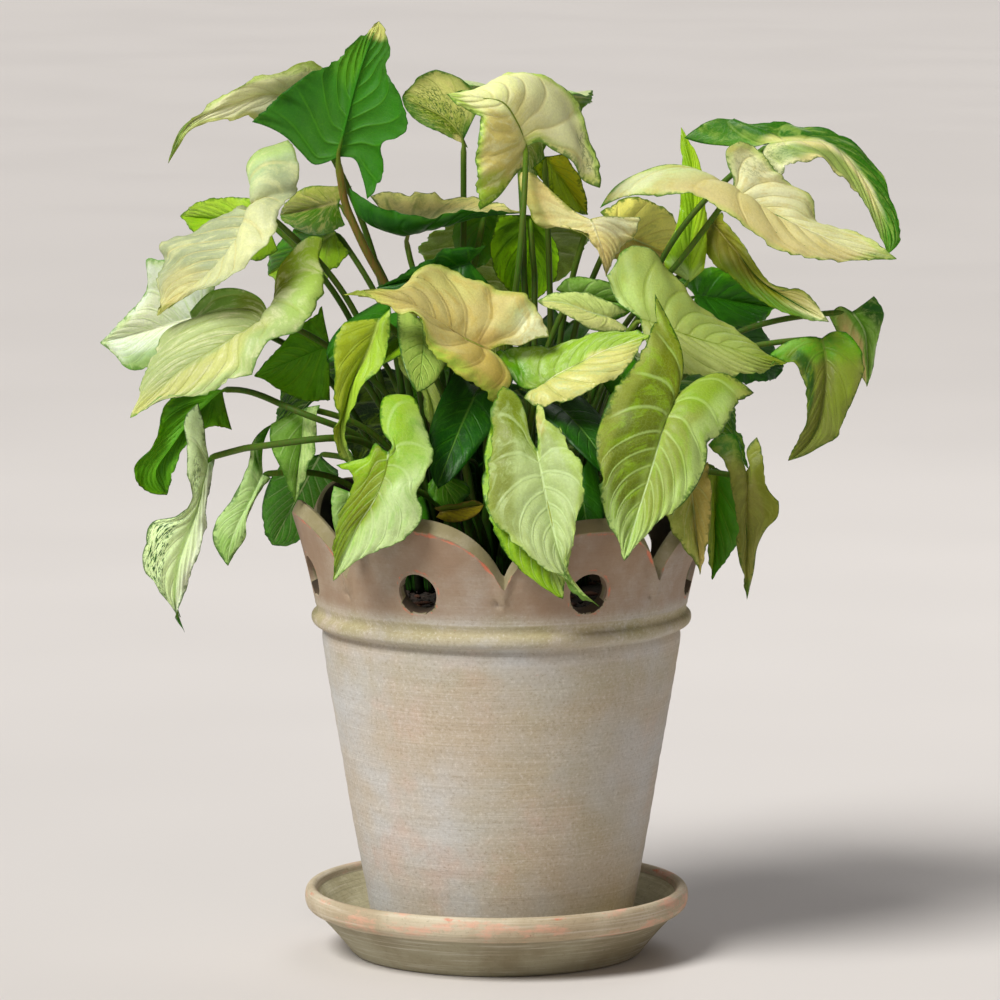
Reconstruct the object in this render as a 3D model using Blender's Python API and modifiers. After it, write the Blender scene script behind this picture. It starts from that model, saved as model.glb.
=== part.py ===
"""Cream-variegated arrowhead plant in a scalloped clay pot on its saucer.

Origin: centre of the saucer's underside. +Z up, -Y toward the viewer, metres.
"""
import math

import bmesh
import bpy
import numpy as np
from mathutils import Vector

MM = 0.001

# ---------------------------------------------------------------- sizes (mm)
SAUCER_BASE_R = 72.5  # foot of the saucer
SAUCER_RIM_R = 96.5  # outermost line of the rolled rim
SAUCER_H = 34.0
SAUCER_FLOOR = 7.0  # thickness of the saucer floor
SAUCER_GROOVE_R = 88.5  # throat under the rolled rim

GAP = 0.3  # air between pieces that touch
POT_X = 2.4  # the pot stands a little off the saucer's centre
POT_Z = SAUCER_FLOOR + GAP  # underside of the pot
POT_FOOT_R = 63.2
POT_NECK_R = 90.4  # body just under the band
NECK_Z = 161.5
BAND_R = 95.2
BAND_TOP_Z = 174.5
COLLAR_R = 107.4  # outer radius at the scallop tops
SCALLOPS = 7
SCALLOP_TOP_Z = 231.0
NOTCH_Z = 200.5
NOTCH_TURN = 0.6  # degrees, the front notch looks at the viewer
POT_WALL = 7.0
POT_FLOOR = 9.0
DRAIN_R = 10.0
HOLE_R = 9.6
HOLE_Z = 193.5
RIM_CHAMFER = 5.0

SOIL_Z = 178.0
SOIL_RISE = 7.0

STEM_R = 3.6
STEM_TOPS = ((-32.0, 4.0, 232.0), (4.0, -24.0, 226.0), (30.0, 16.0, 240.0))

BLADE = 0.9  # blade thickness of the solids
CLEAR = 3.2  # air kept between neighbouring blades
STALK_R = 1.55
STALK_POINTS = 8
POT_SIDES = 42
EMBED = 0.75  # how far the stalk's line runs under the blade's middle

# ------------------------------------------------------- the front chart
# Leaves are laid out on a front chart of 1000 x 1000 squares of half a
# millimetre, looked at from an eye point 3.5 m in front and a little above.
# chart(u, v, y) is the point at depth y (mm, + away from the eye) that the eye
# sees at square (u, v).
EYE = np.array((1.75, -3460.0, 677.0))
AIM_Z = 228.2
_tilt = math.atan2(EYE[2] - AIM_Z, -EYE[1])
FOCAL = math.hypot(EYE[1], EYE[2] - AIM_Z) / 0.5
FWD = np.array((0.0, math.cos(_tilt), -math.sin(_tilt)))
RIGHT = np.array((1.0, 0.0, 0.0))
UP = np.array((0.0, math.sin(_tilt), math.cos(_tilt)))


def chart(u, v, y):
    ray = FWD + (u - 500.0) / FOCAL * RIGHT + (500.0 - v) / FOCAL * UP
    return EYE + ray * ((y - EYE[1]) / ray[1])


def seen(points):
    """Chart squares and depth y of points (n, 3)."""
    d = points - EYE
    f = d @ FWD
    return np.stack(
        (500.0 + d @ RIGHT / f * FOCAL, 500.0 - d @ UP / f * FOCAL, points[..., 1]), -1
    )


# ------------------------------------------------------------ smooth curves
class Curve:
    """A smooth curve through points, read by share of its length."""

    def __init__(self, points):
        p = np.asarray(points, float)
        step = np.linalg.norm(np.diff(p, axis=0), axis=1)
        step = np.maximum(step, 1e-6)
        self.t = np.concatenate(([0.0], np.cumsum(step))) / step.sum()
        self.p = p
        t = self.t
        m = np.zeros_like(p)
        if len(p) == 2:
            m[:] = p[1] - p[0]
        else:
            slope = np.diff(p, axis=0) / np.diff(t)[:, None]
            w = np.diff(t)
            m[1:-1] = (slope[:-1] * w[1:, None] + slope[1:] * w[:-1, None]) / (
                w[1:] + w[:-1]
            )[:, None]
            m[0] = slope[0] * 1.5 - m[1] * 0.5
            m[-1] = slope[-1] * 1.5 - m[-2] * 0.5
        self.m = m

    def __call__(self, at):
        at = np.clip(np.asarray(at, float), 0.0, 1.0)
        k = np.clip(np.searchsorted(self.t, at, side="right") - 1, 0, len(self.p) - 2)
        h = (self.t[k + 1] - self.t[k])[..., None]
        x = ((at - self.t[k])[..., None]) / h
        a, b = self.p[k], self.p[k + 1]
        ma, mb = self.m[k] * h, self.m[k + 1] * h
        return (
            (2 * x**3 - 3 * x**2 + 1) * a
            + (x**3 - 2 * x**2 + x) * ma
            + (-2 * x**3 + 3 * x**2) * b
            + (x**3 - x**2) * mb
        )


def _run(ends, between, lift):
    """Depths for the points between two ends. A point without its own depth
    takes one between its neighbours, brought nearer by lift in the middle."""
    pts = [ends[0]] + list(between) + [ends[1]]
    flat = np.array([p[:2] for p in pts], float)
    step = np.linalg.norm(np.diff(flat, axis=0), axis=1)
    s = np.concatenate(([0.0], np.cumsum(step)))
    s /= max(s[-1], 1e-6)
    known = [i for i, p in enumerate(pts) if len(p) == 3]
    out = []
    for i, p in enumerate(pts):
        if len(p) == 3:
            out.append(tuple(p))
            continue
        a = max(k for k in known if k < i)
        b = min(k for k in known if k > i)
        f = (s[i] - s[a]) / max(s[b] - s[a], 1e-6)
        y = pts[a][2] * (1 - f) + pts[b][2] * f - lift * 4 * f * (1 - f)
        out.append((p[0], p[1], y))
    return out


class Leaf:
    """One arrow-shaped blade with its stalk.

    J joint of stalk and blade, T tip, A and B the two basal lobes; L and R the
    margins from A and B to the tip, SA and SB the edges of the cleft from J to
    A and B, M points on the midrib. Each is (u, v) or (u, v, depth). up says
    that the chart looks at the upper face.
    """

    def __init__(self, name, up, look, J, T, A, B, L=(), R=(), M=(), SA=(), SB=(),
                 fold=6.0, arch=4.0, dome=2.0, wave=1.0, stalk=(), stalk_k=1.0,
                 push=0.0, seed=0, bare=False):
        self.name, self.up, self.look, self.seed = name, up, look, seed
        self.stalk, self.stalk_k, self.bare = stalk, stalk_k, bare
        self.dome, self.wave, self.push = dome, wave, push
        A, B = (p if len(p) == 3 else (*p, J[2]) for p in (A, B))
        self.rows = {
            "M": _run((J, T), M, arch),
            "L": _run((A, T), L, fold),
            "R": _run((B, T), R, fold),
            "SA": _run((J, A), SA, 0.0),
            "SB": _run((J, B), SB, 0.0),
        }
        self.place((0.0, 0.0, 0.0))

    def place(self, lean):
        """lean = (back, per square to the right, per square down): how far the
        leaf is set back from its chart depths, about its joint."""
        self.lean = lean
        back, right, down = lean
        u0, v0 = self.rows["M"][0][:2]
        c = {}
        for k, row in self.rows.items():
            c[k] = Curve([
                chart(u, v, y + self.push + back + right * (u - u0) + down * (v - v0))
                for u, v, y in row
            ])
        self.c = c
        if not any(lean):
            self.smooth_out()
        self._orient()

    rib, fade = 1.3, 1.6

    def smooth_out(self):
        """Choose how fast the cleft's shape fades into the blade, so that the
        sheet has no pleat."""
        best = None
        for rib in (1.3, 1.0, 1.7):
            for fade in (1.6, 2.4, 1.1, 3.4):
                self.rib, self.fade = rib, fade
                uu, vv = self.grid(6, 24)
                p = self.base(uu, vv)
                du, dv = np.diff(p, axis=1)[:-1], np.diff(p, axis=0)[:, :-1]
                n = np.cross(du, dv)
                main = n.sum((0, 1))
                main /= max(np.linalg.norm(main), 1e-9)
                side = n @ main
                bad = -np.minimum(side, 0).sum() / np.abs(side).sum()
                if best is None or bad < best[0] - 0.002:
                    best = (bad, rib, fade)
        self.pleat, self.rib, self.fade = best

    def _orient(self):
        self.flip = 1.0
        p, n = self.surface(np.array([0.0]), np.array([0.35]), normals=True)
        toward = float(n[0] @ (EYE - p[0]))
        self.flip = 1.0 if (toward > 0) == self.up else -1.0

    def base(self, u, v):
        c = self.c
        s = np.abs(u)
        mid = c["M"](v**self.rib)
        left = u < 0
        margin = np.where(left[..., None], c["L"](v), c["R"](v))
        cleft = np.where(left[..., None], c["SA"](s), c["SB"](s))
        j = c["M"].p[0]
        lobe = np.where(left[..., None], c["L"].p[0], c["R"].p[0])
        s1 = s[..., None]
        fade = ((1 - v) ** self.fade)[..., None]
        return (1 - s1) * mid + s1 * margin + fade * (
            cleft - (1 - s1) * j - s1 * lobe
        )

    def surface(self, u, v, normals=False):
        """Points of the mid-surface, u -1..1 across and v 0..1 along, and the
        normals of the upper face (before self.flip is known, of either)."""
        e = 0.012
        p = self.base(u, v)
        du = self.base(np.clip(u + e, -1, 1), v) - self.base(np.clip(u - e, -1, 1), v)
        dv = self.base(u, np.clip(v + e, 0, 1)) - self.base(u, np.clip(v - e, 0, 1))
        n = np.cross(du, dv)
        size = np.linalg.norm(n, axis=-1, keepdims=True)
        n = np.where(size > 1e-9, n / np.maximum(size, 1e-9), 0.0)
        n = n * self.flip
        s = np.abs(u)
        full = np.clip(4 * s * (1 - s), 0, 1) * np.clip(v * 4 + 0.25, 0, 1) * np.clip((1 - v) * 3, 0, 1)
        p = p + n * (self.dome * full)[..., None]
        return (p, n) if normals else p

    def via(self):
        return [chart(*w) for w in self.stalk]

    def measure(self):
        size = np.ptp(self.surface(*self.grid(3, 6)).reshape(-1, 3), axis=0)
        self.along = 8 if np.linalg.norm(size) > 88.0 else 6

    def grid(self, across, along):
        u = np.linspace(-1, 1, 2 * across + 1)
        v = np.linspace(0, 1, along + 1)
        uu, vv = np.meshgrid(u, v)
        return uu, vv


class Grown(Leaf):
    """A leaf set by its joint, heading and pose, for the sides that the chart
    does not show. at = joint (mm), heading and pitch of the midrib and roll
    about it (degrees), length and width (mm), droop = drop of the tip (mm)."""

    def __init__(self, name, look, at, heading, pitch, roll, length, width,
                 droop=18.0, fold=7.0, dome=2.0, wave=1.0, seed=0, stalk=(),
                 stalk_k=1.0):
        self.name, self.up, self.look, self.seed = name, True, look, seed
        self.stalk, self.stalk_k, self.bare = stalk, stalk_k, False
        self.dome, self.wave, self.push = dome, wave, 0.0
        h, p, r = map(math.radians, (heading, pitch, roll))
        ahead = np.array((math.cos(h) * math.cos(p), math.sin(h) * math.cos(p), math.sin(p)))
        side = np.array((-math.sin(h), math.cos(h), 0.0))
        up = np.cross(ahead, side)
        side = side * math.cos(r) + up * math.sin(r)
        up = np.cross(ahead, side)
        w = width / 2.0

        def q(x, y, z):
            bend = droop * max(x / length, 0.0) ** 2
            back = 0.35 * droop * max(-x / length, 0.0)
            return (np.array(at, float) + ahead * x + side * y + up * z
                    - np.array((0, 0, bend + back)))

        k = length
        self.pts = {
            "M": [q(0, 0, 0), q(0.3 * k, 0, -1), q(0.65 * k, 0, -1), q(k, 0, 0)],
            "L": [q(-0.38 * k, -0.62 * w, 2), q(-0.2 * k, -0.95 * w, fold * 0.7),
                  q(0.05 * k, -w, fold), q(0.35 * k, -0.8 * w, fold),
                  q(0.7 * k, -0.36 * w, fold * 0.5), q(k, 0, 0)],
            "R": [q(-0.38 * k, 0.62 * w, 2), q(-0.2 * k, 0.95 * w, fold * 0.7),
                  q(0.05 * k, w, fold), q(0.35 * k, 0.8 * w, fold),
                  q(0.7 * k, 0.36 * w, fold * 0.5), q(k, 0, 0)],
            "SA": [q(0, 0, 0), q(-0.12 * k, -0.16 * w, 2), q(-0.3 * k, -0.34 * w, 3),
                   q(-0.38 * k, -0.62 * w, 2)],
            "SB": [q(0, 0, 0), q(-0.12 * k, 0.16 * w, 2), q(-0.3 * k, 0.34 * w, 3),
                   q(-0.38 * k, 0.62 * w, 2)],
        }
        self.upward = up
        self.place((0.0, 0.0, 0.0))

    def via(self):
        return [np.array(w, float) + np.array((0.0, self.lean[0], 0.0)) * f
                for w, f in zip(self.stalk, (1.0, 0.5, 0.0))]

    def place(self, lean):
        self.lean = lean
        off = np.array((0.0, lean[0], 0.0))
        self.c = {k: Curve([p + off for p in v]) for k, v in self.pts.items()}
        self.flip = 1.0
        p, n = self.surface(np.array([0.0]), np.array([0.35]), normals=True)
        self.flip = 1.0 if float(n[0] @ self.upward) > 0 else -1.0


# ------------------------------------------------------------- pot outline
def scallop(angle):
    """Height of the collar's edge (mm) at an angle in degrees."""
    pitch = 360.0 / SCALLOPS
    x = ((angle + 90.0 - NOTCH_TURN) % pitch) / pitch * 2 - 1  # -1..1 over a lobe
    return NOTCH_Z + (SCALLOP_TOP_Z - NOTCH_Z) * (1 - abs(x) ** 2.3) ** 0.75


def collar_r(z):
    """Outer radius of the collar (mm)."""
    f = np.clip((z - BAND_TOP_Z) / (SCALLOP_TOP_Z - BAND_TOP_Z), 0, 1)
    return 91.6 + (COLLAR_R - 91.6) * (0.78 * f + 0.22 * f * f)


def collar_points():
    out = []
    for a in range(0, 360, 4):
        top = scallop(a)
        for z in np.arange(176.0, top + 0.1, 6.0):
            for inset in (0.0, POT_WALL):
                r = collar_r(z) - inset
                out.append((POT_X + r * math.cos(math.radians(a)), r * math.sin(math.radians(a)), z))
        r = collar_r(top) - POT_WALL / 2
        out.append((POT_X + r * math.cos(math.radians(a)), r * math.sin(math.radians(a)), top))
    return np.array(out)


# ------------------------------------------------- laying out and routing
def lay(leaves, cell=4.0, gap=CLEAR):
    """Front to back, each leaf leans and goes back, as little as it can, until
    it clears those before it."""
    deepest = {}
    tilts = np.linspace(-0.24, 0.24, 13)
    for leaf in leaves:
        uu, vv = leaf.grid(12, 30)
        q = seen(leaf.surface(uu, vv).reshape(-1, 3))
        keys = np.floor(q[:, :2] / cell).astype(int)
        need = []
        for (a, b), y in zip(map(tuple, keys), q[:, 2]):
            for da in (-1, 0, 1):
                for db in (-1, 0, 1):
                    k = (a + da, b + db)
                    if k in deepest:
                        need.append((k[0], k[1], deepest[k] + gap - y))
        n = np.array(need or [(0, 0, -1.0)])
        if n[:, 2].max() > 0:
            u0, v0 = leaf.rows["M"][0][:2]
            du, dv = (n[:, 0] + 0.5) * cell - u0, (n[:, 1] + 0.5) * cell - v0
            mu, mv = q[:, 0].mean() - u0, q[:, 1].mean() - v0
            best = None
            for right in tilts:
                for down in tilts:
                    back = (n[:, 2] - right * du - down * dv).max()
                    back = max(back, -right * mu - down * mv)
                    mean = back + right * mu + down * mv
                    cost = mean + 9.0 * math.hypot(right, down)
                    if best is None or cost < best[0] - 1e-9:
                        best = (cost, back, right, down)
            leaf.place(best[1:])
        q = seen(leaf.surface(uu, vv).reshape(-1, 3))
        keys = np.floor(q[:, :2] / cell).astype(int)
        for (a, b), y in zip(map(tuple, keys), q[:, 2]):
            deepest[(a, b)] = max(deepest.get((a, b), -1e9), y)


def soil_z(x, y):
    r = math.hypot(x - POT_X, y)
    return SOIL_Z + SOIL_RISE * (1 - min(r / 80.0, 1.0) ** 2)


def stalk_start(leaf):
    """Where the stalk meets the blade: under the rib, then under the joint."""
    first = 1.0 / leaf.along
    p, n = leaf.surface(
        np.zeros(3), np.array([first, first * 0.6, 0.0]), normals=True
    )
    under = n[1] * EMBED
    return p[0] - under, p[2] - under


def settle(leaves, others, gap=CLEAR + 3.0):
    """Each leaf is set further back until it clears the others."""
    cloud = np.concatenate([o.surface(*o.grid(6, 16)).reshape(-1, 3) for o in others])
    for leaf in leaves:
        for _ in range(40):
            q = leaf.surface(*leaf.grid(7, 16)).reshape(-1, 3)
            if np.linalg.norm(q[:, None] - cloud[None], axis=-1).min() > gap:
                break
            leaf.place((leaf.lean[0] + 1.5, 0.0, 0.0))
        cloud = np.concatenate([cloud, q])


def route(leaves, points=19, rounds=150):
    """Stalk paths from each joint down to the soil beside the nearest stem,
    eased away from the blades, the collar and each other."""
    sockets = []
    for sx, sy, _ in STEM_TOPS:
        for ring, count, turn in ((STEM_R + 3.6, 7, 0.0), (STEM_R + 9.0, 13, 0.25)):
            for i in range(count):
                a = turn + 2 * math.pi * i / count
                sockets.append((sx + ring * math.cos(a), sy + ring * math.sin(a)))
    free = list(sockets)
    order = sorted(
        (l for l in leaves if not l.bare),
        key=lambda l: -math.hypot(l.c["M"].p[0][0] - POT_X, l.c["M"].p[0][1]),
    )
    paths, owner = {}, {}
    for leaf in order:
        rib, joint = stalk_start(leaf)
        via = leaf.via()
        aim = via[-1] if via else joint
        spot = np.array((aim[0] * 0.5, aim[1] * 0.5))
        best = min(free, key=lambda s: (s[0] - spot[0]) ** 2 + (s[1] - spot[1]) ** 2)
        free.remove(best)
        foot = np.array((best[0], best[1], soil_z(*best) + GAP + 0.1))
        last = via[-1] if via else joint
        span = math.hypot(last[0] - foot[0], last[1] - foot[1])
        rise = last[2] - foot[2]
        mids = []
        for t in (0.66, 0.33):
            f = t**1.6
            g = 1 - (1 - t) ** 1.7
            hump = max(0.0, 0.22 * span - 0.06 * rise) * 4 * t * (1 - t)
            mids.append(np.array((
                foot[0] + (last[0] - foot[0]) * f,
                foot[1] + (last[1] - foot[1]) * f,
                foot[2] + rise * g + hump,
            )))
        line = Curve([joint] + via + mids + [foot])
        paths[leaf.name] = line(np.linspace(0, 1, points))
        owner[leaf.name] = leaf
    names = list(paths)
    fixed = [collar_points()]
    for x, y, top in STEM_TOPS:
        for z in np.arange(SOIL_Z, top + 2.0, 3.0):
            turn = np.arange(6) * math.pi / 3
            fixed.append(np.stack((x + STEM_R * np.cos(turn), y + STEM_R * np.sin(turn), np.full(6, z)), -1))
    cloud = [np.concatenate(fixed)]
    who = [np.full(len(cloud[0]), -1)]
    index = {l.name: i for i, l in enumerate(leaves)}
    for leaf in leaves:
        uu, vv = leaf.grid(5, 14)
        q = leaf.surface(uu, vv).reshape(-1, 3)
        cloud.append(q)
        who.append(np.full(len(q), index[leaf.name]))
    cloud, who = np.concatenate(cloud), np.concatenate(who)
    stack = np.stack([paths[n] for n in names])
    start = stack.copy()
    keep = np.array([0.15 if owner[n].stalk else 0.03 for n in names])[:, None, None]
    for turn in range(rounds):
        if turn % 15 == 0:
            near_to = []
            for i, n in enumerate(names):
                away = np.linalg.norm(cloud[:, None] - stack[i][None, ::2], axis=-1).min(1)
                local = away < 22.0
                near_to.append((cloud[local], who[local]))
        move = np.zeros_like(stack)
        for i, n in enumerate(names):
            inner = stack[i, 1:-1]
            local, whose = near_to[i]
            if not len(local):
                continue
            d = inner[:, None] - local[None]
            dist = np.linalg.norm(d, axis=-1)
            own = whose == index[n]
            dist[:5, own] = 1e9
            k = dist.argmin(1)
            rows = np.arange(len(inner))
            near = dist[rows, k]
            hit = near < 5.6
            push = d[rows, k] / np.maximum(near, 1e-3)[:, None] * (5.6 - near)[:, None]
            move[i, 1:-1] += np.where(hit[:, None], 0.5 * push, 0.0)
        flat = stack[:, 1:-1].reshape(-1, 3)
        group = np.repeat(np.arange(len(names)), stack.shape[1] - 2)
        d = flat[:, None] - flat[None]
        dist = np.linalg.norm(d, axis=-1)
        near = (dist < 6.2) & (group[:, None] != group[None])
        force = np.where(near, (6.2 - dist) / np.maximum(dist, 0.3), 0.0)
        aside = np.stack((np.cos(group * 2.4), np.sin(group * 2.4), 0.0 * group), -1)
        push = (d * force[..., None]).sum(1) + aside * (near.sum(1) * 0.15)[:, None]
        move[:, 1:-1] += np.clip(0.3 * push, -2.0, 2.0).reshape(len(names), -1, 3)
        late = turn > 0.6 * rounds
        move[:, 1:-1] += (0.05 if late else 0.16) * (stack[:, :-2] + stack[:, 2:] - 2 * stack[:, 1:-1])
        move[:, 1:-1] += (start[:, 1:-1] - stack[:, 1:-1]) * (0.1 * keep if late else keep)
        stack = np.round(stack + move, 5)
    for i, n in enumerate(names):
        rib, joint = stalk_start(owner[n])
        owner[n].path = np.vstack([rib[None], joint[None], stack[i, 1:]])

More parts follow.
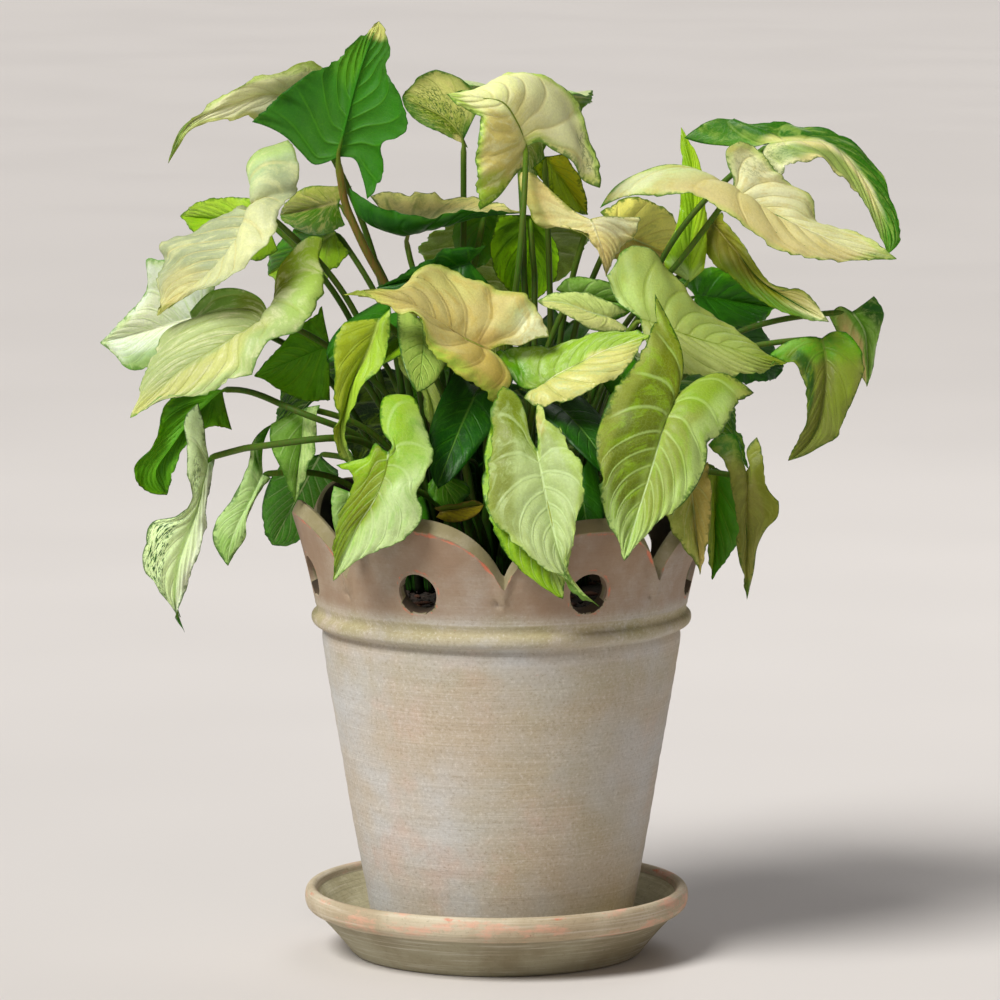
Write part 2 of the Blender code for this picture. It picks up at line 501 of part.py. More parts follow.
# ------------------------------------------------------------ the leaves
# Front to back. look names the colouring that the finish may use.
LEAVES = [
    Leaf("leaf_front_centre", True, "mint_olive", (537, 450, -98), (600, 607, -119),
         (503, 386, -80), (537, 403, -88),
         L=[(493, 402, -86), (488, 430, -94), (484, 465, -102), (484, 497, -109), (497, 527, -114), (523, 553, -118), (548, 572, -119), (572, 587, -119)],
         R=[(548, 411, -92), (562, 426, -97), (576, 442, -102), (587, 463, -106), (589, 488, -110), (584, 512, -113), (579, 542, -116), (571, 556, -117), (573, 576, -118), (583, 593, -118)],
         M=[(541, 470, -101), (547, 500, -106), (553, 527, -111), (562, 560, -115), (577, 587, -117)],
         SA=[(530, 436), (525, 412), (516, 394)], SB=[(538, 438), (536, 420)], seed=1),
    Leaf("leaf_front_left", True, "lime", (389, 452, -98), (333, 581, -86),
         (336, 465, -92), (398, 394, -72),
         L=[(346, 474, -94), (349, 495, -94), (340, 511, -92), (332, 528, -90), (331, 552, -88)],
         R=[(413, 396, -76), (424, 415, -82), (432, 440, -89), (438, 461, -95), (432, 481, -100), (420, 492, -103), (423, 513, -106), (405, 539, -106), (380, 553, -103), (356, 566, -96)],
         M=[(384, 475, -101), (374, 500, -101), (360, 522, -97), (345, 553, -91)],
         SA=[(384, 450), (376, 443), (368, 456), (352, 461)],
         SB=[(392, 446), (384, 434), (380, 415), (384, 398)], seed=2),
    Leaf("leaf_front_right", True, "olive_mint", (674, 397, -64), (624, 561, -104),
         (655, 294, -38), (754, 393, -50),
         L=[(651, 325), (640, 352), (617, 380), (603, 415), (594, 445), (596, 480), (606, 518)],
         R=[(741, 402), (730, 418), (721, 435), (707, 444), (708, 460), (700, 480), (684, 503), (664, 525), (643, 543)],
         M=[(665, 420), (657, 450), (647, 485), (636, 520)],
         SA=[(683, 372), (680, 345), (671, 325)],
         SB=[(690, 385), (705, 376), (722, 373), (742, 383)], fold=9, seed=3),
    Leaf("leaf_front_lime", True, "lime", (524, 472, -92), (563, 599, -113),
         (500, 400, -68), (560, 425, -68),
         L=[(487, 440, -84), (485, 505, -104), (495, 537, -110), (511, 563, -112), (527, 580, -113), (545, 592, -113)],
         R=[(575, 470, -92), (575, 520, -106), (570, 570, -111)],
         M=[(534, 510, -102), (547, 555, -110)], SA=[(508, 436)], SB=[(547, 458)], seed=4),
    Leaf("leaf_front_small", True, "mint", (350, 492, -75), (340, 560, -80),
         (334, 486), (368, 488),
         L=[(331, 500), (332, 520)], R=[(370, 520), (358, 545)], fold=4, dome=1.0, seed=5),
    Leaf("leaf_centre_gold", True, "gold", (491, 350, -62), (343, 295, -62),
         (549, 337, -62), (493, 402, -84),
         L=[(543, 313, -52), (530, 296, -46), (505, 290, -42), (480, 276, -38), (455, 269, -36), (432, 265, -38), (414, 273, -44), (400, 288, -52), (375, 288, -58)],
         R=[(470, 389, -86), (448, 370, -86), (431, 354, -84), (425, 337, -82), (413, 319, -78), (394, 312, -74), (370, 300, -68)],
         M=[(470, 340, -62), (440, 324, -62), (405, 307, -62), (375, 296, -63)],
         SA=[(503, 345), (520, 346), (536, 339)], SB=[(503, 362, -66), (511, 381, -76)], seed=6),
    Leaf("leaf_left_folded", True, "olive_green", (380, 318, -55), (354, 466, -55),
         (345, 322), (391, 308),
         L=[(335, 335), (333, 365), (333, 392), (337, 415), (333, 437), (342, 457)],
         R=[(388, 338), (382, 366), (360, 388), (358, 404), (346, 430), (350, 455)],
         M=[(372, 340), (358, 370), (346, 400), (340, 430)], fold=12, dome=1.0, seed=7),
    Leaf("leaf_low_inner", True, "dark", (438, 472, -58), (461, 513, -62),
         (428, 484), (466, 482),
         L=[(428, 494), (440, 506)], R=[(471, 494), (464, 500)], fold=3, dome=0.5, seed=8),
    Leaf("leaf_low_khaki", True, "khaki", (690, 470, -48), (700, 575, -56),
         (668, 480), (708, 462),
         L=[(660, 505), (668, 524), (685, 549), (696, 562)],
         R=[(714, 490), (711, 515), (709, 545)], seed=9),
    Leaf("leaf_centre_point", True, "lime", (538, 389, -52), (650, 335, -54),
         (496, 352, -46), (524, 398, -56),
         L=[(508, 346, -42), (530, 346, -40), (560, 342, -38), (590, 334, -38), (622, 331, -44)],
         R=[(535, 405, -62), (560, 405, -66), (590, 394, -68), (615, 381, -66), (635, 358, -62)],
         M=[(560, 373, -54), (585, 359, -54), (618, 346, -54)],
         SA=[(522, 388), (508, 374)], SB=[(530, 391)], seed=10),
    Leaf("leaf_middle_small", True, "lime", (405, 345, -20), (432, 433, -22),
         (398, 352), (420, 340),
         L=[(399, 368), (412, 384), (422, 395), (425, 415)],
         R=[(434, 355), (442, 370), (440, 384), (442, 400), (446, 410), (440, 422)],
         M=[(417, 372), (430, 398), (434, 416)], seed=11),
    Leaf("leaf_low_left_light", True, "mint", (305, 408, -30), (295, 503, -32),
         (271, 424), (320, 405),
         L=[(270, 440), (281, 470), (290, 492)], R=[(317, 425), (314, 455), (304, 480)], seed=12),
    Leaf("leaf_low_left_small", True, "mint_olive", (263, 474, -32), (228, 566, -34),
         (272, 424), (271, 478),
         L=[(257, 436), (250, 460), (241, 482), (230, 500), (214, 523), (213, 542), (221, 558)],
         R=[(264, 488), (254, 504), (247, 520), (246, 537), (236, 552)],
         M=[(252, 498), (238, 525), (230, 548)],
         SA=[(262, 460), (264, 442)], dome=1.0, fold=4, seed=13),
    Leaf("leaf_right_khaki", True, "khaki", (640, 318, -20), (787, 363, -18),
         (609, 283, -10), (668, 372, -34),
         L=[(611, 262, -2), (632, 246, -1), (655, 252, -1), (675, 275, -1), (700, 306, -2), (728, 327, -4), (748, 338, -8), (768, 355, -13)],
         R=[(700, 380, -32), (725, 378, -30), (742, 381, -27), (765, 374, -22)],
         M=[(680, 332), (715, 343), (750, 354)], SA=[(630, 312), (618, 303)], SB=[(645, 340)], seed=14),
    Leaf("leaf_centre_band", True, "gold", (612, 318, -28), (537, 301, -28),
         (627, 312), (632, 331),
         L=[(610, 301), (595, 295), (576, 292), (552, 293)],
         R=[(612, 332), (590, 329), (574, 320), (560, 313), (546, 308)],
         M=[(590, 312), (565, 303)], fold=3, dome=1.0, seed=15),
    Leaf("leaf_centre_green", True, "green", (570, 297, -14), (640, 305, -16),
         (556, 290), (560, 312),
         L=[(562, 280), (580, 276), (600, 278), (622, 288)], R=[(575, 316), (605, 322), (628, 314)], seed=16),
    Leaf("leaf_left_upper", True, "cream_mint", (262, 210, -20), (157, 316, -28),
         (288, 140, -5), (243, 205, -20),
         L=[(300, 158), (303, 178), (299, 193, -22), (289, 205, -32), (281, 228, -40), (268, 245, -45), (250, 262, -47), (236, 276, -46), (215, 288, -43), (198, 292, -38), (180, 303, -33)],
         R=[(232, 208, -12), (210, 219, -6), (190, 231, -4), (160, 246, -5), (163, 264, -8), (157, 277, -12), (160, 298, -20)],
         M=[(240, 240), (215, 268), (188, 290)],
         SA=[(258, 195), (250, 181), (247, 166), (258, 151), (275, 145)], SB=[(253, 208)], seed=17),
    Leaf("leaf_left_lower", True, "cream_olive", (269, 316, -30), (130, 418, -45),
         (323, 238, -15), (190, 312, -12),
         L=[(322, 255, -17), (327, 275, -22), (326, 290, -28), (318, 303, -34), (308, 325, -42), (297, 333, -46), (280, 338, -49), (268, 343, -51), (258, 362, -53), (254, 375, -54), (240, 383, -54), (225, 390, -54), (205, 398, -53), (185, 404, -52), (165, 405, -50), (148, 411, -48)],
         R=[(187, 333, -14), (163, 338, -18), (156, 350, -22), (145, 368, -27), (137, 395, -35)],
         M=[(240, 333), (215, 348), (180, 370), (150, 397)],
         SA=[(276, 310), (274, 290), (280, 265), (288, 255), (300, 242), (312, 236)],
         SB=[(262, 300), (245, 290), (215, 290)], seed=18),
    Leaf("leaf_left_far", True, "mint", (205, 315, 14), (100, 343, 44),
         (215, 270), (215, 350),
         L=[(180, 262), (149, 256), (147, 284), (128, 312), (112, 327)],
         R=[(180, 365), (146, 368), (131, 370), (112, 353)],
         SA=[(208, 305), (215, 288)], SB=[(210, 328)], seed=19),
    Leaf("leaf_left_hanging", True, "mint_speck", (209, 458, -5), (185, 633, -8),
         (198, 403), (215, 458),
         L=[(184, 418), (186, 445), (185, 470), (187, 498), (175, 515), (152, 523), (143, 548), (144, 570), (158, 590), (171, 606)],
         R=[(212, 480), (208, 500), (206, 520), (202, 550), (192, 575), (184, 597), (179, 615)],
         M=[(203, 490), (190, 530), (178, 570), (176, 603)],
         SA=[(206, 445), (204, 425)], seed=20,
         stalk=((233, 450, -22), (263, 446, -50), (296, 442, -64), (325, 436, -68))),
    Leaf("leaf_left_low_dark", False, "dark", (222, 390, -20), (167, 495, -24),
         (190, 384), (232, 430),
         L=[(165, 405), (158, 432), (150, 450), (134, 470), (138, 486), (150, 493)],
         R=[(212, 428), (196, 440), (182, 455), (176, 470), (172, 484)],
         M=[(195, 415), (172, 445), (155, 475)], seed=21,
         stalk=((259, 391, -32), (284, 408, -44), (320, 422, -50))),
    Leaf("leaf_left_under", False, "green", (330, 345, -10), (254, 376, -12),
         (322, 306), (330, 400),
         L=[(300, 325), (275, 350)], R=[(312, 404), (285, 395)], seed=22),
    Leaf("leaf_centre_peach", True, "peach", (590, 219, -22), (606, 277, -38),
         (521, 172, 6), (640, 217, -12),
         L=[(516, 192), (526, 212), (540, 228), (565, 227), (590, 236), (600, 255)],
         R=[(636, 235), (620, 250), (612, 265)], M=[(597, 235), (604, 255)],
         SA=[(577, 213), (560, 199), (543, 183), (530, 172)], SB=[(605, 216), (622, 217)],
         fold=3, dome=1.0, seed=23),
    Leaf("leaf_upper_dark", True, "dark", (470, 262, -18), (376, 288, -20),
         (486, 246), (490, 285),
         L=[(465, 245), (445, 247), (425, 262), (400, 275)],
         R=[(470, 300), (440, 300), (410, 297)], seed=24),
    Leaf("leaf_top_left_green", False, "bright_dark", (338, 157, -10), (379, 21, -2),
         (252, 122, -5), (367, 199, -15),
         L=[(273, 101), (300, 80), (328, 60), (352, 44), (366, 30)],
         R=[(384, 180), (386, 152), (408, 128), (401, 97), (388, 68), (394, 49)],
         M=[(345, 130), (355, 90), (366, 55)],
         SA=[(325, 163), (315, 165), (300, 152), (285, 137), (265, 126)],
         SB=[(345, 157), (352, 158), (362, 178)], seed=25,
         stalk=((349, 210, -8), (360, 250, -5))),
    Leaf("leaf_top_left_cream", True, "cream", (300, 100, 10), (168, 164, 4),
         (330, 75), (300, 118),
         L=[(315, 62), (283, 70), (255, 73), (232, 84), (212, 104), (190, 117), (176, 140)],
         R=[(280, 126), (262, 124), (248, 117), (230, 123), (205, 124), (190, 131), (178, 148)],
         M=[(270, 94), (235, 103), (205, 113), (185, 126)], seed=26),
    Leaf("leaf_top_centre", True, "cream_gold", (527, 147, -8), (446, 94, 5),
         (480, 210, -28), (600, 188, -20),
         L=[(473, 190, -24), (475, 150, -14), (478, 117, -4), (462, 107, 1)],
         R=[(603, 168, -12), (592, 137, 2), (580, 104, 14), (565, 85, 18), (538, 72, 20), (510, 74, 18), (488, 86, 14), (468, 93, 9)],
         M=[(518, 122), (503, 102), (478, 97)],
         SA=[(526, 160), (513, 177), (497, 198)],
         SB=[(538, 142), (552, 150), (572, 162), (582, 180)], seed=27,
         stalk=((526, 167, -20), (525, 200, -25), (521, 260, -27))),
    Leaf("leaf_upper_edge", False, "cream_dark", (406, 237, 0), (525, 213, 0),
         (349, 188, -20), (370, 196, 20),
         L=[(375, 205, -20), (395, 213, -20), (425, 212, -20), (455, 206, -16), (490, 208, -9)],
         R=[(395, 192, 25), (420, 195, 25), (470, 196, 18), (500, 203, 8)],
         M=[(440, 225), (480, 217)], SA=[(395, 234), (375, 226), (358, 215)], SB=[(395, 225)],
         seed=28, stalk=((405, 258, -2),)),
    Leaf("leaf_top_back", False, "bright_dark", (464, 139, 34), (402, 97, 54),
         (478, 110), (468, 148),
         L=[(476, 92), (462, 76), (441, 69), (420, 76)],
         R=[(455, 142), (437, 132), (421, 124), (409, 114)], M=[(448, 120), (425, 107)],
         dome=1.0, seed=29, stalk=((463, 199, 38), (465, 244, 30))),
    Leaf("leaf_top_olive", True, "olive", (545, 157, 26), (588, 215, 58),
         (532, 168), (562, 154),
         L=[(545, 185), (560, 200), (574, 212)], R=[(576, 168), (586, 192)],
         fold=2, arch=1, dome=0.5, seed=30),
    Leaf("leaf_backlit", False, "bright_dark", (530, 215, 42), (526, 300, 62),
         (498, 215), (545, 225),
         L=[(490, 245), (498, 280), (512, 296)], R=[(558, 250), (556, 280), (540, 297)], seed=31),
    Leaf("leaf_upper_olive", False, "olive_green", (485, 210, 34), (478, 268, 84),
         (456, 212), (506, 214),
         L=[(450, 235), (462, 258)], R=[(504, 235), (494, 258)], seed=32),
    Leaf("leaf_left_behind", True, "bright_green", (268, 222, 24), (180, 216, 74),
         (282, 195), (278, 250),
         L=[(250, 196), (220, 196), (195, 203)], R=[(258, 262), (230, 250), (196, 235)], seed=33),
    Leaf("leaf_back_olive", True, "olive", (338, 203, 34), (280, 215, 92),
         (352, 186), (345, 225),
         L=[(330, 186), (310, 186), (292, 196)], R=[(328, 234), (306, 234), (288, 226)], seed=34),
    Leaf("leaf_mid_olive", True, "olive", (335, 232, 26), (268, 275, 78),
         (322, 213), (350, 252),
         L=[(300, 222), (280, 240), (268, 258)], R=[(330, 275), (305, 290), (282, 288)], seed=35),
    Leaf("leaf_right_cream", True, "cream_beige", (730, 196, -12), (897, 259, -10),
         (740, 141, -8), (600, 208, -15),
         L=[(757, 148, -4), (778, 172, 0), (803, 187, 2), (817, 203, 3), (818, 220, 2), (842, 230, 0), (866, 237, -3), (884, 248, -7)],
         R=[(630, 196, -18), (660, 198, -22), (688, 200, -25), (712, 208, -28), (735, 224, -30), (757, 240, -30), (778, 254, -28), (800, 260, -25), (830, 266, -21), (862, 264, -15)],
         M=[(760, 206), (790, 220), (820, 235), (858, 249)],
         SA=[(733, 180), (727, 165), (726, 150)],
         SB=[(718, 184, -9), (700, 171, -7), (668, 165, -7), (640, 173, -9), (612, 190, -13)], seed=36,
         stalk=((702, 232, 4), (680, 268, 8))),
    Leaf("leaf_right_arch", True, "cream_arch", (770, 142, 14), (888, 254, 5),
         (684, 138, 26), (780, 176, 5),
         L=[(705, 122, 26), (728, 114, 26), (748, 124, 26), (766, 124, 26), (783, 120, 26), (800, 124, 26), (822, 128, 25), (848, 136, 24), (872, 160, 22), (890, 190, 18), (902, 220, 12), (900, 242, 8)],
         R=[(793, 168, 4), (812, 160, 4), (830, 165, 5), (848, 182, 7), (862, 205, 9), (874, 230, 8)],
         M=[(800, 140, 14), (830, 144, 15), (855, 166, 15), (875, 200, 12), (886, 230, 8)],
         SA=[(755, 147), (725, 146), (700, 143)], SB=[(763, 152), (770, 166)],
         dome=1.0, seed=37),
    Leaf("leaf_right_spear", True, "bright_green", (690, 282, 23), (681, 127, 38),
         (665, 268), (704, 270),
         L=[(664, 252), (675, 230), (680, 205), (680, 180), (680, 155)],
         R=[(708, 240), (708, 208), (704, 180), (697, 155), (689, 138)],
         M=[(690, 245), (694, 205), (692, 165), (686, 140)], fold=3, dome=1.0, seed=38),
    Leaf("leaf_right_gold", True, "gold", (615, 232, 24), (690, 262, 78),
         (600, 212), (606, 255),
         L=[(625, 198), (650, 198), (675, 215), (686, 240)],
         R=[(625, 268), (650, 274), (672, 270)], seed=39),
    Leaf("leaf_right_wavy", True, "olive_cream", (712, 222, 3), (829, 322, 2),
         (722, 212), (702, 240),
         L=[(733, 228), (748, 248), (760, 270), (782, 288), (806, 291), (818, 304)],
         R=[(712, 264), (733, 280), (755, 298), (778, 312), (805, 320)],
         M=[(735, 250), (760, 280), (795, 303)], seed=40,
         stalk=((722, 250, 34),)),
    Leaf("leaf_right_droop", True, "olive_mint", (822, 338, 0), (788, 461, -2),
         (769, 355, -4), (846, 332, 0),
         L=[(782, 362), (794, 366), (802, 382), (803, 402), (800, 425), (793, 445)],
         R=[(858, 345), (865, 362), (858, 388), (848, 412), (838, 438), (822, 446), (806, 455)],
         M=[(826, 360), (824, 395), (816, 430), (802, 450)],
         SA=[(808, 337), (787, 342)], SB=[(832, 332)], seed=43),
    Leaf("leaf_right_far", True, "dark_peach", (852, 312, 20), (867, 387, 44),
         (874, 296), (829, 316),
         L=[(884, 312), (880, 330), (876, 350), (873, 370)],
         R=[(838, 334), (850, 352), (858, 372)], M=[(864, 330), (867, 350), (868, 370)],
         SB=[(840, 306)], seed=44),
    Leaf("leaf_right_dark_upper", True, "dark", (695, 295, 22), (775, 308, 66),
         (676, 278), (690, 320),
         L=[(700, 268), (730, 268), (757, 285)], R=[(715, 330), (745, 328), (765, 320)], seed=41),
    Leaf("leaf_right_dark_lower", True, "dark", (705, 335, 34), (784, 366, 80),
         (696, 310), (705, 362),
         L=[(728, 308), (752, 318), (772, 342)], R=[(730, 380), (756, 384), (774, 380)], seed=42),
    Leaf("leaf_low_right_olive", True, "olive", (741, 476, -20), (747, 600, -26),
         (708, 445, -18), (757, 437, -16),
         L=[(720, 462), (728, 480), (733, 505), (737, 535), (738, 556), (743, 575)],
         R=[(764, 455), (769, 480), (779, 503), (778, 516), (766, 529), (758, 545), (754, 570)],
         M=[(744, 500), (747, 540), (746, 572)],
         SA=[(741, 455), (733, 434), (718, 436)], SB=[(750, 465), (747, 450)], seed=45),
    Leaf("leaf_low_right_green", True, "green", (716, 468, 14), (712, 580, 34),
         (704, 476), (735, 476),
         L=[(700, 500), (702, 530), (707, 556)], R=[(740, 500), (740, 540), (728, 562)], seed=46),
    Leaf("leaf_low_left_back", True, "dark", (320, 455, 64), (272, 545, 94),
         (290, 455), (338, 470),
         L=[(270, 480, 76), (262, 510, 86), (264, 530, 91)], R=[(332, 505, 86), (314, 532, 92), (292, 546, 94)], seed=47),
]
DRY = Leaf("leaf_dry", True, "dry", (440, 512, -72), (484, 505, -66),
           (434, 508), (436, 517),
           L=[(445, 505), (460, 503), (474, 500)], R=[(448, 522), (464, 521), (478, 514)],
           fold=2, dome=0.8, seed=48, bare=True)
BACK = [
    Grown("leaf_back_high", "cream_mint", (10, 52, 424), 84, -14, 6, 84, 82, droop=30, seed=51,
          stalk=((11, 44, 402), (13, 29, 376), (15, 26, 340))),
    Grown("leaf_back_left", "lime", (-62, 64, 298), 134, -22, -6, 86, 82, droop=26, seed=52),
    Grown("leaf_back_right", "olive_mint", (75, 75, 286), 44, -24, 8, 86, 82, droop=26, seed=53),
    Grown("leaf_back_mid", "mint_olive", (4, 72, 344), 94, -34, 0, 88, 88, droop=22, seed=54),
    Grown("leaf_back_low_left", "green", (-42, 84, 264), 116, -50, 5, 78, 76, droop=8, seed=55),
    Grown("leaf_back_low_right", "khaki", (32, 90, 256), 74, -52, -6, 80, 76, droop=8, seed=56),
]


# ------------------------------------------------------- an empty scene
for thing in list(bpy.data.objects):
    bpy.data.objects.remove(thing, do_unlink=True)

scene = bpy.context.scene
plant = bpy.data.collections.new("arrowhead_plant")
helpers = bpy.data.collections.new("cutters")
scene.collection.children.link(plant)
scene.collection.children.link(helpers)


def material(name, color, roughness, metallic=0.0):
    mat = bpy.data.materials.new(name)
    mat.use_nodes = True
    node = mat.node_tree.nodes["Principled BSDF"]
    node.inputs["Base Color"].default_value = (*color, 1.0)
    node.inputs["Roughness"].default_value = roughness
    node.inputs["Metallic"].default_value = metallic
    mat.diffuse_color = (*color, 1.0)
    return mat


def add(name, mesh, collection, mat=None, at=(0, 0, 0)):
    obj = bpy.data.objects.new(name, mesh)
    obj.location = at
    collection.objects.link(obj)
    if mat:
        obj.data.materials.append(mat)
    if collection is helpers:
        obj.hide_render = True
        obj.display_type = "WIRE"
    return obj


def turned(name, profile, steps, mat, at=(0, 0, 0), collection=None):
    """A profile of (radius, height) in mm, down its outer side, turned about Z."""
    mesh = bpy.data.meshes.new(name)
    bm = bmesh.new()
    verts = [bm.verts.new((r * MM, 0.0, z * MM)) for r, z in profile]
    for a, b in zip(verts, verts[1:] + verts[:1]):
        if (a.co - b.co).length > 1e-7 and not (a.co.x == 0 and b.co.x == 0):
            bm.edges.new((a, b))
    bm.to_mesh(mesh)
    bm.free()
    obj = add(name, mesh, collection or plant, mat, at)
    screw = obj.modifiers.new("turn", "SCREW")
    screw.axis = "Z"
    screw.steps = screw.render_steps = steps
    screw.use_merge_vertices = True
    screw.merge_threshold = 0.00001
    screw.use_normal_calculate = False
    screw.use_smooth_shade = True
    return obj


def cylinder(name, radius, depth, sides, at, turn=None):
    mesh = bpy.data.meshes.new(name)
    bm = bmesh.new()
    bmesh.ops.create_cone(
        bm, cap_ends=True, segments=sides, radius1=radius * MM, radius2=radius * MM,
        depth=depth * MM,
    )
    bm.to_mesh(mesh)
    bm.free()
    obj = add(name, mesh, helpers, None, Vector(at) * MM)
    if turn:
        obj.rotation_euler = turn
    return obj


def boolean(obj, other, operation, solver="EXACT"):
    mod = obj.modifiers.new(operation.lower(), "BOOLEAN")
    mod.operation = operation
    mod.solver = solver
    mod.object = other


# ---------------------------------------------------------------- saucer
clay = material("saucer_clay", (0.36, 0.33, 0.26), 0.85)
turned(
    "saucer",
    [
        (SAUCER_RIM_R - 6.3, SAUCER_H - 0.6),
        (SAUCER_RIM_R - 2.6, SAUCER_H),
        (SAUCER_RIM_R - 0.4, SAUCER_H - 2.6),
        (SAUCER_RIM_R, SAUCER_H - 6.5),
        (SAUCER_RIM_R - 1.4, SAUCER_H - 10.4),
        (SAUCER_RIM_R - 5.4, SAUCER_H - 12.6),
        (SAUCER_BASE_R + 1.2, 1.6),
        (SAUCER_BASE_R, 0.0),
        (0.0, 0.0),
        (0.0, SAUCER_FLOOR),
        (SAUCER_BASE_R - 5.0, SAUCER_FLOOR),
        (SAUCER_BASE_R + 1.0, SAUCER_FLOOR + 3.0),
        (SAUCER_GROOVE_R - 2.5, SAUCER_H - 8.0),
    ],
    36, clay,
)

# ---------------------------------------------------------------- pot
wash = material("pot_whitewash", (0.55, 0.50, 0.43), 0.8)
pot = turned(
    "pot",
    [
        (collar_r(SCALLOP_TOP_Z) - POT_WALL, SCALLOP_TOP_Z + 4.0),
        (collar_r(SCALLOP_TOP_Z) + 0.6, SCALLOP_TOP_Z + 4.0),
        (collar_r(216.0), 216.0),
        (collar_r(198.0), 198.0),
        (collar_r(BAND_TOP_Z + 4.0), BAND_TOP_Z + 4.0),
        (BAND_R - 2.4, BAND_TOP_Z + 0.4),
        (BAND_R, BAND_TOP_Z - 4.4),
        (BAND_R - 1.2, NECK_Z + 3.2),
        (POT_NECK_R, NECK_Z),
        (POT_FOOT_R + 1.4, POT_Z + 4.0),
        (POT_FOOT_R, POT_Z),
        (0.0, POT_Z),
        (0.0, POT_Z + POT_FLOOR),
        (POT_FOOT_R - POT_WALL - 2.0, POT_Z + POT_FLOOR),
        (POT_NECK_R - POT_WALL, NECK_Z),
        (collar_r(BAND_TOP_Z + 4.0) - POT_WALL, BAND_TOP_Z + 4.0),
    ],
    POT_SIDES, wash, (POT_X * MM, 0, 0),
)


def scallop_cutter():
    """A ring over the collar whose underside waves with the scallops and falls
    away outward, which leaves the edge with an outer chamfer."""
    across = [
        (-POT_WALL - 8.0, 0.0), (-RIM_CHAMFER, 0.0), (0.0, -RIM_CHAMFER),
        (9.0, -RIM_CHAMFER - 9.0), (14.0, 30.0), (-POT_WALL - 8.0, 30.0),
    ]
    steps = SCALLOPS * 8
    mesh = bpy.data.meshes.new("scallop_cutter")
    bm = bmesh.new()
    bmesh.ops.create_grid(bm, x_segments=steps, y_segments=len(across), size=1.0)
    for v in bm.verts:
        turn = (v.co.x + 1) / 2 * 360.0 + NOTCH_TURN - 90.0
        i = round((v.co.y + 1) / 2 * len(across)) % len(across)
        inset, lift = across[i]
        edge = scallop(turn)
        r = collar_r(edge) + inset
        z = edge + lift if lift < 29 else SCALLOP_TOP_Z + 24.0
        a = math.radians(turn)
        v.co = Vector((r * math.cos(a), r * math.sin(a), z)) * MM
    bmesh.ops.remove_doubles(bm, verts=bm.verts, dist=1e-6)
    bmesh.ops.recalc_face_normals(bm, faces=bm.faces)
    bm.to_mesh(mesh)
    bm.free()
    return add("scallop_cutter", mesh, helpers, None, (POT_X * MM, 0, 0))


boolean(pot, scallop_cutter(), "DIFFERENCE")
for k in range(SCALLOPS):
    a = math.radians(-90.0 + NOTCH_TURN + (k + 0.5) * 360.0 / SCALLOPS)
    mid = collar_r(HOLE_Z) - POT_WALL / 2
    boolean(pot, cylinder(
        f"hole_cutter_{k + 1}", HOLE_R, 30.0, 12,
        (POT_X + mid * math.cos(a), mid * math.sin(a), HOLE_Z),
        (math.pi / 2, 0, a + math.pi / 2),
    ), "DIFFERENCE")
boolean(pot, cylinder("drain_cutter", DRAIN_R, 40.0, 16, (POT_X, 0, POT_Z + 4)), "DIFFERENCE")

# ---------------------------------------------------------------- soil
earth = material("potting_soil", (0.045, 0.032, 0.022), 0.95)
inner_foot = POT_FOOT_R - POT_WALL - 2.0
inner_neck = POT_NECK_R - POT_WALL
slope = (inner_neck - inner_foot) / (NECK_Z - POT_Z - POT_FLOOR)
soil = turned(
    "soil",
    [
        (42.0, soil_z(POT_X + 42.0, 0)),
        (66.0, soil_z(POT_X + 66.0, 0)),
        (collar_r(BAND_TOP_Z + 4.0) - POT_WALL - 1.6, SOIL_Z),
        (inner_neck - 0.5, NECK_Z),
        (inner_foot - 0.4 + slope, POT_Z + POT_FLOOR + 1.0),
        (inner_foot - 1.0, POT_Z + POT_FLOOR + GAP),
        (0.0, POT_Z + POT_FLOOR + GAP),
        (0.0, soil_z(POT_X, 0)),
        (20.0, soil_z(POT_X + 20.0, 0)),
    ],
    28, earth, (POT_X * MM, 0, 0),
)
bark = material("stem_bark", (0.16, 0.17, 0.06), 0.7)
for k, (x, y, top) in enumerate(STEM_TOPS):
    foot = soil_z(x, y) - 14.0
    boolean(soil, cylinder(
        f"socket_cutter_{k + 1}", STEM_R + 2 * GAP, 60.0, 12, (x, y, foot - GAP + 30.0)
    ), "DIFFERENCE")
    mesh = bpy.data.meshes.new(f"stem_{k + 1}")
    bm = bmesh.new()
    bmesh.ops.create_cone(
        bm, cap_ends=True, segments=10, radius1=STEM_R * MM, radius2=STEM_R * 0.7 * MM,
        depth=(top - foot) * MM,
    )
    bm.to_mesh(mesh)
    bm.free()
    add(f"stem_{k + 1}", mesh, plant, bark, Vector((x, y, (top + foot) / 2)) * MM)

# ---------------------------------------------------------------- leaves
GREENS = {
    "mint_olive": (0.55, 0.62, 0.33), "lime": (0.45, 0.56, 0.10), "olive_mint": (0.40, 0.48, 0.18),
    "mint": (0.62, 0.74, 0.42), "gold": (0.60, 0.55, 0.24), "olive_green": (0.32, 0.36, 0.05),
    "dark": (0.03, 0.10, 0.01), "khaki": (0.36, 0.42, 0.14), "green": (0.08, 0.25, 0.02),
    "cream_mint": (0.75, 0.76, 0.50), "cream_olive": (0.65, 0.66, 0.30),
    "mint_speck": (0.60, 0.72, 0.42), "peach": (0.70, 0.58, 0.34), "bright_dark": (0.06, 0.22, 0.01),
    "cream": (0.75, 0.76, 0.42), "cream_gold": (0.72, 0.70, 0.34), "cream_dark": (0.40, 0.48, 0.22),
    "olive": (0.22, 0.22, 0.03), "bright_green": (0.22, 0.46, 0.02),
    "cream_beige": (0.70, 0.66, 0.44), "cream_arch": (0.55, 0.60, 0.26),
    "olive_cream": (0.34, 0.32, 0.10), "dark_peach": (0.20, 0.30, 0.10), "dry": (0.45, 0.30, 0.08),
}
tints = {k: material("leaf_" + k, c, 0.5) for k, c in GREENS.items()}


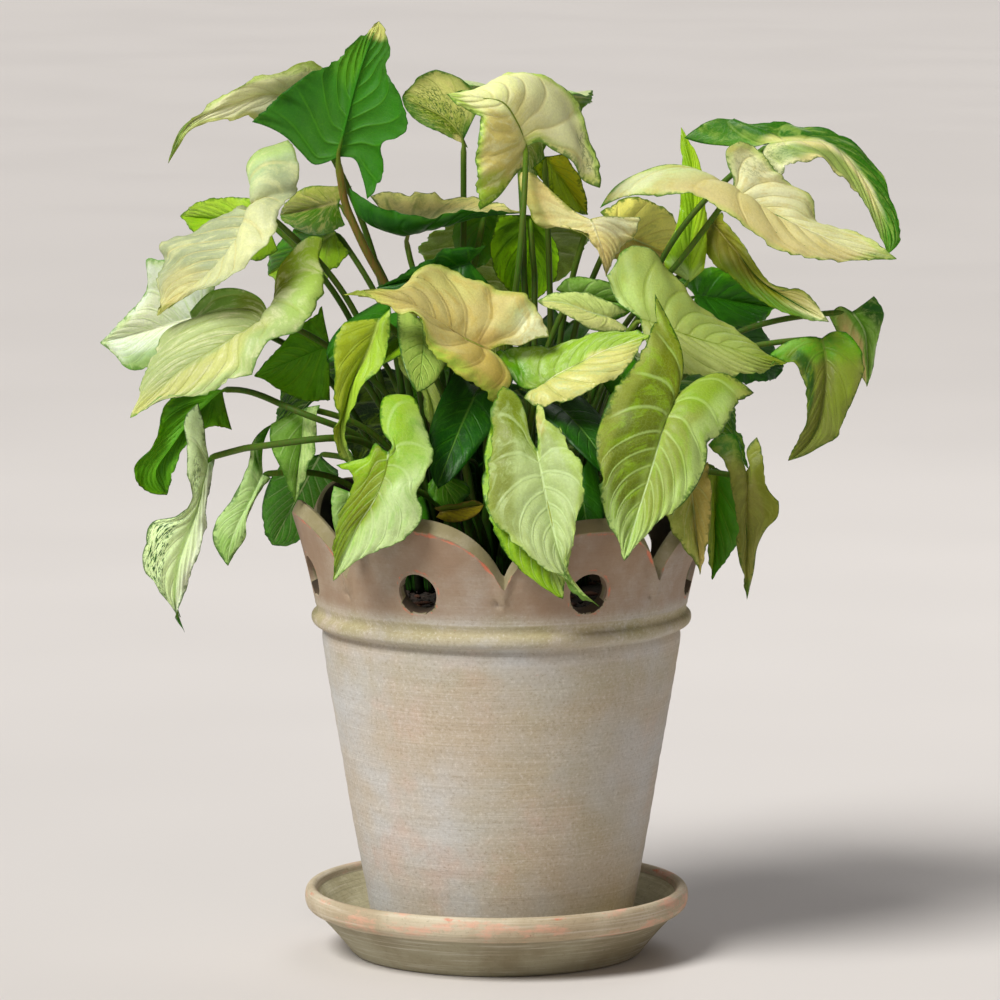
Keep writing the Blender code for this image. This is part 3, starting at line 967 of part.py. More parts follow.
def blade(leaf, across, along):
    """The blade as an open sheet, before its thickness."""
    origin = leaf.c["M"].p[0]
    mesh = bpy.data.meshes.new(leaf.name)
    bm = bmesh.new()
    bmesh.ops.create_grid(bm, x_segments=across, y_segments=along, size=1.0)
    verts = list(bm.verts)
    u = np.array([v.co.x for v in verts])
    v = np.array([(v.co.y + 1) / 2 for v in verts])
    for vert, p in zip(verts, leaf.surface(u, v)):
        vert.co = Vector((p - origin) * MM)
    bmesh.ops.remove_doubles(bm, verts=bm.verts, dist=0.00002)
    bm.normal_update()
    bm.to_mesh(mesh)
    bm.free()
    mesh.shade_smooth()
    obj = add(leaf.name, mesh, plant, tints[leaf.look], Vector(origin) * MM)
    thick = obj.modifiers.new("thickness", "SOLIDIFY")
    thick.thickness = BLADE * MM
    thick.offset = 0.0
    return obj


def stalk(leaf):
    """The leaf stalk: a tapered tube on a smooth run of points, as a mesh."""
    origin = leaf.c["M"].p[0]
    rib, joint = leaf.path[0], leaf.path[1]
    way = Curve(leaf.path[1:])(np.linspace(0, 1, STALK_POINTS))
    way = np.vstack([rib, joint * 0.5 + rib * 0.5, way])
    line = bpy.data.curves.new(leaf.name + "_stalk", "CURVE")
    line.dimensions = "3D"
    line.bevel_depth = STALK_R * leaf.stalk_k * MM
    line.bevel_resolution = 0
    line.use_fill_caps = True
    spline = line.splines.new("POLY")
    spline.points.add(len(way) - 1)
    for i, (point, p) in enumerate(zip(spline.points, way)):
        point.co = (*((p - origin) * MM), 1.0)
        point.radius = (0.55, 0.72)[i] if i < 2 else 0.78 + 0.22 * (i - 2) / (len(way) - 3)
    tube = bpy.data.objects.new(leaf.name + "_stalk_curve", line)
    tube.location = Vector(origin) * MM
    helpers.objects.link(tube)
    bpy.context.view_layer.update()
    mesh = bpy.data.meshes.new_from_object(tube.evaluated_get(bpy.context.evaluated_depsgraph_get()))
    bm = bmesh.new()
    bm.from_mesh(mesh)
    bmesh.ops.remove_doubles(bm, verts=bm.verts, dist=0.000002)
    bm.to_mesh(mesh)
    bm.free()
    made = add(leaf.name + "_stalk", mesh, helpers)
    made.matrix_world = tube.matrix_world.copy()
    bpy.data.objects.remove(tube)
    return made


# Leaves whose stalk leaves the blade almost along its underside.
TANGENT = (
    "leaf_right_khaki", "leaf_centre_peach", "leaf_low_right_olive", "leaf_left_upper",
    "leaf_left_lower",
)

lay(LEAVES)
settle(BACK, LEAVES)
everything = LEAVES + [DRY] + BACK
for leaf in everything:
    leaf.measure()
route(everything)
for leaf in everything:
    sheet = blade(leaf, 4, leaf.along)
    if not leaf.bare:
        boolean(sheet, stalk(leaf), "UNION", "MANIFOLD" if leaf.name in TANGENT else "EXACT")
bpy.context.view_layer.update()
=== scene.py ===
"""Finish of the cream-variegated arrowhead plant in its clay pot: fine leaves
with veins and margins, the thrown pot and saucer, soil and stems.

The leaves are laid out by the same rules and the same table as in the solid
model, so that each one stays where its solid is. Millimetres until a mesh is
built, then metres.
"""
import math

import bmesh
import bpy
import numpy as np
from mathutils import Matrix, Vector


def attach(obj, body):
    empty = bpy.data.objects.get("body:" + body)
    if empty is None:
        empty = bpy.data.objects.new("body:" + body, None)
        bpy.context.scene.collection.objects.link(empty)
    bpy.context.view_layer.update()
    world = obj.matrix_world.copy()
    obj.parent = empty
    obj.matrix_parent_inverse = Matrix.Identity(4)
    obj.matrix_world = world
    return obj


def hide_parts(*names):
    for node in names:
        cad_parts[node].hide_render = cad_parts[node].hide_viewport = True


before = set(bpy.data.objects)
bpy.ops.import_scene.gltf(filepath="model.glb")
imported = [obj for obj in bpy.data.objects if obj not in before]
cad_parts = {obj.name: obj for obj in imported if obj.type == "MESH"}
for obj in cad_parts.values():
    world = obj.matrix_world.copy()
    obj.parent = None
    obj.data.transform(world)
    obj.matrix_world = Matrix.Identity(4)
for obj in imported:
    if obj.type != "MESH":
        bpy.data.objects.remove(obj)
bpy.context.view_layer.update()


# ---------------------------------------------------------------- sizes (mm)
SAUCER_BASE_R = 72.5  # foot of the saucer
SAUCER_RIM_R = 96.5  # outermost line of the rolled rim
SAUCER_H = 34.0
SAUCER_FLOOR = 7.0  # thickness of the saucer floor
SAUCER_GROOVE_R = 88.5  # throat under the rolled rim

GAP = 0.3  # air between pieces that touch
POT_X = 2.4  # the pot stands a little off the saucer's centre
POT_Z = SAUCER_FLOOR + GAP  # underside of the pot
POT_FOOT_R = 63.2
POT_NECK_R = 90.4  # body just under the band
NECK_Z = 161.5
BAND_R = 95.2
BAND_TOP_Z = 174.5
COLLAR_R = 107.4  # outer radius at the scallop tops
SCALLOPS = 7
SCALLOP_TOP_Z = 231.0
NOTCH_Z = 200.5
NOTCH_TURN = 0.6  # degrees, the front notch looks at the viewer
POT_WALL = 7.0
POT_FLOOR = 9.0
DRAIN_R = 10.0
HOLE_R = 9.6
HOLE_Z = 193.5
RIM_CHAMFER = 5.0

SOIL_Z = 178.0
SOIL_RISE = 7.0

STEM_R = 3.6
STEM_TOPS = ((-32.0, 4.0, 232.0), (4.0, -24.0, 226.0), (30.0, 16.0, 240.0))

BLADE = 0.9  # blade thickness of the solids
CLEAR = 3.2  # air kept between neighbouring blades
STALK_R = 1.55
EMBED = 0.75  # how far the stalk's line runs under the blade's middle

# ------------------------------------------------------- the front chart
# Leaves are laid out on a front chart of 1000 x 1000 squares of half a
# millimetre, looked at from an eye point 3.5 m in front and a little above.
# chart(u, v, y) is the point at depth y (mm, + away from the eye) that the eye
# sees at square (u, v).
EYE = np.array((1.75, -3460.0, 677.0))
AIM_Z = 228.2
_tilt = math.atan2(EYE[2] - AIM_Z, -EYE[1])
FOCAL = math.hypot(EYE[1], EYE[2] - AIM_Z) / 0.5
FWD = np.array((0.0, math.cos(_tilt), -math.sin(_tilt)))
RIGHT = np.array((1.0, 0.0, 0.0))
UP = np.array((0.0, math.sin(_tilt), math.cos(_tilt)))


def chart(u, v, y):
    ray = FWD + (u - 500.0) / FOCAL * RIGHT + (500.0 - v) / FOCAL * UP
    return EYE + ray * ((y - EYE[1]) / ray[1])


def seen(points):
    """Chart squares and depth y of points (n, 3)."""
    d = points - EYE
    f = d @ FWD
    return np.stack(
        (500.0 + d @ RIGHT / f * FOCAL, 500.0 - d @ UP / f * FOCAL, points[..., 1]), -1
    )


# ------------------------------------------------------------ smooth curves
class Curve:
    """A smooth curve through points, read by share of its length."""

    def __init__(self, points):
        p = np.asarray(points, float)
        step = np.linalg.norm(np.diff(p, axis=0), axis=1)
        step = np.maximum(step, 1e-6)
        self.t = np.concatenate(([0.0], np.cumsum(step))) / step.sum()
        self.p = p
        t = self.t
        m = np.zeros_like(p)
        if len(p) == 2:
            m[:] = p[1] - p[0]
        else:
            slope = np.diff(p, axis=0) / np.diff(t)[:, None]
            w = np.diff(t)
            m[1:-1] = (slope[:-1] * w[1:, None] + slope[1:] * w[:-1, None]) / (
                w[1:] + w[:-1]
            )[:, None]
            m[0] = slope[0] * 1.5 - m[1] * 0.5
            m[-1] = slope[-1] * 1.5 - m[-2] * 0.5
        self.m = m

    def __call__(self, at):
        at = np.clip(np.asarray(at, float), 0.0, 1.0)
        k = np.clip(np.searchsorted(self.t, at, side="right") - 1, 0, len(self.p) - 2)
        h = (self.t[k + 1] - self.t[k])[..., None]
        x = ((at - self.t[k])[..., None]) / h
        a, b = self.p[k], self.p[k + 1]
        ma, mb = self.m[k] * h, self.m[k + 1] * h
        return (
            (2 * x**3 - 3 * x**2 + 1) * a
            + (x**3 - 2 * x**2 + x) * ma
            + (-2 * x**3 + 3 * x**2) * b
            + (x**3 - x**2) * mb
        )


def _run(ends, between, lift):
    """Depths for the points between two ends. A point without its own depth
    takes one between its neighbours, brought nearer by lift in the middle."""
    pts = [ends[0]] + list(between) + [ends[1]]
    flat = np.array([p[:2] for p in pts], float)
    step = np.linalg.norm(np.diff(flat, axis=0), axis=1)
    s = np.concatenate(([0.0], np.cumsum(step)))
    s /= max(s[-1], 1e-6)
    known = [i for i, p in enumerate(pts) if len(p) == 3]
    out = []
    for i, p in enumerate(pts):
        if len(p) == 3:
            out.append(tuple(p))
            continue
        a = max(k for k in known if k < i)
        b = min(k for k in known if k > i)
        f = (s[i] - s[a]) / max(s[b] - s[a], 1e-6)
        y = pts[a][2] * (1 - f) + pts[b][2] * f - lift * 4 * f * (1 - f)
        out.append((p[0], p[1], y))
    return out


class Leaf:
    """One arrow-shaped blade with its stalk.

    J joint of stalk and blade, T tip, A and B the two basal lobes; L and R the
    margins from A and B to the tip, SA and SB the edges of the cleft from J to
    A and B, M points on the midrib. Each is (u, v) or (u, v, depth). up says
    that the chart looks at the upper face.
    """

    def __init__(self, name, up, look, J, T, A, B, L=(), R=(), M=(), SA=(), SB=(),
                 fold=6.0, arch=4.0, dome=2.0, wave=1.0, stalk=(), stalk_k=1.0,
                 push=0.0, seed=0, bare=False):
        self.name, self.up, self.look, self.seed = name, up, look, seed
        self.stalk, self.stalk_k, self.bare = stalk, stalk_k, bare
        self.dome, self.wave, self.push = dome, wave, push
        A, B = (p if len(p) == 3 else (*p, J[2]) for p in (A, B))
        self.rows = {
            "M": _run((J, T), M, arch),
            "L": _run((A, T), L, fold),
            "R": _run((B, T), R, fold),
            "SA": _run((J, A), SA, 0.0),
            "SB": _run((J, B), SB, 0.0),
        }
        self.place((0.0, 0.0, 0.0))

    def place(self, lean):
        """lean = (back, per square to the right, per square down): how far the
        leaf is set back from its chart depths, about its joint."""
        self.lean = lean
        back, right, down = lean
        u0, v0 = self.rows["M"][0][:2]
        c = {}
        for k, row in self.rows.items():
            c[k] = Curve([
                chart(u, v, y + self.push + back + right * (u - u0) + down * (v - v0))
                for u, v, y in row
            ])
        self.c = c
        if not any(lean):
            self.smooth_out()
        self._orient()

    rib, fade = 1.3, 1.6

    def smooth_out(self):
        """Choose how fast the cleft's shape fades into the blade, so that the
        sheet has no pleat."""
        best = None
        for rib in (1.3, 1.0, 1.7):
            for fade in (1.6, 2.4, 1.1, 3.4):
                self.rib, self.fade = rib, fade
                uu, vv = self.grid(6, 24)
                p = self.base(uu, vv)
                du, dv = np.diff(p, axis=1)[:-1], np.diff(p, axis=0)[:, :-1]
                n = np.cross(du, dv)
                main = n.sum((0, 1))
                main /= max(np.linalg.norm(main), 1e-9)
                side = n @ main
                bad = -np.minimum(side, 0).sum() / np.abs(side).sum()
                if best is None or bad < best[0] - 0.002:
                    best = (bad, rib, fade)
        self.pleat, self.rib, self.fade = best

    def _orient(self):
        self.flip = 1.0
        p, n = self.surface(np.array([0.0]), np.array([0.35]), normals=True)
        toward = float(n[0] @ (EYE - p[0]))
        self.flip = 1.0 if (toward > 0) == self.up else -1.0

    def base(self, u, v):
        c = self.c
        s = np.abs(u)
        mid = c["M"](v**self.rib)
        left = u < 0
        margin = np.where(left[..., None], c["L"](v), c["R"](v))
        cleft = np.where(left[..., None], c["SA"](s), c["SB"](s))
        j = c["M"].p[0]
        lobe = np.where(left[..., None], c["L"].p[0], c["R"].p[0])
        s1 = s[..., None]
        fade = ((1 - v) ** self.fade)[..., None]
        return (1 - s1) * mid + s1 * margin + fade * (
            cleft - (1 - s1) * j - s1 * lobe
        )

    def surface(self, u, v, normals=False):
        """Points of the mid-surface, u -1..1 across and v 0..1 along, and the
        normals of the upper face (before self.flip is known, of either)."""
        e = 0.012
        p = self.base(u, v)
        du = self.base(np.clip(u + e, -1, 1), v) - self.base(np.clip(u - e, -1, 1), v)
        dv = self.base(u, np.clip(v + e, 0, 1)) - self.base(u, np.clip(v - e, 0, 1))
        n = np.cross(du, dv)
        size = np.linalg.norm(n, axis=-1, keepdims=True)
        n = np.where(size > 1e-9, n / np.maximum(size, 1e-9), 0.0)
        n = n * self.flip
        s = np.abs(u)
        full = np.clip(4 * s * (1 - s), 0, 1) * np.clip(v * 4 + 0.25, 0, 1) * np.clip((1 - v) * 3, 0, 1)
        p = p + n * (self.dome * full)[..., None]
        return (p, n) if normals else p

    def via(self):
        return [chart(*w) for w in self.stalk]

    def measure(self):
        size = np.ptp(self.surface(*self.grid(3, 6)).reshape(-1, 3), axis=0)
        self.along = 8 if np.linalg.norm(size) > 88.0 else 6

    def grid(self, across, along):
        u = np.linspace(-1, 1, 2 * across + 1)
        v = np.linspace(0, 1, along + 1)
        uu, vv = np.meshgrid(u, v)
        return uu, vv


class Grown(Leaf):
    """A leaf set by its joint, heading and pose, for the sides that the chart
    does not show. at = joint (mm), heading and pitch of the midrib and roll
    about it (degrees), length and width (mm), droop = drop of the tip (mm)."""

    def __init__(self, name, look, at, heading, pitch, roll, length, width,
                 droop=18.0, fold=7.0, dome=2.0, wave=1.0, seed=0, stalk=(),
                 stalk_k=1.0):
        self.name, self.up, self.look, self.seed = name, True, look, seed
        self.stalk, self.stalk_k, self.bare = stalk, stalk_k, False
        self.dome, self.wave, self.push = dome, wave, 0.0
        h, p, r = map(math.radians, (heading, pitch, roll))
        ahead = np.array((math.cos(h) * math.cos(p), math.sin(h) * math.cos(p), math.sin(p)))
        side = np.array((-math.sin(h), math.cos(h), 0.0))
        up = np.cross(ahead, side)
        side = side * math.cos(r) + up * math.sin(r)
        up = np.cross(ahead, side)
        w = width / 2.0

        def q(x, y, z):
            bend = droop * max(x / length, 0.0) ** 2
            back = 0.35 * droop * max(-x / length, 0.0)
            return (np.array(at, float) + ahead * x + side * y + up * z
                    - np.array((0, 0, bend + back)))

        k = length
        self.pts = {
            "M": [q(0, 0, 0), q(0.3 * k, 0, -1), q(0.65 * k, 0, -1), q(k, 0, 0)],
            "L": [q(-0.38 * k, -0.62 * w, 2), q(-0.2 * k, -0.95 * w, fold * 0.7),
                  q(0.05 * k, -w, fold), q(0.35 * k, -0.8 * w, fold),
                  q(0.7 * k, -0.36 * w, fold * 0.5), q(k, 0, 0)],
            "R": [q(-0.38 * k, 0.62 * w, 2), q(-0.2 * k, 0.95 * w, fold * 0.7),
                  q(0.05 * k, w, fold), q(0.35 * k, 0.8 * w, fold),
                  q(0.7 * k, 0.36 * w, fold * 0.5), q(k, 0, 0)],
            "SA": [q(0, 0, 0), q(-0.12 * k, -0.16 * w, 2), q(-0.3 * k, -0.34 * w, 3),
                   q(-0.38 * k, -0.62 * w, 2)],
            "SB": [q(0, 0, 0), q(-0.12 * k, 0.16 * w, 2), q(-0.3 * k, 0.34 * w, 3),
                   q(-0.38 * k, 0.62 * w, 2)],
        }
        self.upward = up
        self.place((0.0, 0.0, 0.0))

    def via(self):
        return [np.array(w, float) + np.array((0.0, self.lean[0], 0.0)) * f
                for w, f in zip(self.stalk, (1.0, 0.5, 0.0))]

    def place(self, lean):
        self.lean = lean
        off = np.array((0.0, lean[0], 0.0))
        self.c = {k: Curve([p + off for p in v]) for k, v in self.pts.items()}
        self.flip = 1.0
        p, n = self.surface(np.array([0.0]), np.array([0.35]), normals=True)
        self.flip = 1.0 if float(n[0] @ self.upward) > 0 else -1.0


# ------------------------------------------------------------- pot outline
def scallop(angle):
    """Height of the collar's edge (mm) at an angle in degrees."""
    pitch = 360.0 / SCALLOPS
    x = ((angle + 90.0 - NOTCH_TURN) % pitch) / pitch * 2 - 1  # -1..1 over a lobe
    return NOTCH_Z + (SCALLOP_TOP_Z - NOTCH_Z) * (1 - abs(x) ** 2.3) ** 0.75


def collar_r(z):
    """Outer radius of the collar (mm)."""
    f = np.clip((z - BAND_TOP_Z) / (SCALLOP_TOP_Z - BAND_TOP_Z), 0, 1)
    return 91.6 + (COLLAR_R - 91.6) * (0.78 * f + 0.22 * f * f)


def collar_points():
    out = []
    for a in range(0, 360, 4):
        top = scallop(a)
        for z in np.arange(176.0, top + 0.1, 6.0):
            for inset in (0.0, POT_WALL):
                r = collar_r(z) - inset
                out.append((POT_X + r * math.cos(math.radians(a)), r * math.sin(math.radians(a)), z))
        r = collar_r(top) - POT_WALL / 2
        out.append((POT_X + r * math.cos(math.radians(a)), r * math.sin(math.radians(a)), top))
    return np.array(out)


# ------------------------------------------------- laying out and routing
def lay(leaves, cell=4.0, gap=CLEAR):
    """Front to back, each leaf leans and goes back, as little as it can, until
    it clears those before it."""
    deepest = {}
    tilts = np.linspace(-0.24, 0.24, 13)
    for leaf in leaves:
        uu, vv = leaf.grid(12, 30)
        q = seen(leaf.surface(uu, vv).reshape(-1, 3))
        keys = np.floor(q[:, :2] / cell).astype(int)
        need = []
        for (a, b), y in zip(map(tuple, keys), q[:, 2]):
            for da in (-1, 0, 1):
                for db in (-1, 0, 1):
                    k = (a + da, b + db)
                    if k in deepest:
                        need.append((k[0], k[1], deepest[k] + gap - y))
        n = np.array(need or [(0, 0, -1.0)])
        if n[:, 2].max() > 0:
            u0, v0 = leaf.rows["M"][0][:2]
            du, dv = (n[:, 0] + 0.5) * cell - u0, (n[:, 1] + 0.5) * cell - v0
            mu, mv = q[:, 0].mean() - u0, q[:, 1].mean() - v0
            best = None
            for right in tilts:
                for down in tilts:
                    back = (n[:, 2] - right * du - down * dv).max()
                    back = max(back, -right * mu - down * mv)
                    mean = back + right * mu + down * mv
                    cost = mean + 9.0 * math.hypot(right, down)
                    if best is None or cost < best[0] - 1e-9:
                        best = (cost, back, right, down)
            leaf.place(best[1:])
        q = seen(leaf.surface(uu, vv).reshape(-1, 3))
        keys = np.floor(q[:, :2] / cell).astype(int)
        for (a, b), y in zip(map(tuple, keys), q[:, 2]):
            deepest[(a, b)] = max(deepest.get((a, b), -1e9), y)


def soil_z(x, y):
    r = math.hypot(x - POT_X, y)
    return SOIL_Z + SOIL_RISE * (1 - min(r / 80.0, 1.0) ** 2)


def stalk_start(leaf):
    """Where the stalk meets the blade: under the rib, then under the joint."""
    first = 1.0 / leaf.along
    p, n = leaf.surface(
        np.zeros(3), np.array([first, first * 0.6, 0.0]), normals=True
    )
    under = n[1] * EMBED
    return p[0] - under, p[2] - under


def settle(leaves, others, gap=CLEAR + 3.0):
    """Each leaf is set further back until it clears the others."""
    cloud = np.concatenate([o.surface(*o.grid(6, 16)).reshape(-1, 3) for o in others])
    for leaf in leaves:
        for _ in range(40):
            q = leaf.surface(*leaf.grid(7, 16)).reshape(-1, 3)
            if np.linalg.norm(q[:, None] - cloud[None], axis=-1).min() > gap:
                break
            leaf.place((leaf.lean[0] + 1.5, 0.0, 0.0))
        cloud = np.concatenate([cloud, q])


def route(leaves, points=19, rounds=150):
    """Stalk paths from each joint down to the soil beside the nearest stem,
    eased away from the blades, the collar and each other."""
    sockets = []
    for sx, sy, _ in STEM_TOPS:
        for ring, count, turn in ((STEM_R + 3.6, 7, 0.0), (STEM_R + 9.0, 13, 0.25)):
            for i in range(count):
                a = turn + 2 * math.pi * i / count
                sockets.append((sx + ring * math.cos(a), sy + ring * math.sin(a)))
    free = list(sockets)
    order = sorted(
        (l for l in leaves if not l.bare),
        key=lambda l: -math.hypot(l.c["M"].p[0][0] - POT_X, l.c["M"].p[0][1]),
    )
    paths, owner = {}, {}
    for leaf in order:
        rib, joint = stalk_start(leaf)
        via = leaf.via()
        aim = via[-1] if via else joint
        spot = np.array((aim[0] * 0.5, aim[1] * 0.5))
        best = min(free, key=lambda s: (s[0] - spot[0]) ** 2 + (s[1] - spot[1]) ** 2)
        free.remove(best)
        foot = np.array((best[0], best[1], soil_z(*best) + GAP + 0.1))
        last = via[-1] if via else joint
        span = math.hypot(last[0] - foot[0], last[1] - foot[1])
        rise = last[2] - foot[2]
        mids = []
        for t in (0.66, 0.33):
            f = t**1.6
            g = 1 - (1 - t) ** 1.7
            hump = max(0.0, 0.22 * span - 0.06 * rise) * 4 * t * (1 - t)
            mids.append(np.array((
                foot[0] + (last[0] - foot[0]) * f,
                foot[1] + (last[1] - foot[1]) * f,
                foot[2] + rise * g + hump,
            )))
        line = Curve([joint] + via + mids + [foot])
        paths[leaf.name] = line(np.linspace(0, 1, points))
        owner[leaf.name] = leaf
    names = list(paths)
    fixed = [collar_points()]
    for x, y, top in STEM_TOPS:
        for z in np.arange(SOIL_Z, top + 2.0, 3.0):
            turn = np.arange(6) * math.pi / 3
            fixed.append(np.stack((x + STEM_R * np.cos(turn), y + STEM_R * np.sin(turn), np.full(6, z)), -1))
    cloud = [np.concatenate(fixed)]
    who = [np.full(len(cloud[0]), -1)]
    index = {l.name: i for i, l in enumerate(leaves)}
    for leaf in leaves:
        uu, vv = leaf.grid(5, 14)
        q = leaf.surface(uu, vv).reshape(-1, 3)
        cloud.append(q)
        who.append(np.full(len(q), index[leaf.name]))
    cloud, who = np.concatenate(cloud), np.concatenate(who)
    stack = np.stack([paths[n] for n in names])
    start = stack.copy()
    keep = np.array([0.15 if owner[n].stalk else 0.03 for n in names])[:, None, None]
    for turn in range(rounds):
        if turn % 15 == 0:
            near_to = []
            for i, n in enumerate(names):
                away = np.linalg.norm(cloud[:, None] - stack[i][None, ::2], axis=-1).min(1)
                local = away < 22.0
                near_to.append((cloud[local], who[local]))
        move = np.zeros_like(stack)
        for i, n in enumerate(names):
            inner = stack[i, 1:-1]
            local, whose = near_to[i]
            if not len(local):
                continue
            d = inner[:, None] - local[None]
            dist = np.linalg.norm(d, axis=-1)
            own = whose == index[n]
            dist[:5, own] = 1e9
            k = dist.argmin(1)
            rows = np.arange(len(inner))
            near = dist[rows, k]
            hit = near < 5.6
            push = d[rows, k] / np.maximum(near, 1e-3)[:, None] * (5.6 - near)[:, None]
            move[i, 1:-1] += np.where(hit[:, None], 0.5 * push, 0.0)
        flat = stack[:, 1:-1].reshape(-1, 3)
        group = np.repeat(np.arange(len(names)), stack.shape[1] - 2)
        d = flat[:, None] - flat[None]
        dist = np.linalg.norm(d, axis=-1)
        near = (dist < 6.2) & (group[:, None] != group[None])
        force = np.where(near, (6.2 - dist) / np.maximum(dist, 0.3), 0.0)
        aside = np.stack((np.cos(group * 2.4), np.sin(group * 2.4), 0.0 * group), -1)
        push = (d * force[..., None]).sum(1) + aside * (near.sum(1) * 0.15)[:, None]
        move[:, 1:-1] += np.clip(0.3 * push, -2.0, 2.0).reshape(len(names), -1, 3)
        late = turn > 0.6 * rounds
        move[:, 1:-1] += (0.05 if late else 0.16) * (stack[:, :-2] + stack[:, 2:] - 2 * stack[:, 1:-1])
        move[:, 1:-1] += (start[:, 1:-1] - stack[:, 1:-1]) * (0.1 * keep if late else keep)
        stack = np.round(stack + move, 5)
    for i, n in enumerate(names):
        rib, joint = stalk_start(owner[n])
        owner[n].path = np.vstack([rib[None], joint[None], stack[i, 1:]])

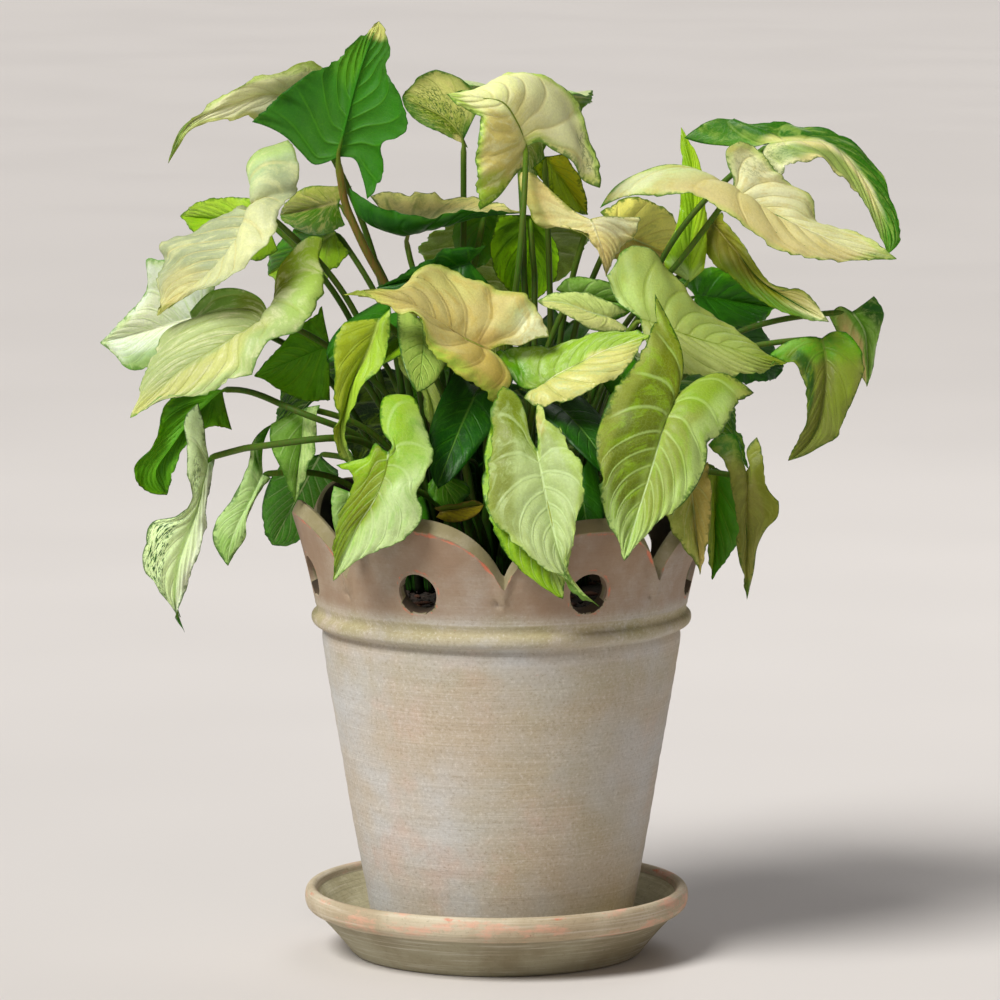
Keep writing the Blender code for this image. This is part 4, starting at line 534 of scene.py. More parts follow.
# ------------------------------------------------------------ the leaves
# Front to back. look names the colouring that the finish may use.
LEAVES = [
    Leaf("leaf_front_centre", True, "mint_olive", (537, 450, -98), (600, 607, -119),
         (503, 386, -80), (537, 403, -88),
         L=[(493, 402, -86), (488, 430, -94), (484, 465, -102), (484, 497, -109), (497, 527, -114), (523, 553, -118), (548, 572, -119), (572, 587, -119)],
         R=[(548, 411, -92), (562, 426, -97), (576, 442, -102), (587, 463, -106), (589, 488, -110), (584, 512, -113), (579, 542, -116), (571, 556, -117), (573, 576, -118), (583, 593, -118)],
         M=[(541, 470, -101), (547, 500, -106), (553, 527, -111), (562, 560, -115), (577, 587, -117)],
         SA=[(530, 436), (525, 412), (516, 394)], SB=[(538, 438), (536, 420)], seed=1),
    Leaf("leaf_front_left", True, "lime", (389, 452, -98), (333, 581, -86),
         (336, 465, -92), (398, 394, -72),
         L=[(346, 474, -94), (349, 495, -94), (340, 511, -92), (332, 528, -90), (331, 552, -88)],
         R=[(413, 396, -76), (424, 415, -82), (432, 440, -89), (438, 461, -95), (432, 481, -100), (420, 492, -103), (423, 513, -106), (405, 539, -106), (380, 553, -103), (356, 566, -96)],
         M=[(384, 475, -101), (374, 500, -101), (360, 522, -97), (345, 553, -91)],
         SA=[(384, 450), (376, 443), (368, 456), (352, 461)],
         SB=[(392, 446), (384, 434), (380, 415), (384, 398)], seed=2),
    Leaf("leaf_front_right", True, "olive_mint", (674, 397, -64), (624, 561, -104),
         (655, 294, -38), (754, 393, -50),
         L=[(651, 325), (640, 352), (617, 380), (603, 415), (594, 445), (596, 480), (606, 518)],
         R=[(741, 402), (730, 418), (721, 435), (707, 444), (708, 460), (700, 480), (684, 503), (664, 525), (643, 543)],
         M=[(665, 420), (657, 450), (647, 485), (636, 520)],
         SA=[(683, 372), (680, 345), (671, 325)],
         SB=[(690, 385), (705, 376), (722, 373), (742, 383)], fold=9, seed=3),
    Leaf("leaf_front_lime", True, "lime", (524, 472, -92), (563, 599, -113),
         (500, 400, -68), (560, 425, -68),
         L=[(487, 440, -84), (485, 505, -104), (495, 537, -110), (511, 563, -112), (527, 580, -113), (545, 592, -113)],
         R=[(575, 470, -92), (575, 520, -106), (570, 570, -111)],
         M=[(534, 510, -102), (547, 555, -110)], SA=[(508, 436)], SB=[(547, 458)], seed=4),
    Leaf("leaf_front_small", True, "mint", (350, 492, -75), (340, 560, -80),
         (334, 486), (368, 488),
         L=[(331, 500), (332, 520)], R=[(370, 520), (358, 545)], fold=4, dome=1.0, seed=5),
    Leaf("leaf_centre_gold", True, "gold", (491, 350, -62), (343, 295, -62),
         (549, 337, -62), (493, 402, -84),
         L=[(543, 313, -52), (530, 296, -46), (505, 290, -42), (480, 276, -38), (455, 269, -36), (432, 265, -38), (414, 273, -44), (400, 288, -52), (375, 288, -58)],
         R=[(470, 389, -86), (448, 370, -86), (431, 354, -84), (425, 337, -82), (413, 319, -78), (394, 312, -74), (370, 300, -68)],
         M=[(470, 340, -62), (440, 324, -62), (405, 307, -62), (375, 296, -63)],
         SA=[(503, 345), (520, 346), (536, 339)], SB=[(503, 362, -66), (511, 381, -76)], seed=6),
    Leaf("leaf_left_folded", True, "olive_green", (380, 318, -55), (354, 466, -55),
         (345, 322), (391, 308),
         L=[(335, 335), (333, 365), (333, 392), (337, 415), (333, 437), (342, 457)],
         R=[(388, 338), (382, 366), (360, 388), (358, 404), (346, 430), (350, 455)],
         M=[(372, 340), (358, 370), (346, 400), (340, 430)], fold=12, dome=1.0, seed=7),
    Leaf("leaf_low_inner", True, "dark", (438, 472, -58), (461, 513, -62),
         (428, 484), (466, 482),
         L=[(428, 494), (440, 506)], R=[(471, 494), (464, 500)], fold=3, dome=0.5, seed=8),
    Leaf("leaf_low_khaki", True, "khaki", (690, 470, -48), (700, 575, -56),
         (668, 480), (708, 462),
         L=[(660, 505), (668, 524), (685, 549), (696, 562)],
         R=[(714, 490), (711, 515), (709, 545)], seed=9),
    Leaf("leaf_centre_point", True, "lime", (538, 389, -52), (650, 335, -54),
         (496, 352, -46), (524, 398, -56),
         L=[(508, 346, -42), (530, 346, -40), (560, 342, -38), (590, 334, -38), (622, 331, -44)],
         R=[(535, 405, -62), (560, 405, -66), (590, 394, -68), (615, 381, -66), (635, 358, -62)],
         M=[(560, 373, -54), (585, 359, -54), (618, 346, -54)],
         SA=[(522, 388), (508, 374)], SB=[(530, 391)], seed=10),
    Leaf("leaf_middle_small", True, "lime", (405, 345, -20), (432, 433, -22),
         (398, 352), (420, 340),
         L=[(399, 368), (412, 384), (422, 395), (425, 415)],
         R=[(434, 355), (442, 370), (440, 384), (442, 400), (446, 410), (440, 422)],
         M=[(417, 372), (430, 398), (434, 416)], seed=11),
    Leaf("leaf_low_left_light", True, "mint", (305, 408, -30), (295, 503, -32),
         (271, 424), (320, 405),
         L=[(270, 440), (281, 470), (290, 492)], R=[(317, 425), (314, 455), (304, 480)], seed=12),
    Leaf("leaf_low_left_small", True, "mint_olive", (263, 474, -32), (228, 566, -34),
         (272, 424), (271, 478),
         L=[(257, 436), (250, 460), (241, 482), (230, 500), (214, 523), (213, 542), (221, 558)],
         R=[(264, 488), (254, 504), (247, 520), (246, 537), (236, 552)],
         M=[(252, 498), (238, 525), (230, 548)],
         SA=[(262, 460), (264, 442)], dome=1.0, fold=4, seed=13),
    Leaf("leaf_right_khaki", True, "khaki", (640, 318, -20), (787, 363, -18),
         (609, 283, -10), (668, 372, -34),
         L=[(611, 262, -2), (632, 246, -1), (655, 252, -1), (675, 275, -1), (700, 306, -2), (728, 327, -4), (748, 338, -8), (768, 355, -13)],
         R=[(700, 380, -32), (725, 378, -30), (742, 381, -27), (765, 374, -22)],
         M=[(680, 332), (715, 343), (750, 354)], SA=[(630, 312), (618, 303)], SB=[(645, 340)], seed=14),
    Leaf("leaf_centre_band", True, "gold", (612, 318, -28), (537, 301, -28),
         (627, 312), (632, 331),
         L=[(610, 301), (595, 295), (576, 292), (552, 293)],
         R=[(612, 332), (590, 329), (574, 320), (560, 313), (546, 308)],
         M=[(590, 312), (565, 303)], fold=3, dome=1.0, seed=15),
    Leaf("leaf_centre_green", True, "green", (570, 297, -14), (640, 305, -16),
         (556, 290), (560, 312),
         L=[(562, 280), (580, 276), (600, 278), (622, 288)], R=[(575, 316), (605, 322), (628, 314)], seed=16),
    Leaf("leaf_left_upper", True, "cream_mint", (262, 210, -20), (157, 316, -28),
         (288, 140, -5), (243, 205, -20),
         L=[(300, 158), (303, 178), (299, 193, -22), (289, 205, -32), (281, 228, -40), (268, 245, -45), (250, 262, -47), (236, 276, -46), (215, 288, -43), (198, 292, -38), (180, 303, -33)],
         R=[(232, 208, -12), (210, 219, -6), (190, 231, -4), (160, 246, -5), (163, 264, -8), (157, 277, -12), (160, 298, -20)],
         M=[(240, 240), (215, 268), (188, 290)],
         SA=[(258, 195), (250, 181), (247, 166), (258, 151), (275, 145)], SB=[(253, 208)], seed=17),
    Leaf("leaf_left_lower", True, "cream_olive", (269, 316, -30), (130, 418, -45),
         (323, 238, -15), (190, 312, -12),
         L=[(322, 255, -17), (327, 275, -22), (326, 290, -28), (318, 303, -34), (308, 325, -42), (297, 333, -46), (280, 338, -49), (268, 343, -51), (258, 362, -53), (254, 375, -54), (240, 383, -54), (225, 390, -54), (205, 398, -53), (185, 404, -52), (165, 405, -50), (148, 411, -48)],
         R=[(187, 333, -14), (163, 338, -18), (156, 350, -22), (145, 368, -27), (137, 395, -35)],
         M=[(240, 333), (215, 348), (180, 370), (150, 397)],
         SA=[(276, 310), (274, 290), (280, 265), (288, 255), (300, 242), (312, 236)],
         SB=[(262, 300), (245, 290), (215, 290)], seed=18),
    Leaf("leaf_left_far", True, "mint", (205, 315, 14), (100, 343, 44),
         (215, 270), (215, 350),
         L=[(180, 262), (149, 256), (147, 284), (128, 312), (112, 327)],
         R=[(180, 365), (146, 368), (131, 370), (112, 353)],
         SA=[(208, 305), (215, 288)], SB=[(210, 328)], seed=19),
    Leaf("leaf_left_hanging", True, "mint_speck", (209, 458, -5), (185, 633, -8),
         (198, 403), (215, 458),
         L=[(184, 418), (186, 445), (185, 470), (187, 498), (175, 515), (152, 523), (143, 548), (144, 570), (158, 590), (171, 606)],
         R=[(212, 480), (208, 500), (206, 520), (202, 550), (192, 575), (184, 597), (179, 615)],
         M=[(203, 490), (190, 530), (178, 570), (176, 603)],
         SA=[(206, 445), (204, 425)], seed=20,
         stalk=((233, 450, -22), (263, 446, -50), (296, 442, -64), (325, 436, -68))),
    Leaf("leaf_left_low_dark", False, "dark", (222, 390, -20), (167, 495, -24),
         (190, 384), (232, 430),
         L=[(165, 405), (158, 432), (150, 450), (134, 470), (138, 486), (150, 493)],
         R=[(212, 428), (196, 440), (182, 455), (176, 470), (172, 484)],
         M=[(195, 415), (172, 445), (155, 475)], seed=21,
         stalk=((259, 391, -32), (284, 408, -44), (320, 422, -50))),
    Leaf("leaf_left_under", False, "green", (330, 345, -10), (254, 376, -12),
         (322, 306), (330, 400),
         L=[(300, 325), (275, 350)], R=[(312, 404), (285, 395)], seed=22),
    Leaf("leaf_centre_peach", True, "peach", (590, 219, -22), (606, 277, -38),
         (521, 172, 6), (640, 217, -12),
         L=[(516, 192), (526, 212), (540, 228), (565, 227), (590, 236), (600, 255)],
         R=[(636, 235), (620, 250), (612, 265)], M=[(597, 235), (604, 255)],
         SA=[(577, 213), (560, 199), (543, 183), (530, 172)], SB=[(605, 216), (622, 217)],
         fold=3, dome=1.0, seed=23),
    Leaf("leaf_upper_dark", True, "dark", (470, 262, -18), (376, 288, -20),
         (486, 246), (490, 285),
         L=[(465, 245), (445, 247), (425, 262), (400, 275)],
         R=[(470, 300), (440, 300), (410, 297)], seed=24),
    Leaf("leaf_top_left_green", False, "bright_dark", (338, 157, -10), (379, 21, -2),
         (252, 122, -5), (367, 199, -15),
         L=[(273, 101), (300, 80), (328, 60), (352, 44), (366, 30)],
         R=[(384, 180), (386, 152), (408, 128), (401, 97), (388, 68), (394, 49)],
         M=[(345, 130), (355, 90), (366, 55)],
         SA=[(325, 163), (315, 165), (300, 152), (285, 137), (265, 126)],
         SB=[(345, 157), (352, 158), (362, 178)], seed=25,
         stalk=((349, 210, -8), (360, 250, -5))),
    Leaf("leaf_top_left_cream", True, "cream", (300, 100, 10), (168, 164, 4),
         (330, 75), (300, 118),
         L=[(315, 62), (283, 70), (255, 73), (232, 84), (212, 104), (190, 117), (176, 140)],
         R=[(280, 126), (262, 124), (248, 117), (230, 123), (205, 124), (190, 131), (178, 148)],
         M=[(270, 94), (235, 103), (205, 113), (185, 126)], seed=26),
    Leaf("leaf_top_centre", True, "cream_gold", (527, 147, -8), (446, 94, 5),
         (480, 210, -28), (600, 188, -20),
         L=[(473, 190, -24), (475, 150, -14), (478, 117, -4), (462, 107, 1)],
         R=[(603, 168, -12), (592, 137, 2), (580, 104, 14), (565, 85, 18), (538, 72, 20), (510, 74, 18), (488, 86, 14), (468, 93, 9)],
         M=[(518, 122), (503, 102), (478, 97)],
         SA=[(526, 160), (513, 177), (497, 198)],
         SB=[(538, 142), (552, 150), (572, 162), (582, 180)], seed=27,
         stalk=((526, 167, -20), (525, 200, -25), (521, 260, -27))),
    Leaf("leaf_upper_edge", False, "cream_dark", (406, 237, 0), (525, 213, 0),
         (349, 188, -20), (370, 196, 20),
         L=[(375, 205, -20), (395, 213, -20), (425, 212, -20), (455, 206, -16), (490, 208, -9)],
         R=[(395, 192, 25), (420, 195, 25), (470, 196, 18), (500, 203, 8)],
         M=[(440, 225), (480, 217)], SA=[(395, 234), (375, 226), (358, 215)], SB=[(395, 225)],
         seed=28, stalk=((405, 258, -2),)),
    Leaf("leaf_top_back", False, "bright_dark", (464, 139, 34), (402, 97, 54),
         (478, 110), (468, 148),
         L=[(476, 92), (462, 76), (441, 69), (420, 76)],
         R=[(455, 142), (437, 132), (421, 124), (409, 114)], M=[(448, 120), (425, 107)],
         dome=1.0, seed=29, stalk=((463, 199, 38), (465, 244, 30))),
    Leaf("leaf_top_olive", True, "olive", (545, 157, 26), (588, 215, 58),
         (532, 168), (562, 154),
         L=[(545, 185), (560, 200), (574, 212)], R=[(576, 168), (586, 192)],
         fold=2, arch=1, dome=0.5, seed=30),
    Leaf("leaf_backlit", False, "bright_dark", (530, 215, 42), (526, 300, 62),
         (498, 215), (545, 225),
         L=[(490, 245), (498, 280), (512, 296)], R=[(558, 250), (556, 280), (540, 297)], seed=31),
    Leaf("leaf_upper_olive", False, "olive_green", (485, 210, 34), (478, 268, 84),
         (456, 212), (506, 214),
         L=[(450, 235), (462, 258)], R=[(504, 235), (494, 258)], seed=32),
    Leaf("leaf_left_behind", True, "bright_green", (268, 222, 24), (180, 216, 74),
         (282, 195), (278, 250),
         L=[(250, 196), (220, 196), (195, 203)], R=[(258, 262), (230, 250), (196, 235)], seed=33),
    Leaf("leaf_back_olive", True, "olive", (338, 203, 34), (280, 215, 92),
         (352, 186), (345, 225),
         L=[(330, 186), (310, 186), (292, 196)], R=[(328, 234), (306, 234), (288, 226)], seed=34),
    Leaf("leaf_mid_olive", True, "olive", (335, 232, 26), (268, 275, 78),
         (322, 213), (350, 252),
         L=[(300, 222), (280, 240), (268, 258)], R=[(330, 275), (305, 290), (282, 288)], seed=35),
    Leaf("leaf_right_cream", True, "cream_beige", (730, 196, -12), (897, 259, -10),
         (740, 141, -8), (600, 208, -15),
         L=[(757, 148, -4), (778, 172, 0), (803, 187, 2), (817, 203, 3), (818, 220, 2), (842, 230, 0), (866, 237, -3), (884, 248, -7)],
         R=[(630, 196, -18), (660, 198, -22), (688, 200, -25), (712, 208, -28), (735, 224, -30), (757, 240, -30), (778, 254, -28), (800, 260, -25), (830, 266, -21), (862, 264, -15)],
         M=[(760, 206), (790, 220), (820, 235), (858, 249)],
         SA=[(733, 180), (727, 165), (726, 150)],
         SB=[(718, 184, -9), (700, 171, -7), (668, 165, -7), (640, 173, -9), (612, 190, -13)], seed=36,
         stalk=((702, 232, 4), (680, 268, 8))),
    Leaf("leaf_right_arch", True, "cream_arch", (770, 142, 14), (888, 254, 5),
         (684, 138, 26), (780, 176, 5),
         L=[(705, 122, 26), (728, 114, 26), (748, 124, 26), (766, 124, 26), (783, 120, 26), (800, 124, 26), (822, 128, 25), (848, 136, 24), (872, 160, 22), (890, 190, 18), (902, 220, 12), (900, 242, 8)],
         R=[(793, 168, 4), (812, 160, 4), (830, 165, 5), (848, 182, 7), (862, 205, 9), (874, 230, 8)],
         M=[(800, 140, 14), (830, 144, 15), (855, 166, 15), (875, 200, 12), (886, 230, 8)],
         SA=[(755, 147), (725, 146), (700, 143)], SB=[(763, 152), (770, 166)],
         dome=1.0, seed=37),
    Leaf("leaf_right_spear", True, "bright_green", (690, 282, 23), (681, 127, 38),
         (665, 268), (704, 270),
         L=[(664, 252), (675, 230), (680, 205), (680, 180), (680, 155)],
         R=[(708, 240), (708, 208), (704, 180), (697, 155), (689, 138)],
         M=[(690, 245), (694, 205), (692, 165), (686, 140)], fold=3, dome=1.0, seed=38),
    Leaf("leaf_right_gold", True, "gold", (615, 232, 24), (690, 262, 78),
         (600, 212), (606, 255),
         L=[(625, 198), (650, 198), (675, 215), (686, 240)],
         R=[(625, 268), (650, 274), (672, 270)], seed=39),
    Leaf("leaf_right_wavy", True, "olive_cream", (712, 222, 3), (829, 322, 2),
         (722, 212), (702, 240),
         L=[(733, 228), (748, 248), (760, 270), (782, 288), (806, 291), (818, 304)],
         R=[(712, 264), (733, 280), (755, 298), (778, 312), (805, 320)],
         M=[(735, 250), (760, 280), (795, 303)], seed=40,
         stalk=((722, 250, 34),)),
    Leaf("leaf_right_droop", True, "olive_mint", (822, 338, 0), (788, 461, -2),
         (769, 355, -4), (846, 332, 0),
         L=[(782, 362), (794, 366), (802, 382), (803, 402), (800, 425), (793, 445)],
         R=[(858, 345), (865, 362), (858, 388), (848, 412), (838, 438), (822, 446), (806, 455)],
         M=[(826, 360), (824, 395), (816, 430), (802, 450)],
         SA=[(808, 337), (787, 342)], SB=[(832, 332)], seed=43),
    Leaf("leaf_right_far", True, "dark_peach", (852, 312, 20), (867, 387, 44),
         (874, 296), (829, 316),
         L=[(884, 312), (880, 330), (876, 350), (873, 370)],
         R=[(838, 334), (850, 352), (858, 372)], M=[(864, 330), (867, 350), (868, 370)],
         SB=[(840, 306)], seed=44),
    Leaf("leaf_right_dark_upper", True, "dark", (695, 295, 22), (775, 308, 66),
         (676, 278), (690, 320),
         L=[(700, 268), (730, 268), (757, 285)], R=[(715, 330), (745, 328), (765, 320)], seed=41),
    Leaf("leaf_right_dark_lower", True, "dark", (705, 335, 34), (784, 366, 80),
         (696, 310), (705, 362),
         L=[(728, 308), (752, 318), (772, 342)], R=[(730, 380), (756, 384), (774, 380)], seed=42),
    Leaf("leaf_low_right_olive", True, "olive", (741, 476, -20), (747, 600, -26),
         (708, 445, -18), (757, 437, -16),
         L=[(720, 462), (728, 480), (733, 505), (737, 535), (738, 556), (743, 575)],
         R=[(764, 455), (769, 480), (779, 503), (778, 516), (766, 529), (758, 545), (754, 570)],
         M=[(744, 500), (747, 540), (746, 572)],
         SA=[(741, 455), (733, 434), (718, 436)], SB=[(750, 465), (747, 450)], seed=45),
    Leaf("leaf_low_right_green", True, "green", (716, 468, 14), (712, 580, 34),
         (704, 476), (735, 476),
         L=[(700, 500), (702, 530), (707, 556)], R=[(740, 500), (740, 540), (728, 562)], seed=46),
    Leaf("leaf_low_left_back", True, "dark", (320, 455, 64), (272, 545, 94),
         (290, 455), (338, 470),
         L=[(270, 480, 76), (262, 510, 86), (264, 530, 91)], R=[(332, 505, 86), (314, 532, 92), (292, 546, 94)], seed=47),
]
DRY = Leaf("leaf_dry", True, "dry", (440, 512, -72), (484, 505, -66),
           (434, 508), (436, 517),
           L=[(445, 505), (460, 503), (474, 500)], R=[(448, 522), (464, 521), (478, 514)],
           fold=2, dome=0.8, seed=48, bare=True)
BACK = [
    Grown("leaf_back_high", "cream_mint", (10, 52, 424), 84, -14, 6, 84, 82, droop=30, seed=51,
          stalk=((11, 44, 402), (13, 29, 376), (15, 26, 340))),
    Grown("leaf_back_left", "lime", (-62, 64, 298), 134, -22, -6, 86, 82, droop=26, seed=52),
    Grown("leaf_back_right", "olive_mint", (75, 75, 286), 44, -24, 8, 86, 82, droop=26, seed=53),
    Grown("leaf_back_mid", "mint_olive", (4, 72, 344), 94, -34, 0, 88, 88, droop=22, seed=54),
    Grown("leaf_back_low_left", "green", (-42, 84, 264), 116, -50, 5, 78, 76, droop=8, seed=55),
    Grown("leaf_back_low_right", "khaki", (32, 90, 256), 74, -52, -6, 80, 76, droop=8, seed=56),
]


# ------------------------------------------------------------ small helpers
def lin(rgb):
    """A colour given in 0..255 as the eye reads it, as linear light."""
    c = np.asarray(rgb, float) / 255.0
    return np.where(c <= 0.04045, c / 12.92, ((c + 0.055) / 1.055) ** 2.4)


def step(a, b, x):
    t = np.clip((x - a) / (b - a), 0.0, 1.0)
    return t * t * (3 - 2 * t)


def _hash(i, j, k, seed):
    n = (i.astype(np.int64) * 73856093) ^ (j.astype(np.int64) * 19349663) ^ (
        k.astype(np.int64) * 83492791) ^ (seed * 2654435761)
    n = (n ^ (n >> 13)) * 1274126177
    n = (n ^ (n >> 16)) & 0xFFFFFF
    return n / float(0xFFFFFF) * 2.0 - 1.0


def noise(p, seed=0):
    """Smooth value noise, -1..1, of points (..., 3)."""
    p = np.asarray(p, float)
    f = np.floor(p)
    t = p - f
    t = t * t * (3 - 2 * t)
    out = 0.0
    for a in (0, 1):
        for b in (0, 1):
            for c in (0, 1):
                w = (
                    (t[..., 0] if a else 1 - t[..., 0])
                    * (t[..., 1] if b else 1 - t[..., 1])
                    * (t[..., 2] if c else 1 - t[..., 2])
                )
                out = out + w * _hash(f[..., 0] + a, f[..., 1] + b, f[..., 2] + c, seed)
    return out


def put(mesh, name, kind, values):
    """A point attribute of the mesh."""
    att = mesh.attributes.new(name, kind, "POINT")
    key = {"FLOAT": "value", "FLOAT_VECTOR": "vector", "FLOAT_COLOR": "color"}[kind]
    att.data.foreach_set(key, np.asarray(values, np.float32).ravel())


class Skin:
    """A mesh gathered from sheets and tubes, with point attributes and a map."""

    def __init__(self):
        self.p, self.faces, self.uv = [], [], []
        self.att = {}
        self.n = 0

    def points(self, p, **att):
        p = np.asarray(p, float).reshape(-1, 3)
        first = self.n
        self.p.append(p)
        for k, v in att.items():
            self.att.setdefault(k, []).append(np.asarray(v, float).reshape(len(p), -1))
        self.n += len(p)
        return first

    def quads(self, idx, uv):
        """idx (m, 4) corners, uv (m, 4, 2)."""
        self.faces.append(np.asarray(idx))
        self.uv.append(np.asarray(uv, float))

    def build(self, name, merge=0.0):
        p = np.concatenate(self.p) * 0.001
        faces = np.concatenate(self.faces)
        uv = np.concatenate(self.uv)
        att = {k: np.concatenate(v) for k, v in self.att.items()}
        if merge:
            key = np.round(p / merge).astype(np.int64)
            _, first, back = np.unique(key, axis=0, return_index=True, return_inverse=True)
            back = back.reshape(-1)
            order = np.argsort(first)
            rank = np.empty(len(first), int)
            rank[order] = np.arange(len(first))
            p = p[first[order]]
            att = {k: v[first[order]] for k, v in att.items()}
            faces = rank[back][faces]
        polys, coords, seen_faces = [], [], set()
        for f, c in zip(faces.tolist(), uv.tolist()):
            q, w = [], []
            for i, x in zip(f, c):
                if i not in q:
                    q.append(i)
                    w.append(x)
            if len(q) < 3:
                continue
            key = frozenset(q)
            if key in seen_faces:
                continue
            seen_faces.add(key)
            polys.append(q)
            coords.extend(w)
        mesh = bpy.data.meshes.new(name)
        mesh.from_pydata(p.tolist(), [], polys)
        layer = mesh.uv_layers.new(name="OFBake")
        layer.data.foreach_set("uv", np.asarray(coords, np.float32).ravel())
        kinds = {1: "FLOAT", 3: "FLOAT_VECTOR", 4: "FLOAT_COLOR"}
        for k, v in att.items():
            put(mesh, k, kinds[v.shape[1]], v)
        mesh.shade_smooth()
        obj = bpy.data.objects.new(name, mesh)
        bpy.context.scene.collection.objects.link(obj)
        return obj


def sheet_quads(rows, cols, first=0, flip=False):
    i = np.arange((rows - 1) * (cols - 1))
    r, c = i // (cols - 1), i % (cols - 1)
    a = first + r * cols + c
    q = np.stack((a, a + 1, a + cols + 1, a + cols), -1)
    return q[:, ::-1] if flip else q


def tube(skin, path, radii, sides, strip, closed=True, flat=0.0, wing=None, **att):
    """A round tube along a path (n, 3) in mm, strip = its place in the map
    (y0, y1). wing widens it, seen from outside the pot, as a sheath does. att
    values are per ring."""
    n = len(path)
    tangent = np.gradient(path, axis=0)
    tangent /= np.maximum(np.linalg.norm(tangent, axis=1, keepdims=True), 1e-9)
    axis = np.array((0.31, 0.77, 0.55))
    side = np.cross(tangent[0], axis)
    side /= np.linalg.norm(side)
    sides_at = []
    for t in tangent:
        side = side - t * (side @ t)
        side /= max(np.linalg.norm(side), 1e-9)
        sides_at.append(side)
    s = np.array(sides_at)
    b = np.cross(tangent, s)
    a = np.linspace(0, 2 * math.pi, sides + 1)[:-1]
    r = np.asarray(radii)[:, None] * (1 - flat * np.cos(a)[None] ** 2)
    off = r[..., None] * (
        np.cos(a)[None, :, None] * s[:, None] + np.sin(a)[None, :, None] * b[:, None])
    if wing is not None:
        outward = path * np.array((1.0, 1.0, 0.0)) + np.array((0.01, 0.0, 0.0))
        w = np.cross(tangent, outward)
        w /= np.maximum(np.linalg.norm(w, axis=1, keepdims=True), 1e-9)
        reach = np.einsum("nkd,nd->nk", off, w)
        off = off + (wing[:, None] * reach)[..., None] * w[:, None]
    ring = path[:, None] + off
    p = ring.reshape(-1, 3)
    each = {k: np.repeat(np.asarray(v, float).reshape(n, -1), sides, axis=0) for k, v in att.items()}
    first = skin.points(p, **each)
    i = np.arange((n - 1) * sides)
    k, c = i // sides, i % sides
    d = (c + 1) % sides
    q = np.stack((first + k * sides + c, first + k * sides + d,
                  first + (k + 1) * sides + d, first + (k + 1) * sides + c), -1)
    y0, y1 = strip
    x = 0.01 + 0.98 * np.arange(n) / (n - 1)
    ya, yb = y0 + (y1 - y0) * c / sides, y0 + (y1 - y0) * (c + 1) / sides
    uv = np.stack((np.stack((x[k], ya), -1), np.stack((x[k], yb), -1),
                   np.stack((x[k + 1], yb), -1), np.stack((x[k + 1], ya), -1)), 1)
    skin.quads(q, uv)
    if closed:
        for at, turn in ((0, 1), (n - 1, 0)):
            last = {k: v[at * sides:at * sides + 1] for k, v in each.items()}
            mid = skin.points(path[at][None], **last)
            j = np.arange(sides)
            ring_i = first + at * sides + j
            ring_j = first + at * sides + (j + 1) % sides
            m = np.full(sides, mid)
            q = np.stack((ring_j, ring_i, m, m) if turn else (ring_i, ring_j, m, m), -1)
            xa = x[at] + (-0.004 if turn else 0.004)
            uv = np.stack((
                np.stack((np.full(sides, x[at]), y0 + (y1 - y0) * (j + (1 if turn else 0)) / sides), -1),
                np.stack((np.full(sides, x[at]), y0 + (y1 - y0) * (j + (0 if turn else 1)) / sides), -1),
                np.stack((np.full(sides, xa), y0 + (y1 - y0) * (j + 0.5) / sides), -1),
                np.stack((np.full(sides, xa), y0 + (y1 - y0) * (j + 0.5) / sides), -1)), 1)
            skin.quads(q, uv)
    return first


